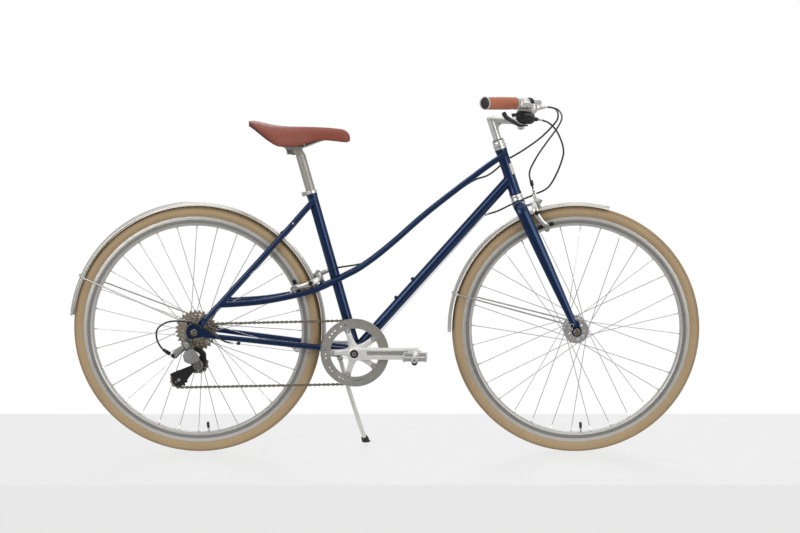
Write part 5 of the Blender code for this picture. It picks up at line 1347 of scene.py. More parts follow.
    def chain_stay(self, side: int) -> None:
        """One chain stay with its dropout.

        Args:
            side: RIGHT or LEFT.
        """
        shape = Shape()
        line = smooth_route([mirrored(point, side) for point in CHAIN_STAY_ROUTE], 12.0)
        line = [p for p in line if p.x < -13.0]
        sizes = [(8.6 - 1.6 * i / len(line), 8.6 - 1.6 * i / len(line)) for i in range(len(line))]
        shape.tube(line, sizes, 28)
        outline = [
            (-9, -19), (-17, -16), (-21, -6), (-21, 5), (-18, 15), (-11, 22), (0, 25), (11, 26), (26, 43),
            (33, 38)
        ]
        outline += [(19, 20), (34, 8), (48, 4), (47, -9), (20, -13), (3, -14)]
        spot = side_frame(REAR_AXLE + Y * side * self.dropout_y)
        shape.plate(fillet(outline, 6.0, True, 4), 5.0, spot, [circle(5.0, sides=28)], 1.0)
        if side == RIGHT:
            shape.ink = 1
            hanger = [
                (-3, -13), (-8, -28), (-9.3, -37.4), (-19.3, -41.4), (-29.3, -33.4), (-26.3, -22.4),
                (-21, -8)
            ]
            shape.plate(fillet(hanger, 6.0, True, 4), 4.4, spot, [circle(4.2, (-19.3, -31.4), 24)], 1.0)
            shape.ink = 0
        eyelet = REAR_AXLE + Vector((-8.0, side * self.dropout_y, 17.0))
        shape.plate(circle(6.0, sides=24), 5.0, side_frame(eyelet), [circle(2.6, sides=16)], 0.9)
        if side == RIGHT:
            bridge = around(REAR_AXLE, BRIDGE_RADIUS, -6.0)
            shape.rod(bridge - Y * 32, bridge + Y * 32, 6.0)
        name = SIDE_NAMES[side]
        shape.build(f"chain_stay_{name}_painted", (Tint.PAINT, Tint.GREY), "frame", [f"chain_stay_{name}"])


class CaliperPlace:
    """Where one caliper brake sits."""

    layer: float = 11.0
    hold_height: float = 27.0
    hold_offset: float = 20.0
    lead: float = 4.0
    pad_radius: float = 304.4

    def __init__(self, axle: Vector, degrees: float, sense: int, standoff: float) -> None:
        """Sets the caliper over its wheel.

        Args:
            axle: the wheel's axle.
            degrees: where the caliper stands round the wheel.
            sense: 1 or -1, for the way its arms face.
            standoff: how far its pivot stands off that way.
        """
        spot = around(axle, 373.0, degrees)
        self.inwards = (axle - spot).normalized()
        self.off = Vector((-self.inwards.z, 0.0, self.inwards.x)) * sense
        self.pivot = spot + self.off * standoff
        self.pad = around(axle, self.pad_radius, degrees) + self.off * self.lead

    def level(self, side: int) -> Vector:
        """The middle of an arm's boss."""
        return self.pivot - self.off * (self.layer if side == RIGHT else 0.0)

    def hold(self) -> Vector:
        """The upper end of the left arm, which holds the cable."""
        return self.level(LEFT) - self.inwards * self.hold_height + Y * self.hold_offset

    def bridge(self) -> Vector:
        """The middle of the bridge behind the rear caliper."""
        return self.pivot - self.off * 25.0

    def seat(self) -> Vector:
        """Where the caliper's bolt meets the frame or the fork."""
        return self.pivot - self.off * 16.6


REAR_CALIPER = CaliperPlace(REAR_AXLE, 22.6, -1, 11.0)
FRONT_CALIPER = CaliperPlace(FRONT_AXLE, 107.0, 1, 0.0)

STEM_CORNER = steering(629.5)
BAR_CLAMP = STEM_CORNER + Vector((82.0, 0.0, -3.0))
GRIP_END = Vector((358.0, 286.0, 976.0))
BAR_SWEEP = math.radians(46.0)
BAR_WAY = Vector((math.sin(BAR_SWEEP), -math.cos(BAR_SWEEP), 0.0)).normalized()
BAR_AHEAD = Vector((math.cos(BAR_SWEEP), math.sin(BAR_SWEEP), 0.0))
BARREL_WAY = (BAR_WAY * 13 + BAR_AHEAD * 5).normalized()
BRACKET_SPOT = 147.0
SHIFTER_SPOT = 166.0


def on_bar(distance: float, side: int) -> Vector:
    """A point on the bar's straight end."""
    return mirrored(GRIP_END + BAR_WAY * distance, side)


def lever_pivot(side: int) -> Vector:
    """The pivot of a brake lever."""
    return on_bar(BRACKET_SPOT, side) + mirrored(BAR_AHEAD, side) * 32 - Z * 11


def lever_outlet(side: int) -> Vector:
    """Where a brake cable leaves its bracket."""
    return lever_pivot(side) + mirrored(BAR_WAY * 28 + BAR_AHEAD * 11, side)


@dataclass
class Fork:
    """The fork with its crown, blades and dropouts, and the headset's upper end."""

    crown: float = 392.0
    blade_gap: float = 41.0
    foot_gap: float = 53.0
    blade_top: float = 17.7
    blade_foot: float = 8.8
    blade_wide: float = 12.6
    blade_thin: float = 6.6

    def build(self) -> None:
        """Makes the fork and the headset."""
        self.fork()
        self.headset()

    def fork(self) -> None:
        """The painted fork."""
        shape = Shape()
        shape.rod(steering(380), steering(560), 12.7, soft=0.8)
        turned = [(12.8, 380.0), (18.5, 383.0), (17.6, 390.0), (16.5, 393.5), (12.8, 393.6)]
        shape.revolve(turned, steering(0), STEER_UP, 48, ring=True)
        for side in (RIGHT, LEFT):
            start = steering(self.crown, 0.0, side * self.blade_gap)
            foot = FRONT_AXLE + Vector((-6.0, side * self.foot_gap, 16.0))
            shoulder = [
                steering(380.0, 0.0, side * 1.0), steering(380.5, 0.0, side * 14.0),
                steering(377.0, 0.0, side * 28.0)
            ]
            blade = [start.lerp(foot, i / 24) for i in range(3, 25)]
            route = smooth_route([*shoulder, start.lerp(foot, 0.07), *blade], 9.0)
            sizes = []
            for t in shares(route):
                deep = self.blade_top + (self.blade_foot - self.blade_top) * t**1.9
                flat = self.blade_wide + (self.blade_thin - self.blade_wide) * t**0.9
                tip = 1.0 if t < 0.985 else 0.86
                sizes.append((deep * tip, flat * tip))
            shape.tube(route, sizes, 36, hint=STEER_FORWARD)
            outline = [*arc(14.2, -215, 35, 22), (5, 30), (-15, 32)]
            spot = side_frame(FRONT_AXLE + Y * side * (self.foot_gap - 0.5))
            shape.plate(outline, 5.0, spot, [circle(4.9, sides=28)], 1.2)
            eyelet = FRONT_AXLE + Vector((-9.0, side * (self.foot_gap - 0.5), 14.0))
            shape.plate(circle(6.0, sides=24), 5.0, side_frame(eyelet), [circle(2.6, sides=16)], 0.9)
        seat = FRONT_CALIPER.seat()
        shape.ink = 1
        shape.rod(seat, seat - FRONT_CALIPER.off * 16, 5.0, soft=0.8)
        race = [
            (12.9, 394.0), (17.2, 394.0), (17.8, 395.0), (17.8, 398.0), (17.0, 400.0), (16.4, 402.8),
            (12.9, 402.8)
        ]
        shape.revolve(race, steering(0), STEER_UP, 56, ring=True)
        shape.build("fork_painted", (Tint.PAINT, Tint.BRIGHT), "steering", ["fork"])

    def headset(self) -> None:
        """The headset's turned top race and locknut, with painted shade in the recess round the quill."""
        shape = Shape()
        foot = steering(552.4)
        rows = [
            (13.0, 0.0), (17.6, 0.0), (18.2, 0.7), (18.2, 5.2), (17.4, 6.0), (16.2, 6.3), (16.2, 7.6),
            (13.0, 7.6)
        ]
        shape.revolve(rows, foot, STEER_UP, 56, ring=True)
        rows = [(13.0, 7.9), (16.6, 7.9), (17.2, 8.6), (17.2, 10.6), (16.8, 11.2), (16.8, 12.0)]
        shape.revolve([*rows, (17.0, 15.0), (16.4, 15.8), (12.0, 15.8)], foot, STEER_UP, 56, ring=True)
        # the ring between the locknut and the quill is near-black, painted shade of the recess
        shape.ink = 1
        turned = [(11.0, 15.9), (15.6, 15.9), (15.2, 18.2), (13.0, 19.2), (11.0, 19.2)]
        shape.revolve(turned, foot, STEER_UP, 48, ring=True)
        shape.ink = 0
        for i in range(24):
            turn = math.radians(15.0 * i)
            way = STEER_FORWARD * math.cos(turn) + Y * math.sin(turn)
            spot = steering(561.8) + way * 17.1
            shape.block(aim(spot, way, STEER_UP), (2.4, 1.4, 0.7), 0.4, 0.2)
        shape.build("headset_turned", (Tint.BRIGHT, Tint.RECESS_SHADE), "steering", ["headset_top"])


@dataclass
class Cockpit:
    """Stem, handlebar, grips, brake brackets and levers, and the shifter with its levers."""

    bar_radius: float = 11.1
    clamp_radius: float = 12.7
    grip_radius: float = 17.0
    grip_length: float = 114.0

    def build(self) -> None:
        """Makes the pieces."""
        self.stem()
        self.bar()
        for side in (RIGHT, LEFT):
            self.grip(side)
            self.bracket(side)
            self.lever(side)
        self.shifter()
        self.thumb()
        self.release()

    def stem(self) -> None:
        """The quill stem, bent forwards to its bar clamp."""
        shape = Shape()
        ahead = (BAR_CLAMP - STEM_CORNER).normalized()
        shape.rod(steering(558.0), STEM_CORNER + STEER_UP * 9.0, 11.1, sides=44, soft=3.4)
        reach = [STEM_CORNER + ahead * d for d in (-6.0, 8.0, 22.0, 36.0, 46.0, 54.0, 60.0, 66.0)]
        shape.tube(reach, [10.9, 10.9, 10.6, 10.4, 10.2, 10.4, 11.2, 12.4], 40)
        web = [(8, -6), (36, -10), (27, -13), (22.5, -19), (21.8, -31), (12, -26)]
        shape.plate(web, 13.0, side_frame(STEM_CORNER), soft=4.0)
        rows = [(12.9, -18.2), (16.2, -19.0), (17.2, -18.0), (17.2, 18.0), (16.2, 19.0), (12.9, 18.2)]
        shape.revolve(rows, BAR_CLAMP, Y, 56, ring=True)
        for low in (-15.6, -20.6):
            shape.block(aim(BAR_CLAMP + Z * low + X * 1.0, Z, X), (21.0, 16.0, 4.0), 3.0, 0.9)
        shape.bolt(BAR_CLAMP + Vector((1.0, 0.0, -22.6)), -Z, 4.6, 3.0, 2.4)
        shape.build("stem_forged", Tint.SILVER, "steering", ["stem"])

    def bar(self) -> None:
        """The swept handlebar."""
        shape = Shape()
        c = BAR_CLAMP
        left = [on_bar(d, LEFT) for d in (2.0, 60.0, 120.0, 160.0, 178.0)]
        bend = [
            (500.0, 134.0, 977.0), (498.0, 104.0, 969.0), (482.0, 70.0, 948.0), (c.x + 6, 46.0, c.z + 6),
            (c.x, 28.0, c.z)
        ]
        left += [Vector(p) for p in bend]
        line = smooth_route([*left, c, *[mirrored(p, RIGHT) for p in reversed(left)]], 6.0)
        sizes = []
        for p in line:
            near = min(max((34.0 - abs(p.y)) / 5.0, 0.0), 1.0)
            sizes.append(self.bar_radius + (self.clamp_radius - self.bar_radius) * near)
        shape.tube(line, sizes, 32)
        shape.build("bar_swept", Tint.SILVER, "steering", ["handlebar"])

    def grip(self, side: int) -> None:
        """A stitched leather grip between two rings, with an end cap.

        Args:
            side: RIGHT or LEFT.
        """
        shape = Shape()
        way = mirrored(BAR_WAY, side)
        start = on_bar(0.0, side)
        r = self.grip_radius
        profile = [(11.3, 3.0), (r - 2.4, 3.0), (r - 1.2, 4.0)]
        for i in range(33):
            t = i / 32
            swell = 0.9 * math.sin(math.pi * t) - 0.25 * (1 - math.cos(2 * math.pi * t * 11)) / 2
            profile.append((r - 1.4 + swell, 5.0 + t * (self.grip_length - 12.0)))
        profile += [
            (r - 1.2, self.grip_length - 5.5), (r - 2.4, self.grip_length - 4.5),
            (11.3, self.grip_length - 4.5)
        ]
        shape.revolve(profile, start, way, 64, ring=True, hint=Z)
        shape.ink = 1
        for i in range(30):
            spot = start + way * (8.0 + i * 4.0)
            under = -Z + way * Z.dot(way)
            under.normalize()
            across = way.cross(under)
            base = spot + under * (r - 0.55)
            shape.tube([base - across * 2.4, base + under * 0.35, base + across * 2.4 + way * 1.6], 0.45, 6)
        shape.ink = 2
        ring = self.grip_length - 4.3
        rows = [
            (11.4, ring), (16.2, ring), (16.8, ring + 0.6), (16.8, ring + 3.6), (16.2, ring + 4.2),
            (11.4, ring + 4.2)
        ]
        shape.revolve(rows, start, way, 48, ring=True)
        turned = [(11.4, 0.4), (16.8, 0.4), (17.4, 1.0), (17.4, 3.4), (16.8, 4.0), (11.4, 4.0)]
        shape.revolve(turned, start, way, 48, ring=True)
        shape.ink = 3
        turned = [(0, -2.6), (9.6, -2.3), (13.8, -1.4), (15.6, 0.2), (15.6, 2.0), (0, 2.0)]
        shape.revolve(turned, start, way, 48)
        name = SIDE_NAMES[side]
        finishes = (Tint.GRIP, Tint.THREAD, Tint.SILVER, Tint.BLACK)
        shape.build(f"grip_{name}_leather", finishes, "steering", [f"grip_{name}"])

    def bracket(self, side: int) -> None:
        """A brake lever's bracket with its barrel adjuster.

        Args:
            side: RIGHT or LEFT.
        """
        shape = Shape()
        way, ahead = mirrored(BAR_WAY, side), mirrored(BAR_AHEAD, side)
        centre, pivot = on_bar(BRACKET_SPOT, side), lever_pivot(side)
        rows = [
            (11.3, -28.0), (14.6, -28.6), (15.4, -27.6), (15.4, -17.0), (14.0, -15.5), (14.0, -10.0),
            (15.0, -8.5)
        ]
        shape.revolve([*rows, (15.0, 7.2), (14.2, 8.0), (11.3, 7.2)], centre, way, 44, ring=True)
        under = way.cross(ahead) if way.cross(ahead).z < 0 else -way.cross(ahead)
        shape.bolt(centre - ahead * 14.0 + under * 2.0, -ahead, 3.4, 3.2, 1.8)
        neck = [
            centre + ahead * 10 - Z * 4, centre + ahead * 19 - Z * 8 + way * 2, pivot + way * 6 - ahead * 4
        ]
        line = smooth_route(neck, 3.0)
        shape.tube(line, [(9.0 - 0.25 * i, 6.8) for i in range(len(line))], 24, hint=way)
        for face in (-1, 1):
            spot = aim(pivot + Z * face * 6.1, Z, way)
            plate = [(-9, -8), (8, -8), (22, -5), (22, 7), (2, 9), (-9, 6)]
            outline = [(a, b * (1 if side == LEFT else -1)) for a, b in plate]
            outline = outline if area(outline) > 0 else outline[::-1]
            shape.plate(fillet(outline, 5.0, True, 4), 3.6, spot, [circle(2.2, sides=16)], 0.9)
        shape.bolt(pivot + Z * 7.8, Z, 4.2, 1.8, 1.9)
        shape.rod(pivot - Z * 9.4, pivot - Z * 7.6, 4.0, soft=0.4)
        outlet = lever_outlet(side)
        barrel = mirrored(BARREL_WAY, side)
        shape.revolve([(0, -22), (6.4, -22), (6.8, -18), (6.4, -13.5), (4.8, -13)], outlet, barrel, 28)
        shape.ink = 1
        rows = [
            (4.4, -12.6), *knurl(6, 1.7, (5.6, -12), (5.0, -11.2)), (5.2, -1.6), (3.8, -0.6), (2.7, -0.6),
            (2.7, -4)
        ]
        shape.revolve(rows, outlet, barrel, 24)
        name = SIDE_NAMES[side]
        finishes = (Tint.SILVER, Tint.BRIGHT)
        shape.build(f"brake_bracket_{name}_cast", finishes, "steering", [f"brake_bracket_{name}"])

    def lever(self, side: int) -> None:
        """A brake lever: a flattened blade with a rolled end.

        Args:
            side: RIGHT or LEFT.
        """
        shape = Shape()
        way, ahead = mirrored(BAR_WAY, side), mirrored(BAR_AHEAD, side)
        pivot = lever_pivot(side)
        ring = on_bar(BRACKET_SPOT, side) - Z * 6
        route = [pivot, pivot + ahead * 10 - way * 14]
        offsets = ((50.0, 27.0, 0.0), (60.0, 44.0, 2.0), (68.0, 68.0, 3.0), (74.0, 88.0, 2.0))
        route += [ring + ahead * a - way * w + Z * z for a, w, z in offsets]
        line = smooth_route(route, 4.0)
        sizes = []
        for t in shares(line):
            tip = 1.0 - max(0.0, (t - 0.94) / 0.06) ** 2 * 0.55
            sizes.append(((3.6 + 2.6 * t) * tip * 1.12, (3.3 + 1.1 * t) * tip * 0.8))
        shape.tube(line, sizes, 24, hint=Z)
        shape.rod(pivot - Z * 3.9, pivot + Z * 3.9, 9.0, sides=32, soft=0.9)
        name = SIDE_NAMES[side]
        body = f"brake_lever_{name}_body"
        shape.build(f"brake_lever_{name}_blade", Tint.SILVER, body, [f"brake_lever_{name}"])

    def pod(self) -> Vector:
        """The middle of the shifter's body."""
        return on_bar(SHIFTER_SPOT, RIGHT) + Vector((-9.0, 2.0, -42.0))

    def shifter(self) -> None:
        """The shifter under the right grip's inner end."""
        shape = Shape()
        pod = self.pod()
        spot = aim(pod, Y, X)
        body = [(-26, -18), (-20, -22), (10, -20), (24, -11), (24, 6), (14, 14), (-12, 13.5), (-26, 4)]
        shape.plate(fillet(body, 6, True, 5), 30.0, spot, soft=5.0)
        lid = [(-19, -9), (12, -9), (20, -3), (17, 7), (-12, 9.5), (-19, 4)]
        shape.plate(fillet(lid, 4, True, 4), 33.0, spot, soft=1.4)
        shape.ink = 1
        rows = [(11.4, -4.4), (14.4, -5.0), (15.0, -4.2), (15.0, 4.2), (14.4, 5.0), (11.4, 4.4)]
        shape.revolve(rows, on_bar(SHIFTER_SPOT, RIGHT), mirrored(BAR_WAY, RIGHT), 44, ring=True)
        turned = [(0, 0), (6.0, 0), (6.4, 1), (6.4, 4), (5.0, 4.6), (0, 4.6)]
        shape.revolve(turned, pod + Vector((4, -16.4, -2)), -Y, 28)
        shape.ink = 2
        badge = fillet([(-4, -15.5), (14, -15.5), (25, -7), (22, -3), (10, -8), (-2, -9)], 2.4, True, 3)
        shape.plate(badge, 33.6, spot, soft=1.2)
        shape.ink = 3
        hood = [
            (-24, 20), (-16, 12), (2, 10), (14, 12), (22, 17), (22, 24), (14, 31), (-2, 35), (-15, 34),
            (-23, 28)
        ]
        hood = fillet([(x, -z) for x, z in hood], 5.0, True, 4)
        shape.plate(hood, 20.0, aim(pod + Y * 3.0, Y, X), soft=4.0)
        shape.ink = 0
        outlet = pod + Vector((33.0, 0.0, -1.0))
        rows = [
            (5.0, -12.0), *knurl(5, 1.8, (5.6, -10.5), (5.0, -9.7)), (4.4, -1.2), (3.6, -0.6), (2.7, -0.6),
            (2.7, -4)
        ]
        shape.revolve(rows, outlet, X, 24)
        finishes = (Tint.BLACK, Tint.SATIN, Tint.GREY, Tint.CAST)
        shape.build("shifter_moulded", finishes, "steering", ["shifter_pod"])

    def thumb(self) -> None:
        """The shifter's thumb lever."""
        shape = Shape()
        pivot = self.pod() + Vector((-6.0, -4.0, -17.2))
        turned = [(0, -2.4), (10.2, -2.4), (11.0, -1.6), (11.0, 1.6), (10.2, 2.4), (0, 2.4)]
        shape.revolve(turned, pivot, Z, 36)
        route = [(-4, -4, -1), (-14, -10, 1), (-26, -18, 9), (-38, -25, 16), (-48, -30, 23), (-55, -34, 35)]
        line = smooth_route([pivot + Vector(p) for p in route], 4.0)
        sizes = []
        for t in shares(line):
            tip = 1.0 if t < 0.97 else 0.6
            sizes.append(((3.6 + 3.2 * t) * tip, (3.4 + 2.4 * t) * tip))
        shape.tube(line, sizes, 20, hint=Z)
        shape.build("thumb_lever_moulded", Tint.BLACK, "thumb_lever", ["shift_lever_thumb"])

    def release(self) -> None:
        """The shifter's release lever."""
        shape = Shape()
        pivot = self.pod() + Vector((-16.0, -19.6, 6.0))
        shape.revolve([(0, -2.8), (5.4, -2.8), (6.0, -2.0), (6.0, 2.0), (5.4, 2.8), (0, 2.8)], pivot, Y, 28)
        route = [pivot, pivot + Vector((-13, -3, 5)), pivot + Vector((-22, -5, 3))]
        line = smooth_route(route, 3.0)
        shape.tube(line, [(2.6, 3.0 + 0.3 * i) for i in range(len(line))], 16, hint=Y)
        shape.build("release_lever_moulded", Tint.SATIN, "release_lever", ["shift_lever_release"])


@dataclass
class Mudguard:
    """A mudguard with rolled edges and its wire stay."""

    end: str
    axle: Vector
    carrier: str
    start: float
    finish: float
    eyelet: Vector
    stay_angle: float
    crown: float = 8.0
    wall: float = 1.2
    wire: float = 2.3

    def build(self) -> None:
        """Makes the mudguard and its stay."""
        self.guard()
        self.stay()

    def section(self, tip: float) -> list[tuple[float, float]]:
        """The closed section as radius and offset.

        Args:
            tip: how much the section is shrunk at an end.
        Returns:
            The section.
        """
        half = GUARD_WIDTH / 2
        rows = [-1 + 2 * i / 20 for i in range(21)]
        outer = [(GUARD_RADIUS + self.wall / 2 - self.crown * v * v, half * v) for v in rows]
        inner = [
            (GUARD_RADIUS - self.wall / 2 - self.crown * v * v, half * v * 0.985) for v in reversed(rows)
        ]
        bead = 0.9
        left = [
            (outer[-1][0] - 0.2, half + 0.1), (outer[-1][0] - 1.4, half + 0.2),
            (inner[0][0] - bead, half - 0.7)
        ]
        right = [(r, -y) for r, y in reversed(left)]
        return [(r, y * tip) for r, y in [*outer, *left, *inner, *right]]

    def guard(self) -> None:
        """The guard itself with the bolts that hold it."""
        shape = Shape()
        steps = 96
        rings = []
        for i in range(steps + 1):
            turn = self.start + (self.finish - self.start) * i / steps
            reach = min(i, steps - i) / steps * abs(self.finish - self.start)
            tip = 1.0 if reach > 3.0 else 0.72 + 0.28 * math.sin(math.pi / 2 * reach / 3.0)
            rings.append([around(self.axle, r, turn, y) for r, y in self.section(tip)])
        shape.skin(rings)
        shape.ink = 1
        out = (around(self.axle, 1.0, self.stay_angle) - self.axle).normalized()
        for side in (RIGHT, LEFT):
            seat = around(self.axle, GUARD_RADIUS + 0.4, self.stay_angle + 0.1, side * 7.0)
            shape.bolt(seat, out, 3.4, 3.0, 1.8)
        finishes = (Tint.GUARD, Tint.STEEL)
        shape.build(f"{self.end}_mudguard_rolled", finishes, self.carrier, [f"{self.end}_mudguard"])

    def stay(self) -> None:
        """The wire stay: one bent wire from eyelet to eyelet, over the guard."""
        shape = Shape()
        half = [self.eyelet]
        for radius, y in ((342.8, 29.5), (354.3, 23.0), (359.6, 10.75)):
            half.append(around(self.axle, radius, self.stay_angle, -y))
        top = around(self.axle, 360.8, self.stay_angle)
        points = [*half, top, *[Vector((p.x, -p.y, p.z)) for p in reversed(half)]]
        line = [points[0]]
        for a, b, c in zip(points, points[1:], points[2:]):
            bend = min(7.0, (b - a).length * 0.4, (c - b).length * 0.4)
            first, last = b + (a - b).normalized() * bend, b + (c - b).normalized() * bend
            line += [first.lerp(b, t).lerp(b.lerp(last, t), t) for t in (0.0, 0.25, 0.5, 0.75, 1.0)]
        line.append(points[-1])
        shape.tube(line, self.wire, 16)
        left = (self.eyelet.x, -self.eyelet.y, self.eyelet.z)
        eyes = {side: mirrored(left, side) for side in (RIGHT, LEFT)}
        for eye in eyes.values():
            shape.tube([around(eye, 4.4, 30.0 * i) for i in range(12)], 1.9, 12, loop=True)
        shape.ink = 1
        for side, eye in eyes.items():
            shape.bolt(eye + Y * side * 1.4, Y * side, 4.6, 3.2, 2.1)
            shape.rod(eye + Y * side * 1.6, eye - Y * side * 3.0, 2.4, soft=0.3)
        finishes = (Tint.STEEL, Tint.SATIN)
        shape.build(f"{self.end}_stay_wire", finishes, self.carrier, [f"{self.end}_mudguard_stay"])


RING_TEETH = 44
SPROCKET_TEETH = (11, 13, 15, 17, 19, 21, 24, 28)
PULLEY_TEETH = 11
SPROCKET_GAP = 4.8
GUIDE_PULLEY = Vector((-430.0, -SPROCKET_LINE, 257.0))
TENSION_PULLEY = Vector((-486.0, -SPROCKET_LINE, 214.0))


def pitch_radius(teeth: int) -> float:
    """The radius of a wheel's pitch circle."""
    return PITCH / 2 / math.sin(math.pi / teeth)


def toothed(teeth: int, tip: float = 1.9, root: float = 3.8, phase: float = 0.0) -> list:
    """The outline of a toothed wheel.

    Args:
        teeth: number of teeth.
        tip: how far a tooth stands above the pitch circle.
        root: how far the gap between teeth lies below it.
        phase: the first gap's angle in degrees.
    Returns:
        The closed outline.
    """
    radius = pitch_radius(teeth)
    steps = (
        (0.0, -root), (0.13, -root * 0.92), (0.24, -root * 0.45), (0.33, 0.6), (0.42, tip * 0.9), (0.5, tip)
    )
    half = [*steps, *[(1 - share, rise) for share, rise in reversed(steps[1:-1])]]
    made = []
    for i in range(teeth):
        for share, rise in half:
            turn = math.radians(phase + 360.0 * (i + share) / teeth)
            made.append(((radius + rise) * math.cos(turn), (radius + rise) * math.sin(turn)))
    return made


def chain_route() -> list[Vector]:
    """The chain's closed pitch line: arcs on its four wheels, which straight stretches join.

    Returns:
        Its points.
    """
    wheels = (
        (BRACKET, pitch_radius(RING_TEETH), 1, CHAIN_LINE),
        (REAR_AXLE, pitch_radius(SPROCKET_TEETH[0]), 1, SPROCKET_LINE),
        (GUIDE_PULLEY, pitch_radius(PULLEY_TEETH), -1, SPROCKET_LINE),
        (TENSION_PULLEY, pitch_radius(PULLEY_TEETH), 1, SPROCKET_LINE),
    )
    leaving, arriving = [], []
    for wheel, following in zip(wheels, wheels[1:] + wheels[:1]):
        gap = following[0] - wheel[0]
        tilt = math.asin((wheel[1] * wheel[2] - following[1] * following[2]) / math.hypot(gap.x, gap.z))
        turn = math.atan2(gap.z, gap.x) + tilt
        leaving.append(turn - math.pi / 2 * wheel[2])
        arriving.append(turn - math.pi / 2 * following[2])
    arriving = arriving[-1:] + arriving[:-1]
    points = []
    for (centre, radius, sense, offset), start, end in zip(wheels, arriving, leaving):
        sweep = (end - start) * sense % (2 * math.pi)
        pieces = max(8, round(sweep / math.radians(3)))
        for index in range(pieces + 1):
            turn = math.degrees(start + sense * sweep * index / pieces)
            points.append(around(Vector((centre.x, -offset, centre.z)), radius, turn))
    return points


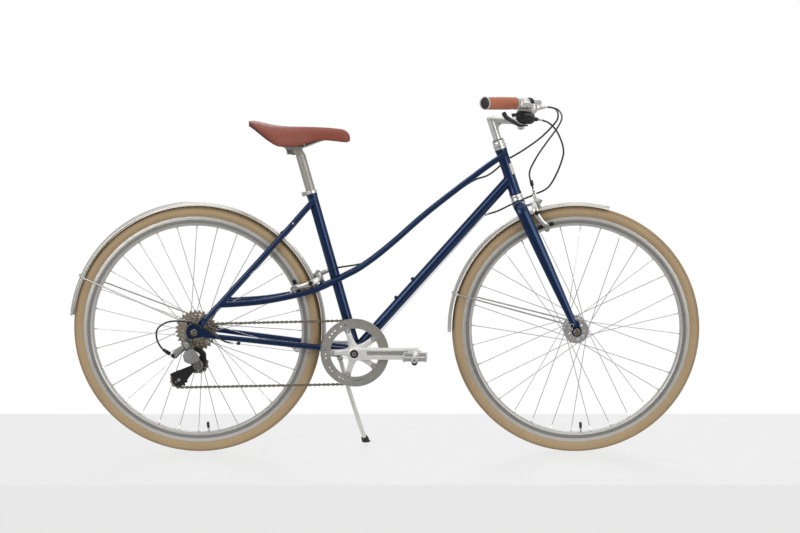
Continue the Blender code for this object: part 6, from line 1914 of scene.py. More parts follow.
@dataclass
class ChainDrive:
    """Chainring, guard ring, chain, sprockets, cranks and pedals."""

    guard_outer: float = 95.0
    guard_inner: float = 67.5
    arm_reach: float = 170.0
    hub_half: float = 16.5
    pedal_half: float = 18.0
    waist: float = 1.1
    spider_count: int = 5
    bolt_circle: float = 65.0
    guard_line: float = 53.8
    spider_line: float = 50.6
    rib_line: float = 53.0

    def build(self) -> None:
        """Makes the pieces."""
        self.ring()
        self.guard()
        self.cassette()
        self.chain()
        for side in (RIGHT, LEFT):
            self.crank(side)
            self.pedal(side)

    def spider_angles(self) -> list[float]:
        """The spider arms' angles."""
        return [180.0 + 360.0 / self.spider_count * i for i in range(self.spider_count)]

    def tabs(self, inner: float, reach: float) -> list:
        """A ring's inner edge with a tab at each spider arm.

        Args:
            inner: the edge's radius between the tabs.
            reach: a tab's half width.
        Returns:
            The closed edge.
        """
        made = []
        bolt = self.bolt_circle
        step = 360.0 / self.spider_count
        for angle in self.spider_angles():
            for i in range(7):
                turn = math.radians(angle - step / 2 + (step / 2 - 9.5) * i / 6)
                made.append((inner * math.cos(turn), inner * math.sin(turn)))
            u = (math.cos(math.radians(angle)), math.sin(math.radians(angle)))
            low = bolt - reach * 0.55
            tab = (
                (bolt + 1, -reach), (low, -reach * 0.8), (bolt - reach, 0), (low, reach * 0.8),
                (bolt + 1, reach)
            )
            for rise, off in tab:
                made.append((u[0] * rise - u[1] * off, u[1] * rise + u[0] * off))
            for i in range(6):
                turn = math.radians(angle + 9.5 + (step / 2 - 9.5) * i / 6)
                made.append((inner * math.cos(turn), inner * math.sin(turn)))
        return made

    def spots(self, radius: float) -> list[tuple[float, float]]:
        """Places at one radius on each spider arm."""
        turns = [math.radians(angle) for angle in self.spider_angles()]
        return [(radius * math.cos(a), radius * math.sin(a)) for a in turns]

    def ring(self) -> None:
        """The toothed chainring."""
        shape = Shape()
        place = side_frame(BRACKET - Y * CHAIN_LINE)
        holes = [self.tabs(71.0, 9.0)]
        shape.plate(toothed(RING_TEETH), 2.6, place, [*holes, *self.slots()], 0.7)
        shape.build("chainring_toothed", Tint.GREY, "crankset", ["chainring"])

    def slots(self) -> list:
        """The short slots through the guard ring and the chainring behind it.

        Returns:
            Their closed edges.
        """
        made = []
        for turn in (110, 117.5, 132.5, 140.5, 148.5, 177, 184, 191, 211, 219, 238, 246, 255):
            outer = arc(83.2, turn - 2.3, turn + 2.3, 4)
            inner = arc(79.9, turn + 2.3, turn - 2.3, 4)
            made.append(fillet([*outer, *inner], 0.9, True, 2))
        return made

    def guard(self) -> None:
        """The grey guard ring with its slots and bolts, and two thin raised dark lines that stand for
        grooves as painted shade.
        """
        shape = Shape()
        middle = BRACKET - Y * self.guard_line
        place = side_frame(middle)
        holes = [self.tabs(self.guard_inner, 8.5)]
        holes += self.slots()
        shape.plate(circle(self.guard_outer, sides=120), 2.4, place, holes, 0.7)
        rim = ((3.6, 1.0), (3.0, 1.9), (0.6, 1.9), (0.0, 1.0), (0.4, 0.0), (3.6, 0.0))
        shape.revolve([(self.guard_outer - r, h) for r, h in rim], middle, -Y, 120, ring=True)
        # two thin raised lines in darker grey: painted shade of grooves
        shape.ink = 2
        for start, sweep in ((262.0, 42.0), (203.0, 24.0)):
            groove = arc(77.5, start, start + sweep, 20)
            route = [BRACKET + Vector((x, -55.1, z)) for x, z in groove]
            shape.tube(route, [0.15 + 0.75 * math.sin(math.pi * i / 20) for i in range(21)], 8)
        shape.ink = 1
        for x, z in self.spots(self.bolt_circle):
            shape.bolt(BRACKET + Vector((x, -55.0, z)), -Y, 4.6, 1.6, 2.2)
        finishes = (Tint.RING, Tint.BRIGHT, Tint.GREY)
        shape.build("guard_ring_slotted", finishes, "crankset", ["chain_guard_ring"])

    def cassette(self) -> None:
        """Eight sprockets with drilled webs, spacers and a lockring."""
        shape = Shape()
        for i, teeth in enumerate(SPROCKET_TEETH):
            spot = REAR_AXLE - Y * (SPROCKET_LINE - SPROCKET_GAP * i)
            radius = pitch_radius(teeth)
            holes = [circle(16.9, sides=36)]
            if radius > 38.0:
                size = (radius - 30.0) / 2
                middle = (20.0 + radius) / 2
                slot = [(middle + u, v) for u, v in oblong(size * 1.3, middle * 0.62, size * 0.55)]
                for k in range(6):
                    a = math.radians(60.0 * k + 12.0 * i)
                    c, d = math.cos(a), math.sin(a)
                    holes.append([(c * u - d * v, d * u + c * v) for u, v in slot])
            shape.ink = 0
            shape.plate(toothed(teeth, 2.1, 3.9, 5.0 * i), 1.8, side_frame(spot), holes, 0.5)
            if i:
                shape.ink = 1
                shape.revolve([(17.2, 0.9), (20.0, 0.9), (20.0, 3.9), (17.2, 3.9)], spot, -Y, 36, ring=True)
        shape.ink = 2
        face = REAR_AXLE - Y * (SPROCKET_LINE + 0.9)
        rows = [
            (9.4, -5.0), (16.8, -5.0), (17.4, 0.0), (17.4, 1.6), (16.2, 2.3), (12.0, 2.3), (11.2, 1.4),
            (9.4, 1.4)
        ]
        shape.revolve(rows, face, -Y, 48, ring=True)
        for i in range(12):
            notch = around(face - Y * 1.6, 10.6, 30.0 * i)
            shape.block(side_frame(notch, 30.0 * i), (1.8, 2.2, 1.4), 0.4, 0.2)
        shape.build("sprockets_toothed", (Tint.COGS, Tint.GREY, Tint.GREY), "sprockets", ["cassette"])

    def chain(self) -> None:
        """The chain, link by link along its path."""
        shape = Shape()
        line = chain_route()
        lengths = [0.0]
        for a, b in zip(line, [*line[1:], line[0]]):
            lengths.append(lengths[-1] + (b - a).length)
        total = lengths[-1]
        count = 2 * round(total / PITCH / 2)
        closed = [*line, line[0]]

        def at(distance: float) -> Vector:
            """The point at a distance along the chain.

            Args:
                distance: how far along.
            Returns:
                The point.
            """
            distance %= total
            i = int(np.searchsorted(lengths, distance, side="right")) - 1
            i = min(i, len(lengths) - 2)
            span = lengths[i + 1] - lengths[i]
            return closed[i].lerp(closed[i + 1], (distance - lengths[i]) / span)

        pins = [at(total * i / count) for i in range(count)]
        for i, pin in enumerate(pins):
            after = pins[(i + 1) % count]
            way = (after - pin).normalized()
            out = Y - way * Y.dot(way)
            span = (after - pin).length
            wide = 3.2 if i % 2 else 2.1
            outline = []
            for x, half in ((0.0, True), (span, False)):
                turns = (90, 270) if half else (-90, 90)
                outline += arc(3.7, turns[0] - 22, turns[1] + 22, 6, (x - span / 2, 0.0))
                outline += [(0.0, -1.6 if half else 1.6)]
            for face in (-1, 1):
                spot = aim(pin.lerp(after, 0.5) + out.normalized() * face * wide, out, way)
                shape.ink = 0
                shape.plate(outline, 0.95, spot, soft=0.25)
            shape.ink = 1
            shape.rod(pin - out.normalized() * 3.95, pin + out.normalized() * 3.95, 1.75, sides=8, soft=0.3)
            shape.ink = 0
            shape.rod(pin - out.normalized() * 1.6, pin + out.normalized() * 1.6, 3.6, sides=10, soft=0.3)
        shape.build("chain_links", (Tint.CHAIN, Tint.STEEL), "frame", ["chain"])

    def crank(self, side: int) -> None:
        """One crank arm; the right one carries the spider.

        Args:
            side: RIGHT or LEFT.
        """
        shape = Shape()
        pedal = BRACKET + X * (1 if side == RIGHT else -1) * self.arm_reach
        root = BRACKET + Y * side * 66.0
        self.crank_arm(shape, side)
        if side == RIGHT:
            self.spider(shape)
        else:
            turned = [(0, 58.8), (12.6, 58.8), (13.4, 59.6), (14.0, 64.0), (15.0, 68.0)]
            shape.revolve(turned, BRACKET, Y, 56)
        turned = [(8.5, -1.0), (11.6, -1.0), (11.8, 0.2), (11.2, 0.9), (8.5, 0.9)]
        shape.revolve(turned, pedal + Y * side * 79, Y * side, 40, ring=True)
        shape.ink = 1
        turned = [(0, 12.6), (11.6, 12.6), (11.6, 13.8), (10.8, 14.6), (7.2, 14.8), (6.4, 13.6), (0, 13.6)]
        shape.revolve(turned, root, Y * side, 40)
        shape.ink = 2
        shape.bolt(root + Y * side * 13.0, Y * side, 6.2, 1.6, 3.2)
        axle = pedal + Y * side * 77
        turned = [(0, 0), (8.4, 2.0), (8.5, 2.5), (8.5, 8.4), (7.6, 9.0), (6.0, 9.2), (6.0, 112), (0, 112)]
        shape.revolve(turned, axle, Y * side, 28)
        name = SIDE_NAMES[side]
        finishes = (Tint.ARM, Tint.BLACK, Tint.STEEL, Tint.RING)
        shape.build(f"crank_{name}_forged", finishes, "crankset", [f"crank_{name}"])

    def crank_arm(self, shape: Shape, side: int) -> None:
        """The arm's body, with a groove along its outer face whose deepest faces are darker, as painted
        shade.

        Args:
            shape: the shape they are drawn into.
            side: RIGHT or LEFT.
        """
        length = self.arm_reach
        u = X * (1 if side == RIGHT else -1)
        rows = []
        count = 40
        for i in range(count + 1):
            x = -self.hub_half + i / count * (length + self.hub_half + self.pedal_half)
            if x < 0:
                half = math.sqrt(max(self.hub_half**2 - x * x, 1.2))
            elif x > length:
                half = math.sqrt(max(self.pedal_half**2 - (x - length) ** 2, 1.2))
            else:
                waist = math.sin(math.pi * min(max(x / length, 0), 1)) ** 0.7
                half = self.hub_half + (self.pedal_half - self.hub_half) * x / length - self.waist * waist
            begun = min(max((x - 18.0) / 30.0, 0.0), 1.0)
            groove = 2.4 * begun * min(max((length - 20.0 - x) / 6.0, 0.0), 1.0)
            rows.append((x, half, groove))
        inner, outer = 66.4, 78.9
        rings = []
        for x, half, groove in rows:
            bevel = min(2.2, half * 0.5)
            face = [
                (-half + bevel, outer - 0.9), (-half * 0.6, outer), (-half * 0.25, outer - groove * 0.45)
            ]
            face += [
                (half * 0.1, outer - groove), (half * 0.45, outer - groove * 0.7), (half * 0.66, outer),
                (half - bevel, outer - 0.6)
            ]
            face += [
                (half, outer - bevel), (half, inner + bevel), (half - bevel, inner), (-half + bevel, inner)
            ]
            face += [(-half, inner + bevel), (-half, outer - bevel)]
            rings.append([BRACKET + u * x + Y * side * y + Z * z for z, y in face])
        shape.skin(rings)
        # the groove's deepest faces take the darker ring alloy: painted shade
        edges = len(rings[0])
        for index in range(count * edges):
            if index % edges in (2, 3) and rows[index // edges][2] > 1.2:
                shape.inks[index] = 3

    def spider(self, shape: Shape) -> None:
        """The right crank's five arms, its hub and the bracket's axle.

        Args:
            shape: the shape they are drawn into.
        """
        for angle in self.spider_angles():
            way = side_frame(BRACKET - Y * self.spider_line, angle)
            half = [
                (8, 20.0), (15, 15.5), (21, 12.4), (28, 10.0), (36, 8.6), (46, 7.9), (56, 8.0), (65, 8.6)
            ]
            outline = [(a, -b) for a, b in half] + arc(8.6, -62, 62, 10, (65.5, 0.0))
            outline += [(a, b) for a, b in reversed(half)]
            shape.plate(outline, 3.2, way, soft=1.1)
            rib = [(10, 13.0), (20, 9.0), (32, 6.2), (46, 4.9), (55, 4.0), (58, 0)]
            rib = [(a, -b) for a, b in rib] + [(a, b) for a, b in reversed(rib[:-1])]
            shape.plate(rib, 5.2, side_frame(BRACKET - Y * self.rib_line, angle), soft=2.0)
        turned = [(0, 49.5), (19.5, 49.5), (20.5, 51.5), (18.0, 55.0), (16.0, 60.0), (15.4, 68.0)]
        shape.revolve(turned, BRACKET, -Y, 56)
        shape.rod(BRACKET - Y * 58, BRACKET + Y * 58, 8.2, soft=0.8)

    def pedal(self, side: int) -> None:
        """One cage pedal with toothed plates and a black block under its body only.

        Args:
            side: RIGHT or LEFT.
        """
        shape = Shape()
        ahead = 1 if side == RIGHT else -1
        centre = BRACKET + X * ahead * self.arm_reach
        low, high = 86.6, 178.0
        middle = (low + high) / 2
        teeth = []
        for i in range(12):
            x = -44.0 + i * 8.0
            teeth += [(x - 2.6, 5.4), (x - 1.2, 7.4), (x + 1.2, 7.4), (x + 2.6, 5.4)]
        bar = [
            (-45.6, 5.0), *teeth, (45.6, 5.0), (45.6, -5.0), *[(-x, -z) for x, z in teeth], (-45.6, -5.0)
        ]
        bar = [(x, z) for x, z in bar if abs(x) <= 45.7]
        slots = []
        for i in range(4):
            slots.append([(x - 33.0 + i * 22.0, z) for x, z in oblong(14.0, 3.8, 1.8)])
        for end in (-1, 1):
            spot = aim(centre + X * end * 30.5 + Y * side * middle, X * end, Y * side)
            shape.plate(bar, 2.6, spot, slots, 0.5)
        for y in (low + 4.0, high - 4.0):
            curve = [
                centre + Vector((x, side * y, z)) for x, z in ((-30, 0), (-18, 0), (0, 0), (18, 0), (30, 0))
            ]
            sizes = [(2.2, 6.6), (2.6, 5.8), (3.0, 7.2), (2.6, 5.8), (2.2, 6.6)]
            shape.tube(curve, sizes, 16, section=oblong(2, 2, 0.5), hint=Y)
        shape.ink = 1
        barrel = [(6.3, low + 2.2), (10.2, low + 2.4), (10.8, low + 8), (8.4, low + 20), (8.4, high - 18)]
        barrel += [(9.6, high - 8), (9.4, high - 1), (6.3, high - 0.6)]
        shape.revolve(barrel, centre, Y * side, 40, ring=True)
        # a black block with ribs under the body only, none on top
        shape.ink = 2
        spot = aim(centre + Y * side * middle - Z * 9.6, -Z, X)
        shape.block(spot, (17.0, 56.0, 5.4), 5.0, 1.6)
        for i in range(5):
            rib = aim(centre + Y * side * (middle - 20 + i * 10) - Z * 12.4, -Z, X)
            shape.block(rib, (13.0, 3.2, 1.4), 1.2, 0.5)
        low_end = centre - Z * 6.5 + Y * side * 182.0
        shape.rod(low_end, low_end + Y * side * 7.2, 8.4, soft=1.2)
        shape.ink = 1
        cap = [
            (1.6, 190.4), (2.0, 189.4), (8.6, 189.4), (9.0, 190.2), (8.8, 191.6), (6.0, 192.3),
            (2.2, 192.3), (1.6, 190.4)
        ]
        shape.revolve(cap, centre, Y * side, 32)
        name = SIDE_NAMES[side]
        finishes = (Tint.SILVER, Tint.CAST, Tint.RUBBER)
        shape.build(f"pedal_{name}_cage", finishes, f"pedal_{name}_body", [f"pedal_{name}"])


@dataclass
class Derailleur:
    """The rear derailleur on its hanger."""

    outlet: Vector
    outlet_way: Vector
    pivot: Vector
    link_way: Vector
    link_axis: Vector
    reach: float = 36.0
    lean: float = 12.0

    def build(self) -> None:
        """Makes the pieces."""
        self.bracket()
        self.link()
        self.knuckle()
        self.cage()
        for name, centre in (("guide_pulley", GUIDE_PULLEY), ("tension_pulley", TENSION_PULLEY)):
            self.pulley(name, centre)

    @property
    def end(self) -> Vector:
        """The middle of the lower pin."""
        turn = math.radians(self.lean)
        return self.pivot + self.link_way * self.reach * math.cos(turn) - Y * self.reach * math.sin(turn)

    def ears(self, shape: Shape, spot: Vector) -> None:
        """Two ears that hold a pin.

        Args:
            shape: the shape they are drawn into.
            spot: the pin's middle.
        """
        for face in (-1, 1):
            base = spot + self.link_axis * face * 5.2
            turned = [(0, 0), (6.6, 0), (7.0, 0.6), (7.0, 4.2), (6.2, 4.9), (0, 4.9)]
            shape.revolve(turned, base, self.link_axis * face, 28)

    def bracket(self) -> None:
        """The upper knuckle with its pivot bolt and cable adjuster."""
        shape = Shape()
        outer = Vector((HANGER.x, -70.4, HANGER.z))
        turned = [
            (0, 0), (9.6, 0), (10.4, 0.8), (10.6, 6), (10.2, 15), (9.4, 17.6), (8.4, 18.0), (5.4, 18.0)
        ]
        shape.revolve(turned, outer, -Y, 44)
        arm = [outer - Y * 9, outer.lerp(self.pivot, 0.55) - Y * 8, self.pivot - self.link_way * 8]
        line = smooth_route(arm, 3.0)
        shape.tube(line, [(8.6, 9.0)] * len(line), 24, section=oblong(2, 2, 0.7), hint=Y)
        self.ears(shape, self.pivot)
        shape.block(aim(self.pivot - self.link_way * 8.6, self.link_way, Y), (11.0, 19.6, 5.0), 3.0, 1.0)
        end = self.outlet + self.outlet_way * 14
        lug = [
            outer - Y * 10 + Vector((0, 0, -2)), end.lerp(outer, 0.45) - Y * 5, end - self.outlet_way * 1.5
        ]
        shape.tube(smooth_route(lug, 3.0), 4.8, 20)
        shape.ink = 1
        rows = [
            (2.7, 0.4), (3.4, 0.4), *knurl(6, 1.6, (5.3, 1.6), (4.7, 2.4)), (4.2, 12.4), (4.2, 14.5),
            (2.7, 14.5)
        ]
        shape.revolve(rows, self.outlet, self.outlet_way, 28, ring=True)
        shape.ink = 3
        flank = [
            (-458, 318), (-481, 309), (-497, 296), (-503, 286), (-493, 279), (-482, 283), (-477, 291),
            (-465, 297)
        ]
        flank += [(-451, 299), (-449, 308)]
        shape.plate(fillet(flank, 3.0, True, 3), 7.0, side_frame((0.0, -80.0, 0.0)), soft=1.6)
        shape.ink = 2
        turned = [(0, 0), (7.0, 0), (7.4, 0.6), (7.4, 2.6), (6.6, 3.4), (0, 3.4)]
        shape.revolve(turned, outer - Y * 16.4, -Y, 32)
        shape.bolt(outer - Y * 18.4, -Y, 4.6, 2.0, 2.6)
        for z in (0.0, 6.5):
            seat = outer + Vector((-9.0, -11.0, -5.0 - z))
            shape.bolt(seat, (-1, 0, -0.2), 2.2, 2.2, 1.1)
        finishes = (Tint.GREY, Tint.SATIN, Tint.STEEL, Tint.RING)
        shape.build("derailleur_upper_knuckle", finishes, "derailleur_mount", ["derailleur_bracket"])

    def link(self) -> None:
        """The parallelogram between the knuckles."""
        shape = Shape()
        way = (self.end - self.pivot).normalized()
        across = self.link_axis.cross(way).normalized()
        middle = self.pivot.lerp(self.end, 0.5)
        outline = [
            (-21, -4.6), (-14, -6.0), (10, -5.4), (21, -4.2), (21, 4.2), (8, 5.6), (-14, 5.0), (-21, 4.2)
        ]
        shape.plate(fillet(outline, 3, True, 4), 9.4, aim(middle, self.link_axis, way), soft=1.4)
        shape.ink = 1
        cover = [
            (-14, -24), (2, -29), (14, -22), (22, -8), (24, 9), (6, 14), (-14, 11), (-21, 2), (-20, -14)
        ]
        cover = fillet(cover, 3.4, True, 4)
        out = across if across.y < 0 else -across
        shape.plate(cover, 4.2, aim(middle + out * 6.6, out, way), soft=1.7)
        shape.ink = 0
        for spot in (self.pivot, self.end):
            shape.rod(spot - self.link_axis * 5.0, spot + self.link_axis * 5.0, 6.3, sides=28, soft=0.5)
        finishes = (Tint.SATIN, Tint.GREY)
        shape.build("derailleur_parallelogram", finishes, "derailleur_links", ["derailleur_link"])

    def knuckle(self) -> None:
        """The lower knuckle, which holds the cage's spring."""
        shape = Shape()
        inner = GUIDE_PULLEY - Y * 9.0
        rows = [
            (0, 0), (12.8, 0), (14.0, 0.9), (14.3, 5), (14.3, 13), (13.2, 18.0), (11.0, 19.8), (6.4, 20.0),
            (6.0, 19.0), (0, 19.0)
        ]
        shape.revolve(rows, inner, -Y, 48)
        self.ears(shape, self.end)
        shape.block(aim(self.end + self.link_way * 8.6, self.link_way, Y), (11.0, 19.6, 5.0), 3.0, 1.0)
        arm = [inner - Y * 10, inner.lerp(self.end, 0.6) - Y * 7, self.end + self.link_way * 8]
        line = smooth_route(arm, 3.0)
        shape.tube(line, [(8.0, 8.4)] * len(line), 24, section=oblong(2, 2, 0.7), hint=Y)
        shape.ink = 1
        shape.bolt(inner - Y * 18.6, -Y, 4.6, 1.6, 2.4)
        finishes = (Tint.GREY, Tint.STEEL)
        shape.build("derailleur_lower_knuckle", finishes, "derailleur_knuckle_body", ["derailleur_knuckle"])

    def cage(self) -> None:
        """The pulley cage with cut-out plates."""
        shape = Shape()
        way = (TENSION_PULLEY - GUIDE_PULLEY).normalized()
        length = (TENSION_PULLEY - GUIDE_PULLEY).length
        outline = arc(17.0, 70, 250, 14)
        outline += [(length * 0.3, -9.0), (length * 0.55, -6.4), (length * 0.75, -8.0)]
        outline += arc(11.0, -100, 85, 12, (length, 0.0))
        outline += [(length * 0.75, 8.6), (length * 0.5, 6.6), (length * 0.25, 9.6)]
        slot = [(x + length * 0.5, y) for x, y in oblong(22.0, 6.0, 2.9)]
        shape.plate(outline, 2.1, aim(GUIDE_PULLEY + Y * 7.6, -Y, way), [slot], 0.5)
        outer = [
            (-512, 230), (-486, 199), (-476, 200), (-467, 206), (-457, 222), (-436, 246), (-418, 246),
            (-410, 262)
        ]
        outer += [
            (-409, 286), (-413, 294), (-423, 302.5), (-437, 306), (-448, 300), (-434, 291), (-424, 283),
            (-430, 268)
        ]
        outer += [(-446, 257), (-495, 237)]
        face = side_frame((0.0, GUIDE_PULLEY.y - 7.6, 0.0))
        shape.plate(fillet(outer, 4.0, True, 3), 2.1, face, soft=0.5)
        shape.ink = 1
        for centre in (GUIDE_PULLEY, TENSION_PULLEY):
            shape.rod(centre - Y * 7.4, centre + Y * 7.4, 2.45, soft=0.2)
        shape.bolt(TENSION_PULLEY - Y * 8.4, -Y, 4.4, 2.0, 2.2)
        for centre in (GUIDE_PULLEY, TENSION_PULLEY):
            shape.bolt(centre + Y * 8.4, Y, 4.0, 1.6, 2.0)
        shape.build("derailleur_cage_plates", (Tint.SATIN, Tint.STEEL), "cage_body", ["derailleur_cage"])

    def pulley(self, name: str, centre: Vector) -> None:
        """One toothed pulley.

        Args:
            name: the node it stands for.
            centre: its middle.
        """
        shape = Shape()
        holes = [circle(6.0, sides=24)]
        turns = np.linspace(0, 2 * math.pi, 6)[:-1]
        holes += [circle(1.7, (11.5 * math.cos(a), 11.5 * math.sin(a)), 10) for a in turns]
        shape.plate(toothed(PULLEY_TEETH, 1.2, 4.2), 2.3, side_frame(centre), holes, 0.5)
        shape.ink = 1
        turned = [(2.8, -3.9), (6.4, -3.9), (6.8, -3.4), (6.8, 3.4), (6.4, 3.9), (2.8, 3.9)]
        shape.revolve(turned, centre, -Y, 32, ring=True)
        shape.build(f"{name}_toothed", (Tint.BLACK, Tint.STEEL), f"{name}_body", [name])


@dataclass
class Caliper:
    """A side-pull caliper brake: two arms, their springs, shoes and adjuster."""

    end: str
    place: CaliperPlace
    spread: float = 31.0
    pad_gap: float = 14.0

    def build(self) -> None:
        """Makes both arms."""
        for side in (RIGHT, LEFT):
            self.arm(side)

    def arm(self, side: int) -> None:
        """One arm with its shoe.

        Args:
            side: RIGHT or LEFT.
        """
        shape = Shape()
        p = self.place
        level = p.level(side)
        pad = p.pad + Y * side * self.pad_gap
        start = p.hold() if side == LEFT else level - p.inwards * 2
        route = [start, level + Y * side * 18, level + p.inwards * 14 + Y * side * self.spread]
        route += [level + p.inwards * 34 + Y * side * (self.spread + 3), pad + Y * side * 17]
        line = smooth_route(route, 4.0)
        sizes = []
        for t in shares(line):
            sizes.append((5.4 + 1.8 * math.sin(math.pi * min(t * 1.2, 1.0)) + 1.4 * t, 5.2 - 0.6 * t))
        shape.tube(line, sizes, 24, section=oblong(2, 2, 0.75, 3), hint=p.off)
        shape.rod(level - p.off * 5.35, level + p.off * 5.35, 8.6, sides=36, soft=0.8)
        shape.rod(level, level + Y * side * 18, 5.6, 5.0, sides=20)
        self.hardware(shape, side)
        self.shoe(shape, side)
        name = SIDE_NAMES[side]
        finishes = (Tint.SILVER, Tint.STEEL, Tint.RUBBER, Tint.SATIN)
        shape.build(
            f"{self.end}_caliper_{name}_arm", finishes, f"{self.end}_caliper_{name}_body",
            [f"{self.end}_caliper_{name}"]
        )

    def hardware(self, shape: Shape, side: int) -> None:
        """The nut and the cable's barrel on the left arm; the spring and the cable's clamp on the right one.

        Args:
            shape: the shape they are drawn into.
            side: RIGHT or LEFT.
        """
        p = self.place
        level = p.level(side)
        shape.ink = 1
        out = p.off
        if side == LEFT:
            face = level + out * 5.4
            shape.revolve([(0, 0), (7.8, 0), (8.0, 0.5), (8.0, 1.8), (7.4, 2.2), (0, 2.2)], face, out, 36)
            shape.nut(face + out * 2.2, out, 6.2, 4.4)
            shape.rod(face + out * 6.0, face + out * 9.4, 3.0, sides=20)
            hold = p.hold()
            up = -p.inwards
            shape.revolve([(0, -8), (5.6, -8), (6.0, -7), (6.0, -1), (5.2, 0), (0, 0)], hold, up, 28)
            rows = [(2.7, -3), *knurl(5, 1.6, (4.8, -1), (4.2, -0.2)), (3.6, 7.2), (2.7, 7.2)]
            shape.revolve(rows, hold - up * 6.5, up, 24, ring=True)
        else:
            base = level - out * 3.4
            spring = [
                base + p.inwards * down + Y * side * off for down, off in ((4, 5), (12, 15), (22, 25.5))
            ]
            shape.tube(smooth_route(spring, 4.0), 1.0, 8)
            clamp = level + Y * side * 15 - p.inwards * 2 + out * 5.8
            shape.bolt(clamp, out, 5.2, 4.2, 2.2)
            shape.rod(clamp - out * 1.2, clamp + out * 0.6, 6.4, sides=28, soft=0.4)

    def shoe(self, shape: Shape, side: int) -> None:
        """An arm's brake shoe with its pad, bolt and washer.

        Args:
            shape: the shape they are drawn into.
            side: RIGHT or LEFT.
        """
        p = self.place
        level = p.level(side)
        pad = p.pad + Y * side * self.pad_gap
        seat = pad + Y * side * 5
        shape.rod(pad + Y * side * 10, pad + Y * side * 23.2, 4.2, sides=20)
        turned = [(0, 0), (6.8, 0), (7.0, 0.6), (7.0, 1.6), (0, 2.0)]
        shape.revolve(turned, pad + Y * side * 12, Y * side, 28)
        shape.bolt(pad + Y * side * 20.4, Y * side, 5.4, 4.0, 2.3)
        foot = aim(pad + Y * side * 17.5 + p.inwards * 2.0, Y * side, p.off)
        shape.plate(oblong(14.5, 30.0, 7.0), 6.0, foot, [oblong(6.4, 17.0, 3.1)], 1.2)
        shape.block(aim(seat + Y * side * 4.6, Y * side, p.off), (17.0, 13.0, 6.0), 3.0, 1.2)
        shape.ink = 3
        knob = level + p.inwards * 26.0 + Y * side * (self.spread + 4.0)
        shape.rod(knob, knob + Y * side * 8.0, 6.6, soft=1.2)
        way = aim(seat + Y * side * 2.2, Y * side, p.off)
        shoe = fillet([(-22, -5.4), (22, -5.4), (22, 4.6), (10, 5.2), (-10, 5.2), (-22, 4.6)], 3.0, True, 4)
        shape.plate(shoe, 5.2, way, soft=1.4)
        shape.ink = 2
        way = aim(seat - Y * side * 2.8, Y * side, p.off)
        for i in range(4):
            shape.plate([(x - 16.2 + i * 10.8, z) for x, z in oblong(9.6, 9.6, 1.6)], 4.4, way, soft=0.8)
        back = fillet([(-21, -4.6), (21, -4.6), (21, 4.6), (-21, 4.6)], 2, True)
        shape.plate(back, 2.6, aim(seat - Y * side * 1.2, Y * side, p.off), soft=0.4)


def from_lever(side: int, distance: float) -> Vector:
    """A point ahead of a brake bracket's outlet."""
    return lever_outlet(side) + mirrored(BARREL_WAY, side) * distance


POD_OUTLET = on_bar(SHIFTER_SPOT, RIGHT) + Vector((24.0, 2.0, -43.0))
OUTLET = Vector((-503.0, -84.0, 286.5))
OUTLET_WAY = Vector((0.83, 0.0, -0.56)).normalized()
REAR_BRAKE_ROUTE = (
    from_lever(RIGHT, 0.8),
    from_lever(RIGHT, 20.0),
    (549.0, -165.0, 959.0),
    (556.0, -130.0, 941.0),
    (549.0, -98.0, 922.0),
    (515.0, -56.0, 884.0),
    (470.0, -12.0, 849.0),
    (439.0, 18.0, 829.0),
    (417.0, 27.0, 816.0),
    (395.0, 22.0, 795.0),
    (368.0, 9.0, 776.0),
    (335.0, 1.0, 765.0),
    (300.0, 0.0, 744.0),
    (208.0, 0.0, 678.0),
    (112.8, 0.0, 597.0),
    (55.0, 2.0, 551.0),
    (25.0, 7.0, 533.0),
    (0.0, 13.0, 526.0),
    (-30.0, 18.0, 521.0),
    REAR_CALIPER.hold() - REAR_CALIPER.inwards * 14.0,
    REAR_CALIPER.hold() - REAR_CALIPER.inwards * 0.8,
)
FRONT_BRAKE_ROUTE = (
    from_lever(LEFT, 0.8),
    from_lever(LEFT, 20.0),
    (567.0, 158.0, 959.0),
    (579.0, 108.0, 938.0),
    (566.0, 76.0, 909.0),
    (529.0, 50.0, 860.0),
    (503.0, 36.0, 822.0),
    (485.0, 26.0, 782.0),
    FRONT_CALIPER.hold() - FRONT_CALIPER.inwards * 14.0,
    FRONT_CALIPER.hold() - FRONT_CALIPER.inwards * 0.8,
)
SHIFT_ROUTE = (
    POD_OUTLET + X * 0.8,
    POD_OUTLET + Vector((14.0, 5.0, -3.5)),
    (531.0, -140.0, 923.0),
    (549.0, -108.0, 907.0),
    (563.0, -79.0, 885.0),
    (574.0, -48.0, 857.0),
    (575.5, -24.0, 830.0),
    (560.5, 4.0, 783.0),
    (538.0, 34.0, 742.0),
    (505.0, 60.0, 722.0),
    (470.0, 66.0, 707.0),
    (430.0, 54.0, 690.0),
    (396.0, 22.0, 676.0),
    (362.0, 0.0, 667.0),
    (330.0, 0.0, 632.0),
    (78.0, 0.0, 347.5),
    (40.0, -5.0, 300.0),
    (20.0, -9.0, 268.0),
    (0.0, -11.0, 262.5),
    (-40.0, -17.0, 269.0),
    (-320.0, -50.0, 312.0),
    (-338.0, -57.0, 314.5),
    (-358.0, -68.5, 322.0),
    (-380.0, -76.0, 337.0),
    (-408.0, -80.0, 358.0),
    (-442.0, -80.0, 373.5),
    (-480.0, -82.0, 380.0),
    (-515.0, -84.0, 376.0),
    (-540.0, -84.0, 357.0),
    (-541.0, -84.0, 328.0),
    (-526.0, -84.0, 302.0),
    OUTLET - OUTLET_WAY * 0.8,
)


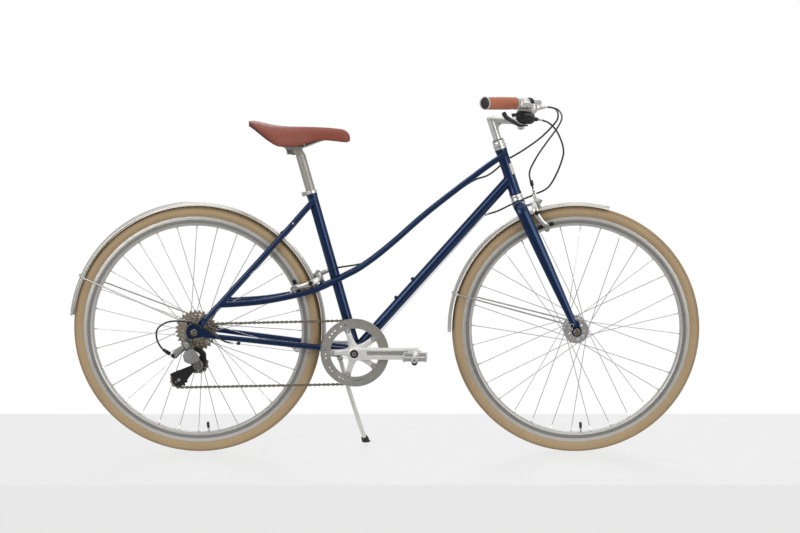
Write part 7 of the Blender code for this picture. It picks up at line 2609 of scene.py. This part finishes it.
@dataclass
class Cables:
    """The brake and gear cables: housings with ferrules, and bare wire between stops."""

    housing: float = 2.5
    wire: float = 0.8

    def build(self) -> None:
        """Makes the three cables."""
        self.cable("rear_brake_cable", REAR_BRAKE_ROUTE, ())
        self.cable("front_brake_cable", FRONT_BRAKE_ROUTE, ())
        self.cable("gear_cable", SHIFT_ROUTE, ((13, 21),))

    def cable(self, name: str, route: Sequence[Sequence[float]], bare: Sequence[tuple[int, int]]) -> None:
        """One cable.

        Args:
            name: the node it stands for.
            route: the points it passes.
            bare: first and last point of each stretch without housing.
        """
        shape = Shape()
        points = [Vector(point) for point in route]
        cuts = sorted({0, len(points) - 1, *[index for pair in bare for index in pair]})
        for first, last in zip(cuts, cuts[1:]):
            thin = (first, last) in bare
            if thin:
                shape.ink = 1
                shape.tube(points[first : last + 1], self.wire, 8)
                continue
            shape.ink = 0
            stretch = smooth_route(points[first : last + 1], 4.0)
            shape.tube(stretch, self.housing, 14)
            shape.ink = 1
            for end, after in ((stretch[0], stretch[2]), (stretch[-1], stretch[-3])):
                way = (after - end).normalized()
                rows = [(0, -0.4), (2.8, -0.4), (3.1, 0.2), (3.1, 9.0), (2.7, 9.6), (2.4, 9.6)]
                shape.revolve(rows, end, way, 20)
        shape.ink = 2
        if name == "gear_cable":
            rows = [
                (2.6, 3.0), (4.6, 3.0), *knurl(8, 1.7, (5.6, 4.0), (4.9, 4.9)), (4.4, 18.4), (4.4, 25.0),
                (2.6, 26.0)
            ]
            shape.revolve(rows, points[-1], -OUTLET_WAY, 24, ring=True)
            stop = Vector((-322.0, -51.0, 313.5))
            shape.block(side_frame(stop, -5.0), (10.0, 8.0, 8.0), 2.0, 0.8)
        if name == "front_brake_cable":
            boot = points[-2].lerp(points[-3], 0.3)
            way = (points[-2] - boot).normalized()
            turned = [(2.6, -8.0), (4.4, -8.0), (5.0, -6.0), (5.0, 6.0), (4.0, 8.0), (2.6, 8.0)]
            shape.revolve(turned, boot, way, 24, ring=True)
        finishes = (Tint.HOUSING, Tint.STEEL, Tint.SATIN)
        body = "steering" if name == "front_brake_cable" else None
        obj = shape.build(f"{name}_run", finishes, body, [name])
        if body is None:
            start, end = self.bend_span(name)
            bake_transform(obj)

    def bend_span(self, name: str) -> tuple[Vector, Vector]:
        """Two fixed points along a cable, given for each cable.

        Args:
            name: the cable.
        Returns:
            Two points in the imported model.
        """
        start, end = ((500.0, 0.0, 880.0), (340.0, 0.0, 760.0))
        if name == "gear_cable":
            start, end = ((560.0, 0.0, 760.0), (380.0, 0.0, 660.0))
        return RIG.point(start), RIG.point(end)


POST_HEAD = Vector((-158.0, 0.0, 846.0))
SADDLE_SECTIONS = (
    # distance ahead, half width, top, lower edge
    (-12.6, 9.0, 885.0, 872.0),
    (-14.6, 13.5, 892.0, 868.6),
    (-21.0, 17.0, 899.6, 868.0),
    (-34.0, 19.5, 904.8, 869.6),
    (-76.0, 22.0, 908.8, 874.3),
    (-104.0, 27.0, 910.2, 872.6),
    (-122.0, 32.0, 911.0, 867.4),
    (-140.0, 39.0, 911.6, 860.6),
    (-160.0, 48.0, 912.2, 857.4),
    (-186.0, 59.0, 913.0, 857.0),
    (-207.0, 68.0, 914.4, 858.2),
    (-214.0, 70.0, 915.4, 862.6),
    (-237.0, 73.5, 919.2, 884.0),
    (-258.0, 70.0, 924.2, 902.6),
    (-272.0, 62.0, 926.8, 914.4),
    (-282.0, 48.0, 928.0, 920.6),
    (-288.0, 32.0, 927.6, 923.0),
    (-290.2, 16.0, 926.4, 923.6),
)


@dataclass
class SaddlePost:
    """The saddle with its rails, clamp and post."""

    post_radius: float = 13.2
    rail_radius: float = 3.5
    rail_gap: float = 22.0
    rounding: float = 0.62
    panel: float = 11.0

    def build(self) -> None:
        """Makes the pieces."""
        self.post()
        self.rails()
        self.cover()

    def sections(self, count: int) -> np.ndarray:
        """The saddle's sections, closely spaced.

        Args:
            count: how many.
        Returns:
            One row for each: distance ahead, half width, top and lower edge.
        """
        rows = np.array(SADDLE_SECTIONS)
        spots = np.concatenate([[0.0], np.cumsum(np.linalg.norm(np.diff(rows[:, [0, 1]], axis=0), axis=1))])
        wanted = np.linspace(0.0, spots[-1], count)
        made = np.stack([np.interp(wanted, spots, rows[:, k]) for k in range(4)], axis=1)
        weights = np.array([1.0, 4.0, 6.0, 4.0, 1.0]) / 16
        for _ in range(2):
            padded = np.concatenate([made[:1], made[:1], made, made[-1:], made[-1:]])
            made = sum(padded[k : k + count] * weights[k] for k in range(5))
        made[0], made[-1] = rows[0], rows[-1]
        return made

    def cover(self) -> None:
        """The padded leather cover over its dark base."""
        shape = Shape()
        made = self.sections(90)
        arms = 22
        rings, base = [], []
        for x, wide, top, low in made:
            ring = []
            for k in range(-arms, arms + 1):
                t = abs(k) / arms
                turn = t * math.pi / 2
                y = wide * math.sin(turn) ** 0.86
                z = top - (top - low) * (1 - math.cos(turn) ** self.rounding)
                groove = 1.4 * math.exp(-((k / 2.6) ** 2)) * min(max((-x - 120) / 60, 0), 1)
                ring.append((x, math.copysign(1, k) * y, z - groove))
            rings.append(ring)
            inward = min(7.0, wide * 0.4)
            under = [(x, -wide + inward * 0.5, low), (x, -wide + inward, low + 1.0)]
            under += [(x, k / 6 * (wide - inward - 3.0), low + 3.0) for k in range(-6, 7)]
            under += [(x, wide - inward, low + 1.0), (x, wide - inward * 0.5, low)]
            base.append(under)
        shape.skin([[*ring, *under[::-1]] for ring, under in zip(rings, base)])
        obj = shape.build("saddle_cover", Tint.SADDLE, "seat", ["saddle"], angle=40.0, cuts=1)
        self.base(made, rings)

    def base(self, made: np.ndarray, rings: list) -> None:
        """The saddle's seam and the panels under its wings in a darker leather that is painted shade, and
        its dark pan.

        Args:
            made: the saddle's sections.
            rings: the cover's rings of points, one for each section.
        """
        # ink 0, the seam and the wing panels, takes the darker leather as painted shade
        trim = Shape()
        for side in (RIGHT, LEFT):
            line = [Vector((ring[0][0], abs(ring[0][1]) * side, ring[0][2] + 0.4)) for ring in rings[3:-3]]
            trim.tube(line, 0.8, 8)
            strip = []
            for x, wide, top, low in made:
                deep = float(np.interp(-x, (209.0, 237.0, 288.0), (0.0, 6.5, self.panel)))
                if deep > 0.3:
                    inner = max(wide - 7.0, wide * 0.5)
                    outer = wide - 0.6
                    ring = [(outer, low + 2.0), (wide - 0.2, low - deep * 0.3), (outer - 1.4, low - deep)]
                    ring += [(inner, low - deep), (inner, low + 2.0)]
                    strip.append([(x, side * y, z) for y, z in ring])
            trim.skin(strip)
        trim.ink = 1
        lowest = [(x, half, low) for x, half, top, low in made[10:-24]]
        pan = []
        for x, half, low in lowest:
            pan.append(
                [(x, half * v * 0.86, low + 3.0 + 3.6 * (1 - v * v)) for v in np.linspace(-1, 1, 13)]
            )
            pan[-1] += [(x, half * v * 0.8, low + 7.0) for v in np.linspace(1, -1, 13)]
        trim.skin(pan)
        trim.build("saddle_base", (Tint.PANEL_SHADE, Tint.BLACK), "seat")

    def rails(self) -> None:
        """The two bent rails with their nose and tail blocks."""
        shape = Shape()
        middle = POST_HEAD + Vector((0.0, self.rail_gap, 11.0))
        for side in (RIGHT, LEFT):
            route = [
                (-38.0, 8.0, 880.0), (-80.0, 14.0, 877.0), (-106.0, 18.0, 869.0), (-128.0, 21.0, 860.5)
            ]
            route += [
                (-146.0, 22.0, 855.5), middle - Vector((30, 0, 2)), (-214.0, 27.0, 872.0),
                (-237.0, 33.0, 886.0), (-260.0, 39.0, 900.0)
            ]
            line = smooth_route([mirrored(p, side) for p in route], 5.0)
            shape.tube(line, self.rail_radius, 20)
        shape.ink = 1
        shape.block(aim((-37.0, 0.0, 881.5), Z, X), (20.0, 26.0, 10.0), 4.0, 2.0)
        shape.block(aim((-258.0, 0.0, 898.0), Z, X), (9.0, 90.0, 9.0), 4.0, 2.0)
        shape.build("saddle_rails_bent", (Tint.STEEL, Tint.BLACK), "seat", ["saddle_rails"])

    def post(self) -> None:
        """The seat post with its bent head and rail clamp."""
        shape = Shape()
        low, high = BRACKET + SEAT_UP * 344, BRACKET + SEAT_UP * 566
        shape.rod(low, high, self.post_radius, sides=56, soft=0.8)
        neck = [BRACKET + SEAT_UP * h for h in (548.0, 556.0, 564.0)]
        neck += [high.lerp(POST_HEAD, 0.45), POST_HEAD]
        line = smooth_route(neck, 3.0)
        shape.tube(line, [self.post_radius - 1.6 * min(1.0, t * 1.3) for t in shares(line)], 40)
        shape.rod(POST_HEAD - Y * 16, POST_HEAD + Y * 16, self.post_radius, sides=48, soft=1.4)
        face = side_frame(POST_HEAD)
        saddle = [(-35.0, 11.5), (-35.0, 8.0), (-29.0, 4.0), (-15.0, 2.0), (-3.0, 4.0), (4.0, 11.5)]
        shape.plate(fillet(saddle, 3.0, True, 3), 54.0, face, soft=1.6)
        for side in (RIGHT, LEFT):
            gutter = POST_HEAD + Vector((0.0, side * self.rail_gap, 9.6))
            shape.rod(gutter - X * 33, gutter + X * 3, 5.4, sides=24, soft=1.0)
        shape.ink = 2
        cradle = [(-33.0, 7.0), (-26.0, -10.0), (-6.0, -13.5), (8.0, -6.0), (8.0, 8.0)]
        shape.plate(fillet(cradle, 4.0, True, 4), 30.0, face, soft=2.0)
        shape.ink = 1
        for along in (-27.0, 3.0):
            seat = POST_HEAD + Vector((along, 0.0, 1.0))
            shape.rod(seat - Z * 12, seat + Z * 8, 2.8, sides=16)
            shape.nut(seat - Z * 13, Z, 5.0, 4.4)
        shape.build("seat_post_forged", (Tint.RING, Tint.STEEL, Tint.GREY), "seat", ["seatpost"])


STAND_PIVOT = Vector((-54.0, 40.0, 272.0))
STAND_FOOT = Vector((20.0, 92.0, 8.0))
STAND_ANKLE = Vector((4.0, 62.0, 66.0))
STAND_FOLDED = Vector((-0.985, 0.145, 0.02)).normalized()


def stand_axis() -> Vector:
    """The axis that folds the stand's leg from where it stands up along the chain stay.

    Returns:
        The axis.
    """
    down = (STAND_FOOT - STAND_PIVOT).normalized()
    change = (down - STAND_FOLDED).normalized()
    return (Y - change * Y.dot(change)).normalized()


@dataclass
class SideStand:
    """The folding side stand with its black foot."""

    pivot: Vector
    foot: Vector
    axis: Vector
    radius: float = 6.0

    def build(self) -> None:
        """Makes the leg and its foot."""
        shape = Shape()
        p = self.pivot
        route = [
            p + Vector((0, 8, 2)), p + Vector((8, 11, -30)), (-24.0, 54.0, 160.0), STAND_ANKLE, self.foot
        ]
        line = smooth_route(route, 8.0)
        way = (self.foot - STAND_ANKLE).normalized()
        shape.tube(line, self.radius, 28)
        rows = [
            (0, 0.0), (8.8, 0.0), (9.5, 0.8), (9.5, 14.6), (8.6, 16.0), (5.4, 16.0), (5.0, 15.2), (0, 15.2)
        ]
        shape.revolve(rows, p, self.axis, 44)
        shape.ink = 1
        shape.bolt(p + self.axis * 15.0, self.axis, 5.0, 3.4, 2.4)
        spring = []
        for i in range(70):
            turn = i / 12 * 2 * math.pi
            centre = p + Vector((4.0, 8.0, -12.0)).lerp(Vector((7.0, 11.5, -30.0)), i / 150)
            spring.append(centre + X * 7.6 * math.cos(turn) + Y * 7.6 * math.sin(turn))
        shape.tube(spring, 0.9, 6)
        shape.ink = 2
        grips = [(0, -18), (8.6, -18), (9.6, -16)]
        for i in range(4):
            grips += [(r + i * 0.4, h + i * 5.0) for r, h in ((10.0, -14), (10.2, -11), (9.5, -10))]
        grips += [(11.6, 9.0), (12.0, 14.0), (0, 14.0)]
        cap = Shape()
        cap.revolve(grips, self.foot, way, 40)
        cap.points = [self.flat(point) for point in cap.points]
        shape.points = [self.flat(point) for point in shape.points]
        start = len(shape.points)
        shape.points += cap.points
        shape.faces += [tuple(start + i for i in face) for face in cap.faces]
        shape.lays += cap.lays
        shape.inks += [2] * len(cap.faces)
        finishes = (Tint.SILVER, Tint.STEEL, Tint.RUBBER)
        shape.build("side_stand_bent", finishes, "stand", ["side_stand"])

    def flat(self, point: Sequence[float]) -> Sequence[float]:
        """A point of the foot, kept above the ground.

        Args:
            point: the point.
        Returns:
            The point, or the one above it on the ground.
        """
        place = RIG.point(point)
        if place.z >= 0.0:
            return point
        raised = RIG.place.inverted() @ Vector((place.x, place.y, 0.0))
        return tuple(raised)


@dataclass
class Studio:
    """The pale platform, the lights, the white backdrop and the camera."""

    eye: tuple[float, float, float] = (325.0, -4600.0, 980.0)
    target: tuple[float, float, float] = (325.0, 0.0, 522.5)
    middle: float = 124.0
    lens: float = 74.6
    sensor: float = 36.0
    glow: float = 0.765
    back_row: float = 413.5
    front_row: float = 485.0
    picture: tuple[int, int] = (800, 533)
    half_width: float = 2600.0
    deep: float = 320.0

    def build(self) -> None:
        """Sets the stage up."""
        self.camera()
        self.platform()
        self.lights()
        self.backdrop()

    def look(self, obj: bpy.types.Object, eye: Sequence[float], target: Sequence[float]) -> None:
        """Places an object so that it looks at a point.

        Args:
            obj: a camera or a light.
            eye: where it stands.
            target: the point.
        """
        place, aimed = RIG.point(eye), RIG.point(target)
        back = (place - aimed).normalized()
        up = RIG.turn @ Z
        across = up.cross(back).normalized()
        turn = Matrix((across, back.cross(across), back)).transposed().to_4x4()
        obj.matrix_world = Matrix.Translation(place) @ turn
        bpy.context.scene.collection.objects.link(obj)

    def camera(self) -> None:
        """The photograph's camera."""
        data = bpy.data.cameras.new("photo_camera")
        data.lens = self.lens
        data.sensor_width = self.sensor
        reach = math.hypot(self.eye[1], self.eye[2] - self.target[2])
        data.shift_x = (self.middle - self.target[0]) / reach * self.lens / self.sensor
        obj = bpy.data.objects.new("photo_camera", data)
        self.look(obj, self.eye, self.target)
        bpy.context.scene.camera = obj

    def ground_at(self, row: float) -> float:
        """How far back the ground is that a row of the picture shows at its middle.

        Args:
            row: the picture's row, from its top.
        Returns:
            The world's Y.
        """
        view = bpy.context.scene.camera.matrix_world
        rise = (self.picture[1] / 2 - row) / self.picture[0] * self.sensor / self.lens
        way = view.to_3x3() @ Vector((0.0, rise, -1.0))
        eye = view.translation
        return eye.y - way.y * eye.z / way.z

    def platform(self) -> None:
        """A pale slab whose back and front edges are the photograph's."""
        mesh = bpy.data.meshes.new("platform")
        bm = bmesh.new()
        low, high = (self.ground_at(row) for row in (self.front_row, self.back_row))
        size = (self.half_width * 2 * MM, high - low, self.deep * MM)
        middle = ((low + high) / 2, -self.deep / 2 * MM)
        bmesh.ops.create_cube(bm, size=1.0)
        for vert in bm.verts:
            x, y, z = vert.co
            vert.co = Vector((x * size[0], y * size[1] + middle[0], z * size[2] + middle[1]))
        bmesh.ops.bevel(bm, geom=bm.edges[:], offset=0.004, segments=3, affect="EDGES")
        bm.to_mesh(mesh)
        bm.free()
        board = bpy.data.materials.new("platform_board")
        graph = Graph(board)
        place = graph.add("TexCoord", out="Object")
        cloud = graph.ramp(graph.noise(place, 2.0, 3.0), 0.35, 0.65)
        values = {
            "Base Color": graph.mix(cloud, srgb(60, 60, 60), srgb(58, 58, 59)),
            "Emission Color": WHITE,
            "Emission Strength": self.glow,
            "Specular IOR Level": 0.1,
            "Roughness": graph.ramp(graph.noise(place, 14.0, 3.0), 0.3, 0.7, 0.5, 0.6),
        }
        for name, value in values.items():
            graph.put(graph.shader.inputs[name], value)
        mesh.materials.append(board)
        obj = bpy.data.objects.new("platform", mesh)
        bpy.context.scene.collection.objects.link(obj)

    def lights(self) -> None:
        """Soft boxes above, in front and to the sides."""
        boxes = (
            ("top_box", (0.0, -200.0, 3300.0), (3800.0, 2800.0), 34.0),
            ("front_left_box", (-2800.0, -3200.0, 2000.0), (2600.0, 2400.0), 70.0),
            ("front_right_box", (3100.0, -2900.0, 1700.0), (2000.0, 2300.0), 38.0),
            ("back_box", (400.0, 3000.0, 2300.0), (3200.0, 1200.0), 30.0),
        )
        for name, eye, size, power in boxes:
            data = bpy.data.lights.new(name, "AREA")
            data.shape = "RECTANGLE"
            data.size, data.size_y = size[0] * MM, size[1] * MM
            data.energy = power
            self.look(bpy.data.objects.new(name, data), eye, (60.0, 0.0, 480.0))

    def backdrop(self) -> None:
        """White behind the bicycle, and a room with a darker band for the metal to reflect."""
        world = bpy.data.worlds.new("studio")
        bpy.context.scene.world = world
        graph = Graph(world)
        plain = graph.tree.nodes["Background"]
        plain.inputs["Color"].default_value = WHITE
        split = graph.add("SeparateXYZ", {0: graph.add("TexCoord", out="Generated")}).node
        heights = ((0.0, 0.62), (0.4, 0.55), (0.5, 0.42), (0.6, 0.5), (0.75, 0.7), (1.0, 0.7))
        band = graph.bands(graph.ramp(split.outputs[2], -1.0, 1.0), heights)
        sides = ((0.0, 1.1), (0.14, 1.0), (0.3, 0.62), (0.62, 0.58), (0.72, 1.1), (0.82, 1.6), (1.0, 1.6))
        walls = graph.bands(graph.ramp(split.outputs[0], -1.0, 1.0), sides)
        around_it = graph.mix(graph.ramp(split.outputs[1], -0.1, 0.3), walls, WHITE[:3])
        factors = {0: 1.0, 6: band, 7: around_it}
        product = graph.add("Mix", factors, out=2, data_type="RGBA", blend_type="MULTIPLY")
        room = graph.add("Background", {0: product})
        seen = graph.add("LightPath", out="Is Camera Ray")
        switch = graph.add("MixShader", {0: seen, 1: room, 2: plain.outputs[0]})
        graph.put(graph.tree.nodes["World Output"].inputs[0], switch)
        bpy.context.scene.view_settings.view_transform = "Standard"


def main() -> None:
    """Builds the stage and the bicycle."""
    logging.basicConfig(level=logging.INFO, format="%(message)s")
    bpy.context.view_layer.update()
    Studio().build()
    for piece in ASSEMBLY:
        log.info("building %s", type(piece).__name__)
        piece.build()


ASSEMBLY = [
    Wheel(
        "front",
        FRONT_AXLE,
        body="front_wheel",
        carrier="steering",
        right=(34.0, 35.0),
        left=(34.0, 35.0),
        barrel=13.0,
        face=49.7,
        nut=55.3,
        phase=-2.4,
    ),
    Wheel(
        "rear",
        REAR_AXLE,
        body="rear_wheel",
        carrier="frame",
        right=(20.0, 24.0),
        left=(34.0, 24.0),
        barrel=17.0,
        face=64.7,
        nut=70.3,
        phase=-0.5,
    ),
    MainFrame(),
    Fork(),
    Cockpit(),
    Mudguard(
        "rear",
        REAR_AXLE,
        carrier="frame",
        start=-7.0,
        finish=173.5,
        eyelet=REAR_AXLE + Vector((-13.8, -73.5, 26.0)),
        stay_angle=154.7,
    ),
    Mudguard(
        "front",
        FRONT_AXLE,
        carrier="steering",
        start=75.0,
        finish=181.0,
        eyelet=FRONT_AXLE + Vector((-13.8, -57.9, 18.0)),
        stay_angle=163.0,
    ),
    ChainDrive(),
    Derailleur(
        OUTLET,
        OUTLET_WAY,
        pivot=Vector((-452.0, -80.0, 300.0)),
        link_way=Vector((0.55, 0.0, -0.835)).normalized(),
        link_axis=Vector((0.835, 0.0, 0.55)).normalized(),
    ),
    Caliper("rear", REAR_CALIPER),
    Caliper("front", FRONT_CALIPER),
    Cables(),
    SaddlePost(),
    SideStand(STAND_PIVOT, STAND_FOOT, stand_axis()),
]

if __name__ == "__main__":
    main()
